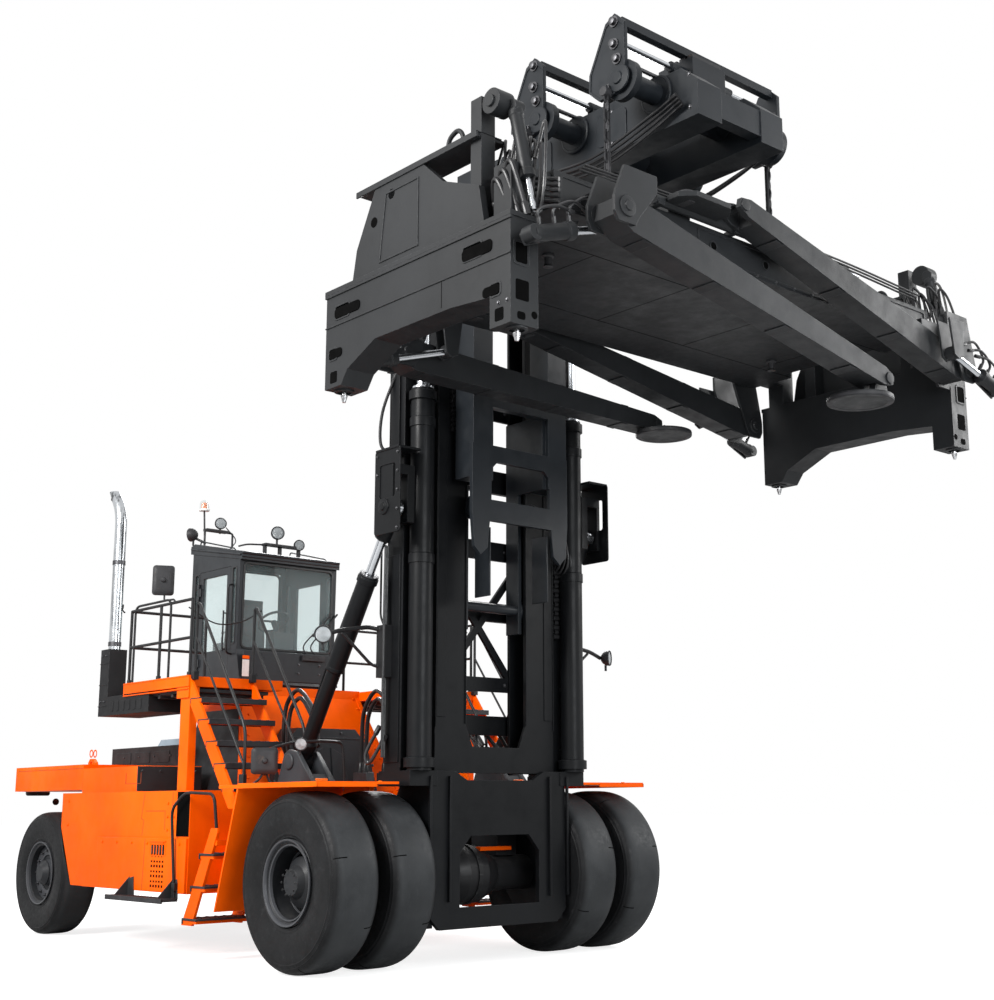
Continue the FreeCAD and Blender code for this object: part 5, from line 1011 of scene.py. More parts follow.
def cab_details():
    lo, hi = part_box("cab_shell")
    half = hi.y
    # window seals on the sides, front and rear
    seal = Piece("window_seals", "chassis", "hose")
    sill_x, brow_x = AX - 3.5, AX - 3.48
    sides = ((-4.56, -4.48), (-3.64, -3.56))
    for s in (-1, 1):
        y0, y1 = (hi.y - 0.006, hi.y + 0.006) if s > 0 else (-hi.y - 0.006, -hi.y + 0.006)
        for a, b in sides:
            seal.band("xz", rounded(AX + a - 0.014, AX + b + 0.014, 3.466, 4.424, 0.03),
                      rounded(AX + a + 0.004, AX + b - 0.004, 3.484, 4.406, 0.02), y0, y1)

    def lean(z):
        """X of the slightly leaning windscreen at a height."""
        return sill_x + (brow_x - sill_x) * (z - WINDSCREEN_FOOT_Z) / WINDSCREEN_RISE

    outer = rounded(-half + 0.05, half - 0.05, 3.41, 4.478, 0.07, 6)
    inner = rounded(-half + 0.075, half - 0.075, 3.435, 4.453, 0.05, 6)
    rows = []
    for points, off in ((outer, -0.004), (outer, 0.01), (inner, 0.01), (inner, -0.004)):
        rows.append([seal.vert((lean(z) + off, y, z)) for y, z in points])
    seal.loft(rows + rows[:1], ends=False)
    seal.band("yz", rounded(-half + 0.1, half - 0.1, 3.41, 4.57, 0.08, 6),
              rounded(-half + 0.13, half - 0.13, 3.44, 4.54, 0.06, 6), lo.x - 0.006, lo.x + 0.008)
    seal.done(0.002)

    trim = Piece("cab_trim", "chassis", "cab_paint")
    for y0, y1 in ((-half - 0.004, -half + 0.02), (half - 0.02, half + 0.004)):
        trim.block(lo.x + 0.06, hi.x + 0.002, y0, y1, lo.z + 0.11, lo.z + 0.125)
    trim.prism("yz", rounded(-half + 0.04, half - 0.04, 3.03, 3.385, 0.03), AX - 3.412, CAB_FACE_X)
    trim.done(0.003)
    brow = Piece("roof_brow", "chassis", "cab_paint")
    rlo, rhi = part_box("cab_roof")
    for k, (drop, deep) in enumerate(((0.0, 0.02), (0.045, 0.014))):
        brow.tube(bent([(rhi.x - 0.004, -half - 0.005, 4.575 - drop),
                        (rhi.x - 0.004, half + 0.005, 4.575 - drop)], 0.01), deep, 10)
    for s in (-1, 1):
        y = s * (half + 0.012)
        brow.tube([(rlo.x + 0.02, y, 4.77), (rhi.x - 0.02, y, 4.55)], 0.014, 10)
        brow.tube(bent([(rlo.x + 0.15, y * 0.93, 4.8), (rlo.x + 0.17, y * 0.93, 4.86),
                        (rhi.x - 0.25, y * 0.93, 4.66), (rhi.x - 0.23, y * 0.93, 4.6)], 0.03), 0.009, 8)
    brow.done()
    bolts = Piece("cab_bolts", "chassis", "bolt")
    bolts.bolts([(CAB_FACE_X, 0.12 + 0.3 * i, 3.14 + 0.11 * k) for i in (0, 1) for k in (0, 1)], AHEAD, 0.012,
                0.008)
    bolts.bolts([(lo.x + 0.12 + 0.5 * k, -half, lo.z + 0.06) for k in range(3)], OUT, 0.01, 0.006)
    bolts.done()

    # wipers park low on the right of the windscreen
    wiper = Piece("wipers", "chassis", "grip")
    for shift in (0.0, 0.13):
        foot = Vector((AX - 3.4, 0.26 + shift, 3.36))
        elbow = Vector((lean(3.5) + 0.05, 0.22 + shift * 0.8, 3.5))
        tip = Vector((lean(3.8) + 0.035, 0.5 + shift * 0.7, 3.78))
        wiper.tube(flow([foot, elbow, tip], 8), 0.009, 8)
        wiper.turned(foot + Vector((-0.01, 0, -0.02)), (1, 0, 0.2),
                     [(0, 0.026), (0.04, 0.026), (0.05, 0.012)], 14)
        wiper.tube([tip + Vector((-0.012, -0.14, -0.16)), tip + Vector((-0.012, 0.13, 0.15))], 0.012, 8)
    wiper.block(AX - 3.4, AX - 3.36, 0.16, 0.48, 3.3, 3.37)
    wiper.done(0.002)

    # grab rails at the front corners of the cab
    rail = Piece("cab_grab_rails", "chassis", "rail_paint")
    x, z0, z1 = AX - 3.62, 3.35, 4.2
    for y, out in ((-half, -0.07), (half, 0.07)):
        rail.tube(bent([(x, y, z0), (x, y + out, z0 + 0.01), (x, y + out, z1 - 0.01), (x, y, z1)], 0.05),
                  0.012)
    rail.done()

    Piece("cab_plates", "chassis", "white_plate").prism("yz", rounded(-half + 0.03, -half + 0.12, 3.07, 3.27,
                                                                      0.006), AX - 3.399, AX - 3.392).done()
    Piece("cab_plate_caps", "chassis", "body_paint").prism("yz", rounded(-half + 0.03, -half + 0.12, 3.28,
                                                                         3.32, 0.006), AX - 3.399,
                                                           AX - 3.392).done()

    # inside: grip of the wheel, levers and a screen
    desk = Piece("cab_controls", "chassis", "console_plastic")
    desk.prism("yz", rounded(-0.62, -0.36, 3.42, 3.62, 0.02), AX - 3.84, AX - 3.78)
    desk.tube(flow([(AX - 3.8, -0.42, 3.1), (AX - 3.82, -0.46, 3.3), (AX - 3.81, -0.49, 3.44)]), 0.016)
    desk.block(AX - 4.5, AX - 4.1, -0.46, -0.3, 3.4, 3.56)
    for k in range(4):
        desk.tube(flow([(AX - 4.42 + 0.08 * k, -0.38, 3.55), (AX - 4.41 + 0.08 * k, -0.385, 3.63),
                        (AX - 4.4 + 0.08 * k, -0.38, 3.68)]), 0.01, 8)
        desk.turned((AX - 4.4 + 0.08 * k, -0.38, 3.68), UP,
                    [(0, 0.012), (0.012, 0.02), (0.034, 0.018), (0.044, 0.0)], 12)
    desk.done(0.006)

    # roof lamps on bars, and the beacon
    bar = Piece("roof_lamp_bar", "chassis", "grip")
    rx, ry = rlo.x + 0.1, -half + 0.22
    top = 4.8
    bar.tube(bent([(rx, ry - 0.1, top - 0.02), (rx, ry - 0.1, 5.03), (rx, ry + 0.3, 5.03),
                   (rx, ry + 0.3, top - 0.02)], 0.03), 0.014)
    bar.tube([(rx, ry - 0.1, 4.9), (rx - 0.04, ry - 0.1, 5.3)], 0.012)
    bar.block(rx - 0.05, rx + 0.05, ry - 0.1, ry + 0.22, 5.02, 5.05)
    bar.tube(bent([(rx, ry - 0.08, 4.86), (rx - 0.12, ry - 0.2, 4.94)], 0.02), 0.016)
    bar.tube(flow([(rx + 0.02, ry + 0.26, 4.82), (rx + 0.05, ry + 0.32, 4.94), (rx, ry + 0.2, 5.1)]), 0.007,
             8)
    mx = rlo.x + 0.78
    bar.block(mx - 0.05, mx + 0.05, -0.12, 0.42, 4.79, 4.82)
    for y in (-0.1, 0.12, 0.4):
        bar.block(mx - 0.02, mx + 0.02, y - 0.02, y + 0.02, 4.64, 4.8)
    bar.tube(bent([(mx, -0.1, 4.8), (mx - 0.1, -0.3, 4.8), (mx - 0.1, -0.42, 4.76)], 0.06), 0.011)
    bar.done(0.003)
    work_lamp("work_lamp_rear_low", (rx - 0.12, ry - 0.22, 4.97), (-0.8, -0.5, -0.05), 0.085)
    work_lamp("work_lamp_rear_high", (rx, ry + 0.12, 5.14), (0.75, -0.25, 0.1), 0.075)
    work_lamp("work_lamp_mid_high", (mx, 0.08, 4.97), (0.8, -0.3, 0.05), 0.085)
    work_lamp("work_lamp_mid_low", (mx + 0.04, 0.38, 4.84), (0.8, -0.2, 0.0), 0.07)
    beacon_x, beacon_y = rx - 0.04, ry - 0.1
    Piece("beacon_dome", "chassis", "clear_dome").turned((beacon_x, beacon_y, 5.31), UP,
                                                         [(0, 0.062), (0.07, 0.062), (0.1, 0.05),
                                                          (0.115, 0.025), (0.12, 0)], 24).done()
    Piece("beacon_lamp", "chassis", "amber").turned((beacon_x, beacon_y, 5.31), UP,
                                                    [(0, 0.04), (0.075, 0.038), (0.085, 0.02), (0.086, 0)],
                                                    20).done()
    Piece("beacon_base", "chassis", "white_plate").turned((beacon_x, beacon_y, 5.285), UP,
                                                          [(0, 0.066), (0.024, 0.07), (0.028, 0.064)],
                                                          24).done()

    arm = Piece("mirror_arm", "chassis", "rail_paint")
    arm_x = AX - 4.0
    deck_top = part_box("handrails")[1].z
    arm.tube(bent([(AX - 3.95, -1.94, deck_top), (AX - 4.02, -1.94, deck_top + 0.04),
                   (arm_x, -1.94, deck_top + 0.06), (arm_x, -1.94, deck_top + 0.1)], 0.02), 0.01)
    arm.done()


def side_mirror(name, body, at, out, wide, tall, arm_points, mirror=False):
    """A round-cornered mirror head on a thin bent arm."""
    at = Vector(at)
    n = Vector(out).normalized()
    head = Piece(name, body, "grip", mirror)
    side = Vector((0, 0, 1)).cross(n).normalized()
    rows = []
    for push, grow in ((-0.03, 0.62), (-0.022, 0.86), (0.0, 1.0), (0.022, 1.0), (0.026, 0.94)):
        ring = rounded(-wide / 2 * grow, wide / 2 * grow, -tall / 2 * grow, tall / 2 * grow, 0.035 * grow)
        rows.append([head.vert(at + n * push + side * a + Vector((0, 0, b))) for a, b in ring])
    head.loft(rows)
    head.turned(at - n * 0.03, -n, [(0, 0.03), (0.02, 0.022), (0.03, 0.0)], 14)
    head.tube(bent(arm_points, 0.05), 0.011)
    head.done()
    pane = Piece(f"{name}_pane", body, "mirror", mirror)
    ring = rounded(-wide / 2 * 0.86, wide / 2 * 0.86, -tall / 2 * 0.88, tall / 2 * 0.88, 0.025)
    rows = [[pane.vert(at + n * push + side * a + Vector((0, 0, b))) for a, b in ring]
            for push in (0.024, 0.0285)]
    pane.loft(rows).done()


def padded_seat():
    """Seat cushion and back, swollen as filled covers and then piped along their edges."""
    parts = (
        ("seat_cushion", [(-3.345, 3.375), (-2.885, 3.375), (-2.872, 3.44), (-2.9, 3.478), (-3.34, 3.47)],
         -0.242, 0.242),
        ("seat_back",
         [(-3.325, 3.492), (-3.235, 3.492), (-3.235, 3.7), (-3.315, 4.178), (-3.402, 4.178), (-3.35, 3.6)],
         -0.232, 0.232),
    )
    for name, outline, y0, y1 in parts:
        pad = Piece(name, "chassis", "seat_fabric")
        pad.prism("xz", outline, y0, y1)
        obj = pad.done()
        obj.modifiers.clear()
        swell(obj)
    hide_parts("seat")
    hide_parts("seat")
    piping = Piece("seat_piping", "chassis", "hose")
    piping.tube(bent([(-3.33, -0.235, 3.43), (-2.885, -0.235, 3.43), (-2.885, 0.235, 3.43),
                      (-3.33, 0.235, 3.43)], 0.06), 0.006, 8)
    piping.tube(bent([(-3.262, -0.225, 3.52), (-3.262, -0.225, 3.72), (-3.33, -0.205, 4.15),
                      (-3.33, 0.205, 4.15), (-3.262, 0.225, 3.72), (-3.262, 0.225, 3.52)], 0.08), 0.006, 8)
    piping.done()


def swell(obj):
    """Fill the cover with air in a short cloth run and keep the result as its mesh."""
    remesh = obj.modifiers.new("voxels", "REMESH")
    remesh.mode = "VOXEL"
    remesh.voxel_size = 0.012
    apply_all(obj)
    start = [v.co.copy() for v in obj.data.vertices]
    cloth = obj.modifiers.new("air", "CLOTH")
    cloth.settings.use_pressure = True
    cloth.settings.uniform_pressure_force = 4.0
    cloth.settings.effector_weights.gravity = 0.0
    cloth.settings.tension_stiffness = 20
    cloth.settings.quality = 5
    cloth.point_cache.frame_start = 1
    cloth.point_cache.frame_end = 20
    for frame_no in range(1, 21):
        scene.frame_set(frame_no)
    apply_all(obj)
    for vert, was in zip(obj.data.vertices, start):
        move = vert.co - was
        if move.length > MOST_SWELL:
            vert.co = was + move.normalized() * MOST_SWELL
    scene.frame_set(1)
    obj.modifiers.new("smooth", "SUBSURF").levels = 1


def apply_all(obj):
    bpy.context.view_layer.update()
    graph = bpy.context.evaluated_depsgraph_get()
    mesh = bpy.data.meshes.new_from_object(obj.evaluated_get(graph))
    mesh.materials.clear()
    mesh.materials.append(MAT["seat_fabric"])
    obj.modifiers.clear()
    obj.data = mesh
    mesh.shade_smooth()


# ---- Front of the chassis: fenders, cover, hoses, tilt cylinders ----


def front_side(side):
    make = on_side(side)
    lo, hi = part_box("fenders")
    y_out = lo.y
    foot_x, foot_z = TILT_FOOT.x, TILT_FOOT.z
    boss = [(0, 0.085), (0.018, 0.08), (0.022, 0.055), (0.022, 0.0)]
    rim = make("fender_lips", "body_paint")
    rim.block(lo.x + 0.02, hi.x + 0.006, y_out - 0.004, y_out + 0.012, 1.715, FENDER_Z)
    rim.block(hi.x - 0.008, hi.x + 0.006, y_out, -1.47, 1.715, FENDER_Z)
    for k in range(6):
        x = AX - 0.75 + 0.3 * k
        rim.turned((x, -1.6, 1.75), UP, [(0, 0.03), (0.006, 0.03), (0.006, 0.02), (0.016, 0.018)], 12)
    rim.done(0.003)
    # bracket around the tilt cylinder foot
    seat = make("tilt_foot_castings", "cover_paint")
    for y0, y1 in ((-1.453, -1.397), (-1.223, -1.167)):
        seat.prism("xz", [(foot_x - 0.24, FENDER_Z), (foot_x + 0.46, FENDER_Z), (foot_x + 0.13, 2.085),
                          (foot_x - 0.02, 2.115), (foot_x - 0.11, 2.075)], y0, y1)
    seat.prism("xz", [(foot_x - 0.22, FENDER_Z), (foot_x + 0.44, FENDER_Z), (foot_x + 0.32, 1.86),
                      (foot_x - 0.18, 1.86)], -1.4, -1.22)
    seat.turned((foot_x, -1.455, foot_z), OUT, boss, 28)
    seat.turned((foot_x, -1.165, foot_z), CROSS, boss, 28)
    seat.done(0.012)
    make("side_reflectors", "amber").prism("yz", rounded(-1.4, -1.25, 1.775, 1.815, 0.012), foot_x + 0.395,
                                           foot_x + 0.41).done(0.003)
    # arms of the lamp and the mirror on the fender
    bar = make("fender_lamp_bars", "rail_paint")
    bar.tube(bent([(AX - 0.66, -1.97, 2.06), (AX - 0.66, -1.9, 2.11), (AX - 0.66, -1.66, 2.17),
                   (AX - 0.66, -1.3, 2.19), (AX - 0.64, -1.08, 2.18), (AX - 0.62, -1.06, FENDER_Z)], 0.07),
             0.015)
    bar.tube(bent([(AX - 0.72, -2.08, FENDER_Z), (AX - 0.66, -2.04, 1.8), (AX - 0.66, -2.0, 1.86)], 0.03),
             0.012)
    bar.tube(bent([(AX - 0.62, -1.92, FENDER_Z), (AX - 0.64, -1.95, 1.8), (AX - 0.64, -1.97, 1.86)], 0.03),
             0.012)
    bar.turned((AX - 0.72, -1.6, 2.14), AHEAD, [(0, 0.03), (0.03, 0.05)], 16)
    bar.done()


def tilt_cylinder_details(side):
    """Gland, sleeve and end caps drawn along each cylinder."""
    make = on_side(side)
    base, head = TILT_FOOT, TILT_HEAD
    way = (head - base).normalized()
    barrel = make("tilt_barrel_caps", "mast_paint", f"tilt_barrel_{side}")
    barrel.turned(base + way * 2.075, way, [(0, 0.102), (0.0, 0.108), (0.055, 0.108), (0.062, 0.1),
                                            (0.08, 0.1), (0.082, 0.06), (0.082, 0.05)], 36)
    barrel.turned(base + way * 1.06, way, [(0, 0.077), (0.02, 0.099), (0.05, 0.099), (0.06, 0.096)], 36)
    barrel.turned(base + way * 0.13, way, [(0, 0.085), (0.05, 0.1), (0.1, 0.1), (0.13, 0.078)], 36)
    barrel.tube(flow([base + way * 0.3 + Vector((-0.09, -0.02, 0.0)),
                      base + way * 1.1 + Vector((-0.125, -0.02, 0.02)),
                      base + way * 1.95 + Vector((-0.12, -0.02, 0.02))]), 0.014)
    barrel.done()
    make("tilt_barrel_rings", "bolt", f"tilt_barrel_{side}").turned(base + way * 2.15, way,
                                                                    [(0, 0.098), (0.016, 0.098),
                                                                     (0.018, 0.05), (0, 0.05)], 36,
                                                                    closed=True).done()
    make("tilt_rod_caps", "mast_paint", f"tilt_rod_{side}").turned(head - way * 0.36, way,
                                                                   [(0, 0.046), (0.02, 0.08), (0.16, 0.088),
                                                                    (0.26, 0.082), (0.28, 0.05)], 28).done()


def cover_and_hoses():
    lo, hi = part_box("front_cover")
    x = hi.x
    cover = Piece("cover_creases", "chassis", "cover_paint")
    for s in (-1, 1):
        cover.prism("yz", [(s * 0.1, lo.z + 0.02), (s * 0.34, lo.z + 0.02), (s * 0.22, hi.z - 0.3),
                           (s * 0.06, hi.z - 0.22)], x - 0.002, x + 0.014)
    cover.prism("yz", [(-0.6, hi.z - 0.12), (0.6, hi.z - 0.12), (0.57, hi.z - 0.1), (-0.57, hi.z - 0.1)],
                x - 0.002, x + 0.008)
    cover.done(0.008)
    bolts = Piece("cover_bolts", "chassis", "bolt")
    spots = [(x, s * yy, zz) for s in (-1, 1) for yy, zz in ((0.52, hi.z - 0.06), (0.6, hi.z - 0.22),
                                                             (0.66, lo.z + 0.3), (0.7, lo.z + 0.1),
                                                             (0.2, hi.z - 0.05))]
    bolts.bolts(spots, AHEAD, 0.014, 0.012)
    bolts.done()
    plo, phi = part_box("cab_pedestal")
    seam = Piece("pedestal_edges", "chassis", "body_paint")
    high_x = pedestal_front(1)[0]
    for s in (-1, 1):
        rows = []
        for z in (plo.z + 0.27, phi.z):
            fx, half = pedestal_front((z - PEDESTAL_FOOT_Z) / PEDESTAL_RISE)
            rows.append([seam.vert((fx + out, s * (half - inset), z)) for out,
                         inset in ((-0.05, -0.008), (0.01, -0.008), (0.01, 0.05), (-0.05, 0.05))])
        seam.loft(rows)
    seam.block(high_x - 0.3, high_x + 0.045, -0.83, 0.83, phi.z - 0.1, phi.z + 0.004)
    spots = []
    for k in range(9):
        share = 0.12 + 0.8 * k / 8
        fx, half = pedestal_front(share)
        for s in (-1, 1):
            spots.append((fx + 0.002, s * (half - 0.09), PEDESTAL_FOOT_Z + PEDESTAL_RISE * share))
    seam.bolts(spots, (1, 0, 0.45), 0.012, 0.01)
    seam.done(0.004)
    # two big hose loops in front of the cover on each side
    hoses = Piece("drive_hoses", "chassis", "hose")
    for s in (-1, 1):
        for k in range(2):
            g = 0.09 * k
            hoses.hose([(AX - 1.9 + g, s * 0.94, 1.96), (AX - 1.9 + g, s * 1.0, 2.25),
                        (AX - 1.86 + g, s * 1.0, 2.62 - g * 0.6), (AX - 1.64 + g * 0.6, s * 1.0, 2.78 - g),
                        (AX - 1.36, s * 1.02, 2.62 - g), (AX - 1.18, s * 1.06, 2.42 - g),
                        (AX - 1.06, s * 1.12, 2.22 - g * 0.5)], 0.024, 10)
            hoses.hose([(AX - 1.62 + g, -s * 0.16, 1.9), (AX - 1.6 + g, -s * 0.17, 2.25),
                        (AX - 1.52 + g, -s * 0.2, 2.58 - g * 0.5), (AX - 1.25 + g * 0.5, -s * 0.24, 2.78 - g),
                        (AX - 0.95, -s * 0.3, 2.62 - g), (AX - 0.72 - g * 0.5, -s * 0.36, 2.2),
                        (AX - 0.62 - g, -s * 0.4, 1.8)], 0.024, 10)
    hoses.done()
    nuts = Piece("hose_blocks", "chassis", "bolt")
    for s in (-1, 1):
        for k in range(2):
            nuts.turned((AX - 1.9 + 0.09 * k, s * 0.94, 1.9), UP,
                        [(0, 0.045), (0.05, 0.045), (0.05, 0.034), (0.08, 0.034)], 6)
        nuts.block(AX - 1.98, AX - 1.74, s * 0.94 - 0.05, s * 0.94 + 0.05, 1.8, 1.9)
        nuts.block(AX - 1.7, AX - 1.44, s * 0.16 - 0.05, s * 0.16 + 0.05, 1.8, 1.9)
    nuts.done(0.004)


# ---- Exhaust ----


def exhaust():
    lo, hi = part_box("exhaust_stack")
    y = (lo.y + hi.y) / 2
    r = (hi.y - lo.y) / 2
    x = hi.x - r
    tip = Piece("stack_pipe", "chassis", "exhaust_chrome")
    line = [Vector((x, y, lo.z))]
    line += bent([(x, y, lo.z + 0.1), (x, y, hi.z - 0.3), (x - 0.2, y, hi.z - 0.02)], 0.3, 10)
    rows = []
    u = Vector((0, 1, 0))
    for i, p in enumerate(line):
        t = (line[min(i + 1, len(line) - 1)] - line[max(i - 1, 0)]).normalized()
        v = t.cross(u)
        rows.append([tip.vert(p + way * r) for way in spokes(u, v, 36)])
    last = rows[-1]
    for vert in last:
        vert.co.z += (x - 0.2 - vert.co.x) * 0.55
    inner = []
    centre = sum((v.co for v in last), Vector()) / len(last)
    for vert in last:
        inner.append(tip.bm.verts.new(centre + (vert.co - centre) * 0.93))
    deep = []
    for vert in inner:
        deep.append(tip.bm.verts.new(vert.co + Vector((0.1, 0, -0.16))))
    rows += [inner, deep]
    tip.loft(rows, ends=False)
    tip.bm.faces.new(rows[0])
    tip.done(replaces=("exhaust_stack",))
    # near-black disc inside the pipe mouth: soot and painted shade
    soot_and_shade = Piece("stack_soot_and_shade", "chassis", "recess")
    n = Vector((-0.55, 0, 0.83)).normalized()
    soot_and_shade.turned(Vector((x - 0.17, y, hi.z - 0.1)), n, [(0, r * 0.9), (0.004, r * 0.9)], 24)
    soot_and_shade.done()
    clamp = Piece("stack_clamps", "chassis", "bolt")
    for z in (lo.z + 0.72, lo.z + 1.7):
        clamp.turned((x, y, z), UP, [(0, r), (0, r + 0.006), (0.05, r + 0.006), (0.05, r)], 32)
    clamp.done()
    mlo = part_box("muffler")[0]
    trim = Piece("muffler_trim", "chassis", "muffler_paint")
    for z in (2.7, 2.95, 3.2):
        trim.block(mlo.x - 0.006, mlo.x + 0.2, mlo.y - 0.006, mlo.y + 0.2, z, z + 0.012)
    for k in range(6):
        xx = mlo.x + 0.3 + 0.14 * k
        trim.prism("xz", rounded(xx, xx + 0.08, mlo.z + 0.04, mlo.z + 0.16, 0.02), mlo.y - 0.006,
                   mlo.y + 0.004)
    trim.done(0.003)
    Piece("muffler_bolts", "chassis", "bolt").bolts([(mlo.x + 0.05 + 0.09 * i, mlo.y - 0.001, z)
                                                     for i in (0, 1) for z in (2.76, 3.3)], OUT, 0.01).done()


# ---- Mast ----


def chain_strip(piece, top, bottom, wide, pitch):
    """A leaf chain seen edge on: stacked plates on pins."""
    (x, y, z1), (_, _, z0) = top, bottom
    count = int((z1 - z0) / pitch)
    for k in range(count):
        z = z0 + pitch * k
        shift = wide * 0.16 if k % 2 else -wide * 0.16
        piece.prism("xz", rounded(x - wide * 0.34 + shift * 0.2, x + wide * 0.34 + shift * 0.2,
                                  z - pitch * 0.42, z + pitch * 0.62, pitch * 0.4, 2),
                    y - wide / 2 + (0.012 if k % 2 else 0.0), y + wide / 2 - (0.012 if k % 2 else 0.0))
        piece.rod((x, y - wide / 2 - 0.006, z), (x, y + wide / 2 + 0.006, z), pitch * 0.14, 8)


def mast_details():
    x0, x1 = AX + 0.19, AX + 0.44
    for side in SIDES:
        make = on_side(side, "mast")
        trim = make("mast_rail_trim", "mast_paint")
        trim.block(x1 - 0.004, x1 + 0.012, -1.15, -1.138, 1.9, 6.19)
        trim.block(x0 - 0.004, x1 + 0.004, -1.156, -1.149, 6.14, 6.2)
        trim.block(x0 + 0.02, x1 - 0.02, -1.162, -1.149, 1.95, 4.0)
        trim.block(x0 + 0.06, x1 - 0.06, -1.17, -1.149, 5.0, 6.1)
        # box bracket that guards the head of the tilt cylinder
        trim.band("xz", rounded(AX + 0.34, AX + 0.76, 4.16, 5.02, 0.03),
                  rounded(AX + 0.42, AX + 0.68, 4.52, 4.86, 0.03), -1.43, -1.415)
        trim.turned((TILT_HEAD.x, -1.43, TILT_HEAD.z), OUT,
                    [(0, 0.085), (0.014, 0.08), (0.018, 0.045), (0.03, 0.04), (0.032, 0)], 28)
        trim.block(AX + 0.36, AX + 0.74, -1.44, -1.16, 5.005, 5.03)
        trim.done(0.004)
        bolts = make("mast_bolts", "bolt")
        spots = [(AX + 0.38 + 0.34 * i, -1.432, 4.2 + 0.19 * k) for i in (0, 1)
                 for k in range(5) if not (k < 3 and i == 0)]
        bolts.bolts(spots, OUT, 0.012)
        bolts.bolts([(x1, -0.98, 2.1 + 0.65 * k) for k in range(7)], AHEAD, 0.014)
        bolts.done()
        # leaf chain and hoses beside the lift cylinder
        chain = make("lift_chains", "chain_steel")
        chain_strip(chain, (AX + 0.5, -0.86, 6.1), (AX + 0.5, -0.86, 3.3), 0.075, 0.05)
        chain.done()
        collar = make("lift_collars", "mast_paint")
        for z, grow in ((5.58, 0.022), (5.3, 0.012), (3.9, 0.01), (1.9, 0.03)):
            collar.turned((LIFT_X, LIFT_Y, z), UP,
                          [(0, 0.122), (0.0, 0.122 + grow), (0.09, 0.122 + grow), (0.1, 0.122)], 40)
        collar.done()
        make("lift_gland_rings", "rod_chrome").turned((LIFT_X, LIFT_Y, 5.7), UP,
                                                      [(0, 0.118), (0.02, 0.116), (0.026, 0.094),
                                                       (0.026, 0.082), (0.0, 0.082)], 40, closed=True).done()
        pipe = make("mast_pipes", "hose")
        for k in range(3):
            y = -1.19 - 0.03 * k
            pipe.tube(flow([(AX + 0.24 + 0.02 * k, y, 2.0), (AX + 0.24 + 0.02 * k, y, 3.2),
                            (AX + 0.25 + 0.02 * k, y, 4.1)]), 0.011, 8)
        pipe.hose([(AX + 0.3, -1.16, 5.9), (AX + 0.2, -1.25, 5.5), (AX + 0.22, -1.28, 5.15),
                   (AX + 0.3, -1.2, 5.05)], 0.016)
        pipe.hose([(AX + 0.24, -1.18, 2.2), (AX + 0.12, -1.28, 1.95), (AX + 0.02, -1.25, 2.05),
                   (AX + 0.02, -1.1, 2.3)], 0.018)
        pipe.done()
    lamp_arm = Piece("mast_lamp_arms", "mast", "rail_paint")
    for s in (-1, 1):
        lamp_arm.tube(bent([(AX + 0.22, s * 1.16, 3.24), (AX + 0.16, s * 1.34, 3.28),
                            (AX + 0.16, s * 1.7, 3.22), (AX + 0.16, s * 1.86, 3.16)], 0.05), 0.022)
        lamp_arm.tube(bent([(AX + 0.22, s * 1.16, 2.88), (AX + 0.16, s * 1.3, 2.9),
                            (AX + 0.16, s * 1.66, 3.2)], 0.06), 0.016)
        lamp_arm.tube(bent([(AX + 0.2, s * 1.175, 3.28), (AX + 0.12, s * 1.175, 3.4),
                            (AX + 0.12, s * 1.175, 4.12), (AX + 0.22, s * 1.165, 4.16)], 0.05), 0.011)
        lamp_arm.block(AX + 0.16, AX + 0.3, s * 1.2 - 0.05, s * 1.2 + 0.05, 2.78, 3.3)
    lamp_arm.done(0.003)

    # stiffeners of the lower plate, hoses behind it and the orange stop beside the differential
    plate = Piece("mast_foot_plate", "mast", "mast_paint")
    for s in (-1, 1):
        for y in (s * 0.66, s * 0.9):
            plate.block(AX + 0.6, AX + 0.632, y - 0.012, y + 0.012, 0.62, 1.82)
    plate.done(0.004)
    hoses = Piece("mast_foot_hoses", "mast", "hose")
    for k in range(4):
        s = -1 if k % 2 else 1
        y = 0.3 + 0.05 * k
        hoses.hose([(AX + 0.1, s * (y + 0.25), 1.95), (AX - 0.02, s * y, 2.28 + 0.05 * k),
                    (AX, s * (y - 0.22), 2.3 + 0.04 * k), (AX + 0.1, s * (y - 0.3), 1.98)], 0.02)
    hoses.done()
    stop = Piece("axle_stop", "chassis", "body_paint")
    stop.prism("xy",
               [(AX + 0.1, 0.12), (AX + 0.14, 0.5), (AX + 0.19, 0.5), (AX + 0.19, 0.08), (AX + 0.1, 0.08)],
               1.075, 1.115)
    stop.block(AX + 0.02, AX + 0.12, 0.08, 0.16, 1.03, 1.115)
    stop.done(0.006)
    diff = Piece("differential_ribs", "chassis", "axle_paint")
    for k in range(10):
        a = math.tau * k / 10
        c, q = math.cos(a), math.sin(a)
        diff.rod((AX + 0.292 * c, -0.02, 0.84 + 0.292 * q), (AX + 0.292 * c, 0.02, 0.84 + 0.292 * q), 0.016,
                 10)
    diff.turned((AX, -0.022, 0.84), CROSS, [(0, 0.285), (0, 0.306), (0.044, 0.306), (0.044, 0.285)], 48,
                closed=True)
    diff.done()


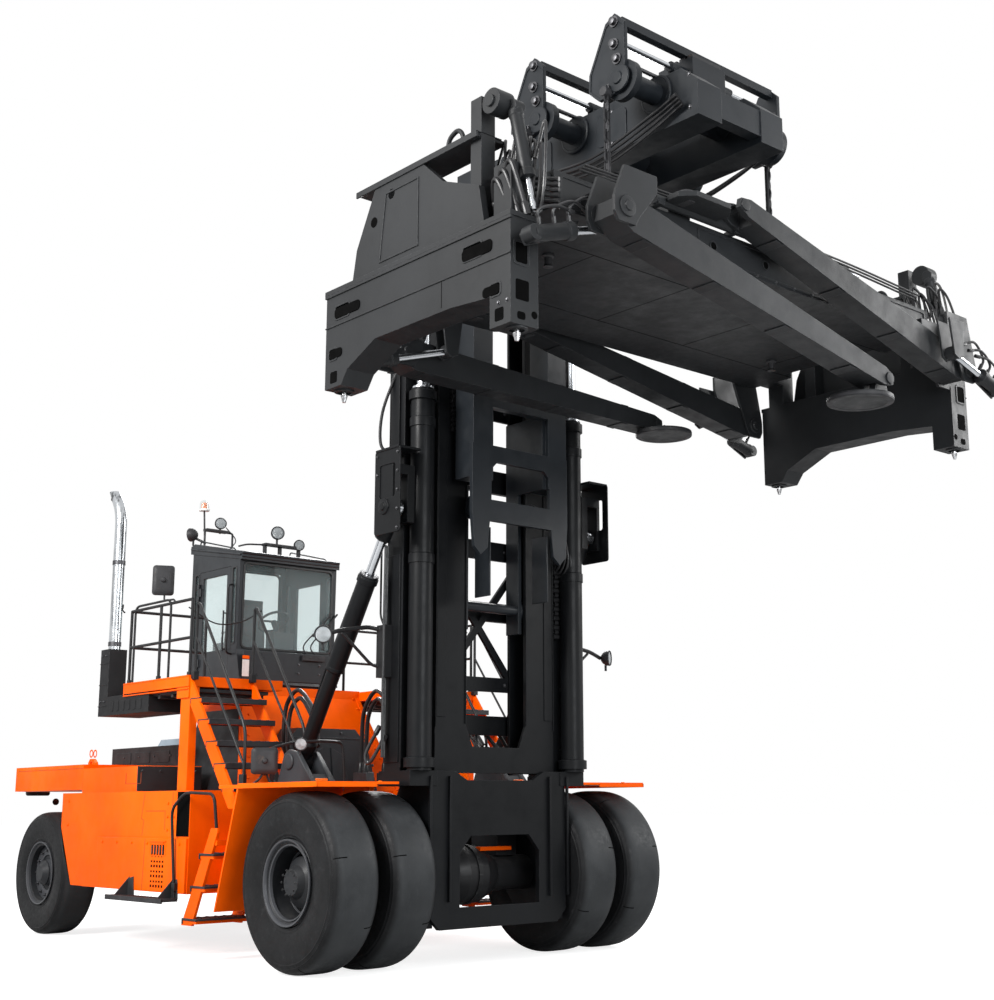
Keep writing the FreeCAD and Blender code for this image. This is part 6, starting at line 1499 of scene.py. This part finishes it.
def inner_mast_details():
    x0, x1 = AX + 0.24, AX + 0.53
    for side in SIDES:
        make = on_side(side, "inner_mast")
        face = make("inner_rail_faces", "mast_paint")
        face.block(x1 - 0.002, x1 + 0.008, -0.775, -0.66, 2.4, 7.6)
        face.block(x1 - 0.002, x1 + 0.012, -0.792, -0.78, 2.3, 7.64)
        face.block(x1 - 0.002, x1 + 0.012, -0.412, -0.4, 2.34, 7.64)
        face.done(0.003)
        chain = make("inner_chains", "chain_steel")
        chain_strip(chain, (AX + 0.56, -0.6, 7.1), (AX + 0.56, -0.6, 5.35), 0.07, 0.05)
        chain.done()
    hose = Piece("mast_hose_bundle", "inner_mast", "hose")
    for k in range(6):
        y = 0.83 + 0.026 * k
        x = AX + 0.6 + 0.012 * (k % 3)
        hose.hose([(x, y, 7.2), (x, y, 6.4), (x + 0.01, y + 0.004, 5.2), (x, y, 4.5),
                   (x + 0.05, y + 0.01, 4.18 - 0.03 * k), (x - 0.1, y + 0.02, 4.02 - 0.03 * k),
                   (x - 0.22, y + 0.015, 4.3), (x - 0.22, y + 0.01, 4.6)], 0.012, 8)
    hose.done()
    pads = Piece("mast_cross_bolts", "inner_mast", "bolt")
    for z in (2.775, 4.2, 5.75, 7.52):
        pads.bolts([(x0 + 0.004, s * 0.36, z) for s in (-1, 1)], AHEAD, 0.016)
    pads.done()


def carriage_details():
    edge = Piece("carriage_face_edges", "carriage", "carriage_paint")
    for s in (-1, 1):
        edge.turned((AX + 0.62, s * 0.385, 4.55), (0, s, 0),
                    [(0, 0.13), (0.03, 0.125), (0.036, 0.08), (0.05, 0.075), (0.052, 0)], 32)
        edge.block(AX + 0.66, AX + 0.9, s * 0.39 - 0.008, s * 0.39 + 0.008, 3.6, 4.3)
    edge.done(0.005)
    studs = Piece("carriage_bolts", "carriage", "bolt")
    for s in (-1, 1):
        for x in (AX + 1.2, AX + 1.5, AX + 2.95, AX + 3.95):
            studs.bolts([(x, s * 0.6, 7.7), (x, s * 0.6, 8.02)], (0, s, 0), 0.016, 0.012)
    studs.done()
    for side in SIDES:
        make = on_side(side, "carriage")
        arm = make("arm_plates", "carriage_paint")
        arm.prism("xz", rounded(AX + 1.05, AX + 2.1, 7.68, 8.04, 0.06), -0.612, -0.598)
        arm.prism("xz", rounded(AX + 2.75, AX + 3.15, 7.7, 8.02, 0.06), -0.612, -0.598)
        for x in HANG_PLATES.values():
            # collars where the roller pipe leaves the arm
            arm.turned((x, -0.599, ROLLER_Z), OUT,
                       [(0, 0.161), (0.0, 0.19), (0.022, 0.19), (0.0305, 0.176), (0.0305, 0.161)], 40,
                       closed=True)
        arm.done(0.004)
        hose = make("arm_hoses", "hose")
        for k in range(4):
            y = -0.655 - 0.028 * k
            hose.hose([(AX + 1.0, y, 7.6 + 0.02 * k), (AX + 1.5, y, 7.52 + 0.03 * k),
                       (AX + 2.1, y - 0.02, 7.5 + 0.03 * k), (AX + 2.8, y, 7.46 + 0.03 * k),
                       (AX + 3.4, y, 7.56 + 0.03 * k), (AX + 3.9, y, 7.72 + 0.02 * k)], 0.014, 8)
        hose.done()
    box = Piece("valve_block_details", "carriage", "grip")
    bx = AX + 3.55
    for k in range(4):
        box.block(bx - 0.28 + 0.1 * k, bx - 0.21 + 0.1 * k, -0.2, 0.2, 8.448, 8.5)
    box.turned((bx - 0.28, -0.12, 8.35), (-1, 0, 0), [(0, 0.05), (0.06, 0.05), (0.06, 0.03), (0.1, 0.03)], 16)
    box.done(0.006)


def shift_frame_details():
    """Pins, washers and cross rods of the four hang plates, with link chains below."""
    for n, x in HANG_PLATES.items():
        pins = Piece(f"hang_pins_{n}", "spreader", "bolt")
        caps = Piece(f"hang_bosses_{n}", "spreader", "carriage_paint")
        for s in (-1, 1):
            y = s * 1.097
            for dx, z in ((-0.05, 8.54), (-0.055, 8.32), (-0.02, 8.16), (-0.13, 7.9)):
                pins.turned((x + dx, y, z), (0, s, 0),
                            [(0, 0.054), (0.014, 0.054), (0.014, 0.036), (0.046, 0.036), (0.052, 0.018)], 18)
            caps.turned((x, s * 1.018, ROLLER_Z), (0, s, 0),
                        [(0, 0.125), (0.012, 0.17), (0.045, 0.188), (0.045, 0.103), (0.0, 0.103)], 40,
                        closed=True)
            caps.turned((x, y, ROLLER_Z), (0, s, 0),
                        [(0, 0.13), (0.016, 0.126), (0.022, 0.06), (0.04, 0.055), (0.042, 0)], 32)
            # stiffened edge of the plate
            outline = [(x - 0.38, 8.13), (x - 0.16, 8.56), (x - 0.04, 8.62), (x + 0.08, 8.5), (x + 0.08, 7.9),
                       (x - 0.06, 7.83), (x - 0.26, 7.83), (x - 0.39, 7.95)]
            centre = (x - 0.13, 8.1)
            inset = [lerp(p, centre, 0.09) for p in outline]
            caps.band("xz", outline, inset, y - 0.002, y + s * 0.01)
        pins.rod((x - 0.02, -1.08, 8.16), (x - 0.02, 1.08, 8.16), 0.02, 14)
        pins.done()
        caps.done(0.003)
        Piece(f"shift_rods_{n}", "spreader",
              "rod_chrome").rod((x, -1.07, 8.32), (x, 1.07, 8.32), 0.0235, 20).done()
        # chain links and eyes over the plain hanger rods
        links = Piece(f"hanger_links_{n}", "spreader", "chain_steel")
        for s in (-1, 1):
            top, bottom = 7.87, 6.99
            count = 9
            pitch = (top - bottom) / count
            for k in range(count):
                z = bottom + pitch * (k + 0.5)
                flat = k % 2
                ring = []
                for q in range(17):
                    a = math.tau * q / 16
                    w, h = math.cos(a) * 0.026, math.sin(a) * pitch * 0.64
                    ring.append((x - CHAIN_BACK + (w if flat else 0), s * 1.137 + (0 if flat else w), z + h))
                links.tube(ring, 0.0125, 8)
        links.done()
        eyes = Piece(f"hanger_shackles_{n}", "spreader", "grip")
        for s in (-1, 1):
            for z in (7.86, 7.0):
                eyes.turned((x - CHAIN_BACK, s * 1.137 - 0.045, z), CROSS, [(0, 0.046), (0.09, 0.046)], 20)
        eyes.done(0.004)


# ---- Spreader ----


def spreader_beam_details():
    trim = Piece("beam_faces", "spreader", "spreader_paint")
    dark = Piece("beam_hole_shade", "spreader", "recess")
    for s in (-1, 1):
        x = SPX + s * 1.15
        for y0, y1 in ((-2.5, -1.35), (-0.9, 0.9), (1.35, 2.5)):
            trim.band("yz", rounded(y0, y1, 6.115, 6.375, 0.03),
                      rounded(y0 + 0.02, y1 - 0.02, 6.135, 6.355, 0.02), x - 0.004, x + 0.008 * s)
        for k in range(7):
            y = -2.1 + 0.7 * k
            trim.turned((x, y, 6.245), (s, 0, 0), [(0, 0.05), (0.01, 0.048), (0.01, 0.036), (0, 0.036)], 24,
                        closed=True)
            # near-black discs inside the hole rings paint the shade of the holes
            dark.turned((x + s * 0.001, y, 6.245), (s, 0, 0), [(0, 0.036), (0.002, 0.036)], 24)
        # long cylinder and pipes laid along the beam
        trim.rod((x + s * 0.06, -1.5, BEAM_CYLINDER_Z), (x + s * 0.06, 0.4, BEAM_CYLINDER_Z), 0.045, 20)
        trim.rod((x + s * 0.06, 0.38, BEAM_CYLINDER_Z), (x + s * 0.06, 0.5, BEAM_CYLINDER_Z), 0.055, 20)
        for y in (-1.45, -0.5, 0.35):
            trim.block(x - 0.02, x + s * 0.1 + 0.012, y - 0.03, y + 0.03, 6.385, 6.42)
    trim.done(0.003)
    dark.done()
    rod = Piece("extend_rods", "spreader", "rod_chrome")
    for s in (-1, 1):
        x = SPX + s * 1.21
        rod.rod((x, 0.48, BEAM_CYLINDER_Z), (x, 1.3, BEAM_CYLINDER_Z), 0.024, 16)
    rod.done()
    pipes = Piece("beam_pipes", "spreader", "hose")
    for s in (-1, 1):
        for k in range(3):
            x = SPX + s * (1.175 + 0.028 * k)
            z = 6.5 + 0.012 * k
            pipes.tube(flow([(x, -2.3, z - 0.04), (x, -1.2, z), (x + s * 0.01, 0.0, z), (x, 1.2, z),
                             (x, 2.3, z - 0.04)]), 0.01, 8)
    pipes.done()
    seams = Piece("belly_seams", "spreader", "recess")
    for s in (-1, 1):
        seams.block(SPX + s * 0.6 - 0.004, SPX + s * 0.6 + 0.004, -2.5, 2.5, BELLY_Z - 0.0015,
                    BELLY_Z + 0.0015)
    for y in (-1.6, -0.4, 0.8, 2.0):
        seams.block(SPX - 0.6, SPX + 0.6, y - 0.003, y + 0.003, BELLY_Z - 0.0015, BELLY_Z + 0.0015)
    seams.done()
    plates = Piece("saddle_plates", "spreader", "spreader_paint")
    for s in (-1, 1):
        y = s * 1.13
        for x in HANG_PLATES.values():
            for dy in (-0.075, 0.05):
                plates.turned((x - CHAIN_BACK, y + dy, 6.96), CROSS, [(0, 0.062), (0.016, 0.062)], 24)
        plates.band("xy", rounded(SPX - 1.1, SPX + 1.1, y - 0.115, y + 0.115, 0.03),
                    rounded(SPX - 1.07, SPX + 1.07, y - 0.09, y + 0.09, 0.02), 6.558, 6.572)
    plates.done(0.003)
    bolts = Piece("saddle_bolts", "spreader", "bolt")
    for s in (-1, 1):
        for k in range(8):
            bolts.bolts([(SPX - 1.02 + 0.29 * k, s * 1.13 + q * 0.1, 6.57) for q in (-1, 1)], UP, 0.015)
            bolts.bolts([(SPX + s * 1.15, -0.9 + 0.26 * k, 6.12)], (s, 0, 0), 0.012)
    bolts.done()
    # hose tangle between the saddles, and the curled umbilicals at the ends of the beams
    tangle = Piece("spreader_hoses", "spreader", "hose")
    for k in range(10):
        t = random.uniform(-0.06, 0.06)
        x = SPX - 0.5 + 0.11 * k
        tangle.hose([(x, -1.05, 6.58), (x + 0.06 + t, -0.8, 6.78 + t), (x + 0.1, -0.4, 6.62),
                     (x + 0.16 + t, 0.1, 6.56), (x + 0.1, 0.6, 6.66 + t), (x + 0.04, 1.05, 6.58)], 0.013, 8)
    for s in (-1, 1):
        for k in range(8):
            x = SPX - 0.74 + 0.17 * k + random.uniform(-0.03, 0.03)
            up = random.uniform(0.0, 0.16)
            tangle.hose([(x, s * 1.26, 6.5), (x + 0.04, s * 1.45, 6.66 + up), (x + 0.08, s * 1.75, 6.6 + up),
                         (x + 0.02, s * 2.05, 6.44), (x - 0.04, s * 2.35, 6.42), (x - 0.02, s * 2.52, 6.41)],
                        0.014, 8)
    tangle.done()
    under = Piece("belly_fittings", "spreader", "grip")
    for s in (-1, 1):
        for k in (-1, 1):
            under.turned((SPX + 0.35 * k, s * 1.9, BELLY_Z + 0.002), (0, 0, -1),
                         [(0, 0.055), (0.02, 0.055), (0.03, 0.035), (0.09, 0.032), (0.11, 0.045),
                          (0.12, 0.0)], 20)
    under.done()


def leg_cylinders():
    """A short cylinder beside each folding leg's hinge, drawn folded."""
    for tag, sign, plane, y, z, _ in LEG_TABLE:
        s = 1 if y > 0 else -1
        x = SPX + sign * (plane + (0.24 if plane < 1.5 else -0.245))
        reach = min(0.61, 3.02 - abs(y))
        base = Vector((x, y + s * reach, z - 0.26 * reach / 0.61))
        tip = Vector((x, y - s * 0.41, z + 0.06))
        way = (tip - base).normalized()
        full = (tip - base).length
        barrel = Piece(f"leg_cylinder_{tag}", "spreader", "spreader_paint")
        body = full * 0.4
        barrel.turned(base, way, [(0, 0.03), (0.0, 0.064), (0.05, 0.072), (0.07, 0.064), (body - 0.08, 0.064),
                                  (body - 0.07, 0.074), (body, 0.074), (body + 0.01, 0.03)], 28)
        barrel.turned(base + Vector((-0.055, 0, 0)), AHEAD, [(0, 0.062), (0.11, 0.062)], 24)
        barrel.done(0.003)
        Piece(f"leg_cylinder_rod_{tag}", "spreader",
              "rod_chrome").rod(base + way * body, base + way * (full - 0.06), 0.034, 20).done()
        lug = Piece(f"leg_cylinder_lugs_{tag}", "spreader", "spreader_paint")
        lug.turned(tip + Vector((-0.045, 0, 0)), AHEAD, [(0, 0.066), (0.09, 0.066)], 24)
        lug.prism("yz", [(y + s * 0.1, z - 0.12), (base.y, base.z - 0.075), (base.y + s * 0.05, base.z),
                         (base.y, base.z + 0.075), (y + s * 0.05, z + 0.02)], x - 0.085, x - 0.065)
        for dx in (-0.075, 0.055):
            lug.prism("yz", [(tip.y + s * 0.07, tip.z - 0.04), (tip.y, tip.z - 0.075),
                             (tip.y - s * 0.07, tip.z - 0.04), (tip.y - s * 0.13, 6.1),
                             (tip.y + s * 0.13, 6.1)], x + dx, x + dx + 0.02)
        lug.done(0.004)
        hoses = Piece(f"leg_cylinder_hoses_{tag}", "spreader", "hose")
        for k in range(3):
            a = base + way * (0.08 + body * 0.38 * k) + Vector((0, 0, 0.066))
            hoses.hose([a, a + Vector((0.03, s * 0.03, 0.1)), a + Vector((0.05, -s * 0.14, 0.17 + 0.03 * k)),
                        a + Vector((0.02, -s * 0.32, 0.18))], 0.013, 8)
        hoses.done()


def leg_details():
    for tag, sign, plane, y, z, slope in LEG_TABLE:
        s = 1 if y > 0 else -1
        x = SPX + sign * plane
        a = math.radians(slope)
        along = Vector((0, -s * math.cos(a), math.sin(a)))
        up = Vector((0, s * math.sin(a), math.cos(a)))
        root = Vector((x, y, z))

        def at(q, w, dx=0.0):
            return root + along * q + up * w + Vector((dx, 0, 0))

        rib = Piece(f"leg_ribs_{tag}", f"leg_{tag}", "spreader_paint")
        for q in (0.3, 1.1, 2.0, 2.9):
            w = 0.145 - 0.06 * q / LEG_LENGTH + 0.004
            for lift in (-w, w):
                corners = [at(q + c, lift + e, dx) for c, e,
                           dx in ((-0.05, 0, -0.115), (0.05, 0, -0.115), (0.05, 0, 0.115), (-0.05, 0, 0.115))]
                thick = up * (0.006 if lift > 0 else -0.006)
                low = [rib.vert(p) for p in corners]
                high = [rib.vert(p + thick) for p in corners]
                rib.bm.faces.new(low)
                rib.bm.faces.new(high)
                rib.skin(low, high)
        for side_x in (-1, 1):
            rib.turned(at(0, 0, side_x * 0.126), (side_x, 0, 0), [(0, 0.1), (0.004, 0.1)], 28)
            rib.turned(at(LEG_LENGTH, 0, side_x * 0.1255), (side_x, 0, 0),
                       [(0, 0.055), (0.012, 0.052), (0.014, 0.02)], 20)
        rib.done(0.002)
        pin = Piece(f"hinge_caps_{tag}", "spreader", "spreader_paint")
        for side_x in (-1, 1):
            pin.turned(at(0, 0, side_x * 0.16), (side_x, 0, 0),
                       [(0, 0.085), (0.012, 0.08), (0.016, 0.045), (0.03, 0.04), (0.032, 0)], 24)
        pin.done()
        foot_lo, foot_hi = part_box(f"foot_{tag}")
        cx, cy = (foot_lo.x + foot_hi.x) / 2, (foot_lo.y + foot_hi.y) / 2
        pad = Piece(f"foot_pad_{tag}", f"foot_{tag}", "grip")
        if y < 0:
            fx = SPX + sign * (plane - 0.2)
            pad.turned((fx, cy, foot_lo.z - 0.003), UP,
                       [(0, 0.24), (0.0, 0.294), (0.012, 0.303), (0.038, 0.303), (0.05, 0.285), (0.05, 0.24)],
                       64, closed=True)
            for k in range(8):
                w = math.tau * k / 8
                at_x, at_y = fx + 0.26 * math.cos(w), cy + 0.26 * math.sin(w)
                pad.rod((at_x, at_y, foot_lo.z + 0.045), (at_x, at_y, foot_lo.z + 0.058), 0.013, 6)
        else:
            pad.block(foot_lo.x + 0.1, foot_hi.x - 0.1, foot_lo.y + 0.12, foot_lo.y + 0.2, foot_lo.z - 0.004,
                      foot_lo.z + 0.05)
            pad.turned((cx, foot_lo.y + 0.16, foot_lo.z + 0.045), UP,
                       [(0, 0.075), (0.05, 0.072), (0.06, 0.05)], 24)
        pad.done(0.004)


def end_details():
    """Slots, lips and hardware of each telescopic end."""
    lo_x, hi_x = SPX - SPREADER_HALF, SPX + SPREADER_HALF
    for side in SIDES:
        make = on_side(side, f"end_{side}")
        y = END_Y
        lip = make("end_lips", "spreader_paint")
        # near-black patches paint the shade inside slots and holes; one thin strip is a dark joint line
        dark = make("end_recesses", "recess")
        lip.block(lo_x - 0.012, hi_x + 0.012, y - 0.012, y + 0.01, 5.835, 5.86)
        lip.block(lo_x - 0.004, hi_x + 0.004, y - 0.009, y + 0.01, 5.56, 5.572)
        for x0, x1, z0, z1 in ((lo_x + 0.14, lo_x + 0.34, 5.62, 5.73), (hi_x - 0.56, hi_x - 0.34, 5.64, 5.75),
                               (lo_x + 0.06, lo_x + 0.17, 5.27, 5.36),
                               (hi_x - 0.23, hi_x - 0.12, 5.27, 5.36)):
            dark.prism("xz", rounded(x0, x1, z0, z1, 0.02), y + 0.105, y + 0.119)
            lip.band("xz", rounded(x0 - 0.014, x1 + 0.014, z0 - 0.014, z1 + 0.014, 0.03),
                     rounded(x0, x1, z0, z1, 0.02), y - 0.006, y + 0.004)
        for x0, x1, z0, z1 in ((lo_x + 0.13, lo_x + 0.5, 5.625, 5.715),
                               (hi_x - 0.57, hi_x - 0.21, 5.635, 5.735),
                               (lo_x + 0.06, lo_x + 0.25, 5.275, 5.355),
                               (hi_x - 0.32, hi_x - 0.12, 5.275, 5.355)):
            dark.prism("xz", rounded(x0, x1, z0, z1, 0.035), y - 0.007, y + 0.004)
        for x in (lo_x + 0.05, hi_x - 0.21):
            dark.prism("xz", rounded(x + 0.03, x + 0.13, 5.06, 5.16, 0.015), y - 0.002, y + 0.01)
        dark.block(AX + 3.498, AX + 3.503, y - 0.002, y + 0.004, 5.34, 5.56)
        dark.turned((AX + 2.51, -3.02, 6.37), OUT, [(-0.002, 0.045), (0.003, 0.045)], 24)
        # front and rear faces of the corner posts
        for face, out in ((hi_x, 1), (lo_x, -1)):
            dark.prism("yz", rounded(-3.02, -2.9, 5.5, 5.66, 0.02), face - 0.002, face + 0.002)
            dark.prism("yz", rounded(-3.015, -2.885, 5.21, 5.37, 0.015), face - 0.002, face + 0.002)
            dark.turned((face - 0.001, -2.83, 5.12), (out, 0, 0), [(0, 0.03), (0.002, 0.03)], 20)
            lip.band("yz", rounded(-3.04, -2.88, 5.48, 5.68, 0.03), rounded(-3.02, -2.9, 5.5, 5.66, 0.02),
                     face - 0.002, face + out * 0.006)
            dark.prism("yz", rounded(-3.0, -2.92, 5.06, 5.12, 0.02), face - 0.002, face + 0.002)
        # embossed sub-panel and lifting loop on the raised panel
        py = -3.02
        lip.band("xz", [(lo_x + 0.7, 5.98), (lo_x + 0.78, 6.58), (lo_x + 1.24, 6.58), (lo_x + 1.24, 5.98)],
                 [(lo_x + 0.716, 5.996), (lo_x + 0.792, 6.566), (lo_x + 1.226, 6.566), (lo_x + 1.226, 5.996)],
                 py - 0.008, py + 0.004)
        lip.block(lo_x + 0.36, lo_x + 1.99, py - 0.01, py + 0.25, 6.706, 6.716)
        lip.block(lo_x + 0.36, lo_x + 1.99, py - 0.012, py + 0.004, 6.664, 6.716)
        lip.done(0.003)
        dark.done()
        loop = make("end_loops", "spreader_paint")
        loop.tube(bent([(lo_x + 1.46, -2.9, 6.7), (lo_x + 1.48, -2.9, 6.86), (lo_x + 1.6, -2.9, 6.9),
                        (lo_x + 1.66, -2.9, 6.84), (lo_x + 1.68, -2.9, 6.7)], 0.06), 0.02)
        loop.tube(bent([(lo_x + 0.5, -2.86, 6.7), (lo_x + 0.52, -2.86, 6.76), (lo_x + 0.6, -2.86, 6.76),
                        (lo_x + 0.62, -2.86, 6.7)], 0.03), 0.014)
        loop.turned((AX + 4.02, -3.0, 6.92), CROSS, [(0, 0.07), (0.0, 0.105), (0.16, 0.105), (0.16, 0.07)],
                    28)
        loop.turned((AX + 4.02, -3.02, 6.92), CROSS, [(0, 0.0), (0.0, 0.05), (0.02, 0.05)], 20)
        loop.done(0.003)
        cyl = make("end_cylinders", "spreader_paint")
        a, b = Vector((AX + 4.13, -2.84, 6.84)), Vector((AX + 4.34, -2.84, 5.95))
        way = (b - a).normalized()
        cyl.turned(a, way, [(0, 0.045), (0.0, 0.06), (0.05, 0.062), (0.06, 0.055), (0.55, 0.055),
                            (0.56, 0.064), (0.62, 0.064), (0.63, 0.03)], 28)
        cyl.turned(a + Vector((0, -0.05, 0.03)), CROSS, [(0, 0.06), (0.1, 0.06)], 24)
        cyl.done(0.003)
        make("end_cylinder_rods", "rod_chrome").rod(a + way * 0.62, b, 0.026, 18).done()
        hose = make("end_hoses", "hose")
        for k in range(9):
            x = lo_x + 1.92 + 0.06 * k
            up = random.uniform(0.0, 0.18)
            out = random.uniform(-0.04, 0.04)
            hose.hose([(x, -2.78, 6.42), (x + 0.03, -2.72 + out, 6.58 + up), (x + 0.1, -2.76, 6.46 + up),
                       (x + 0.14 + out, -2.82, 6.16), (x + 0.08, -2.8, 5.96), (x + 0.05, -2.82, 5.92)], 0.013,
                      8)
        for k in range(3):
            x = lo_x + 2.02 + 0.08 * k
            hose.hose([(x, -2.86, 6.05), (x + 0.08, -2.95, 6.24 + 0.04 * k),
                       (x + 0.18, -2.98, 6.22 + 0.05 * k), (x + 0.26, -2.9, 5.92)], 0.02, 10)
        for k in range(6):
            z = 6.05 + 0.045 * k
            hose.hose([(lo_x + 1.95, -2.76, z + 0.12), (lo_x + 2.12, -2.78, z + 0.05),
                       (lo_x + 2.34, -2.74, z), (lo_x + 2.52, -2.66, z - 0.04)], 0.014, 8)
        hose.done()
        block = make("end_valves", "grip")
        block.block(lo_x + 1.42, lo_x + 1.6, -2.9, -2.8, 5.9, 6.06)
        block.block(lo_x + 2.12, lo_x + 2.32, -2.92, -2.8, 5.9, 6.02)
        for k in range(4):
            block.turned((lo_x + 2.14 + 0.05 * k, -2.86, 6.02), UP,
                         [(0, 0.018), (0.04, 0.018), (0.045, 0.01)], 12)
        block.done(0.008)
        bolts = make("end_bolts", "bolt")
        bolts.bolts([(lo_x + 0.25 + 0.28 * k, -2.93, 5.9) for k in range(8)], UP, 0.016)
        bolts.bolts([(hi_x - 0.1 * k - 0.04, y, 5.2) for k in (0, 1)], OUT, 0.014)
        bolts.done()
        cones = make("lock_collars", "spreader_paint")
        for x in (SPX - LOCK_X, SPX + LOCK_X):
            cones.turned((x, LOCK_Y, 5.022), (0, 0, -1),
                         [(0, 0.06), (0.0, 0.085), (0.014, 0.085), (0.02, 0.06)], 28, closed=True)
        cones.done()


# ---- Fit everything ----

for side_name in SIDES:
    for fit in (wheels, body_sides, deck_and_stairs, front_side, tilt_cylinder_details):
        fit(side_name)
counterweight_trim()
cab_details()
padded_seat()
cover_and_hoses()
exhaust()
side_mirror("deck_mirror", "chassis", (AX - 2.95, -1.98, 4.05), (-0.85, 0.4, 0), 0.24, 0.34,
            [(AX - 2.95, -1.96, 3.88), (AX - 2.95, -1.96, 3.82), (AX - 2.72, -1.96, 3.81),
             (AX - 2.69, -1.96, 3.78)])
for side_name in SIDES:
    is_left = side_name == "left"
    side_mirror(f"fender_mirror_{side_name}", "chassis", (AX - 0.62, -2.01, 1.98), (-0.85, 0.4, 0), 0.26,
                0.26, [(AX - 0.66, -1.99, 1.87), (AX - 0.66, -1.98, 1.84)], is_left)
    s = 1 if is_left else -1
    work_lamp(f"fender_lamp_{side_name}", (AX - 0.62, s * 1.6, 2.15), (0.85, s * 0.4, 0.05), 0.065)
    work_lamp(f"mast_lamp_{side_name}", (AX + 0.22, s * 1.92, 3.16), (0.8, s * 0.5, 0.0), 0.085, "mast")
mast_details()
inner_mast_details()
carriage_details()
shift_frame_details()
spreader_beam_details()
leg_cylinders()
leg_details()
end_details()


# ---- Floor, background and light ----


def stage_and_light():
    bpy.ops.mesh.primitive_plane_add(size=240, location=(0, 0, -0.002))
    floor = bpy.context.object
    floor.name = "floor"
    t = Tree("floor")
    shade = t.mix(t.ramp(t.noise(0.6, 5), 0.3, 0.7), (0.42, 0.42, 0.42), (0.46, 0.46, 0.46))
    shader = t.add("ShaderNodeBsdfDiffuse")
    t.put(shader.inputs["Color"], shade)
    glow = t.add("ShaderNodeEmission")
    glow.inputs["Color"].default_value = (1, 1, 1, 1)
    seen = t.add("ShaderNodeLightPath").outputs["Is Camera Ray"]
    t.put(glow.inputs["Strength"], t.times(seen, 0.8))
    both = t.add("ShaderNodeAddShader")
    t.put(both.inputs[0], shader.outputs[0])
    t.put(both.inputs[1], glow.outputs[0])
    t.put(t.out.inputs["Surface"], both.outputs[0])
    floor.data.materials.append(t.mat)

    world = bpy.data.worlds.new("studio")
    scene.world = world
    world.use_nodes = True
    nt = world.node_tree
    nt.nodes.clear()
    out = nt.nodes.new("ShaderNodeOutputWorld")
    seen = nt.nodes.new("ShaderNodeBackground")
    seen.inputs[0].default_value = (1, 1, 1, 1)
    seen.inputs[1].default_value = 1.0
    lit = nt.nodes.new("ShaderNodeBackground")
    lit.inputs[0].default_value = (0.97, 0.98, 1.0, 1)
    lit.inputs[1].default_value = 0.6
    path = nt.nodes.new("ShaderNodeLightPath")
    mix = nt.nodes.new("ShaderNodeMixShader")
    any_view = path.outputs["Is Camera Ray"]
    for ray in ("Is Glossy Ray", "Is Transmission Ray"):
        widest = nt.nodes.new("ShaderNodeMath")
        widest.operation = "MAXIMUM"
        nt.links.new(any_view, widest.inputs[0])
        nt.links.new(path.outputs[ray], widest.inputs[1])
        any_view = widest.outputs[0]
    nt.links.new(any_view, mix.inputs[0])
    nt.links.new(lit.outputs[0], mix.inputs[1])
    nt.links.new(seen.outputs[0], mix.inputs[2])
    nt.links.new(mix.outputs[0], out.inputs[0])

    def area(name, at, target, size, power, color=(1, 1, 1)):
        data = bpy.data.lights.new(name, "AREA")
        data.shape = "DISK"
        data.size = size
        data.energy = power
        data.color = color
        lamp = bpy.data.objects.new(name, data)
        scene.collection.objects.link(lamp)
        lamp.location = at
        lamp.rotation_mode = "QUATERNION"
        lamp.rotation_quaternion = (Vector(target) - Vector(at)).to_track_quat("-Z", "Y")

    area("key", (2.0, -15.0, 11.0), (0, 0, 2.5), 7.0, 4200, (1.0, 0.99, 0.975))
    area("front_fill", (15.0, -3.0, 6.0), (2, 0, 3.5), 8.0, 1300, (0.95, 0.98, 1.0))
    area("back", (-11.0, 9.0, 12.0), (0, 0, 4), 7.0, 2200)
    area("far_side", (9.0, 12.0, 9.0), (2, 0, 4), 7.0, 1200)


stage_and_light()
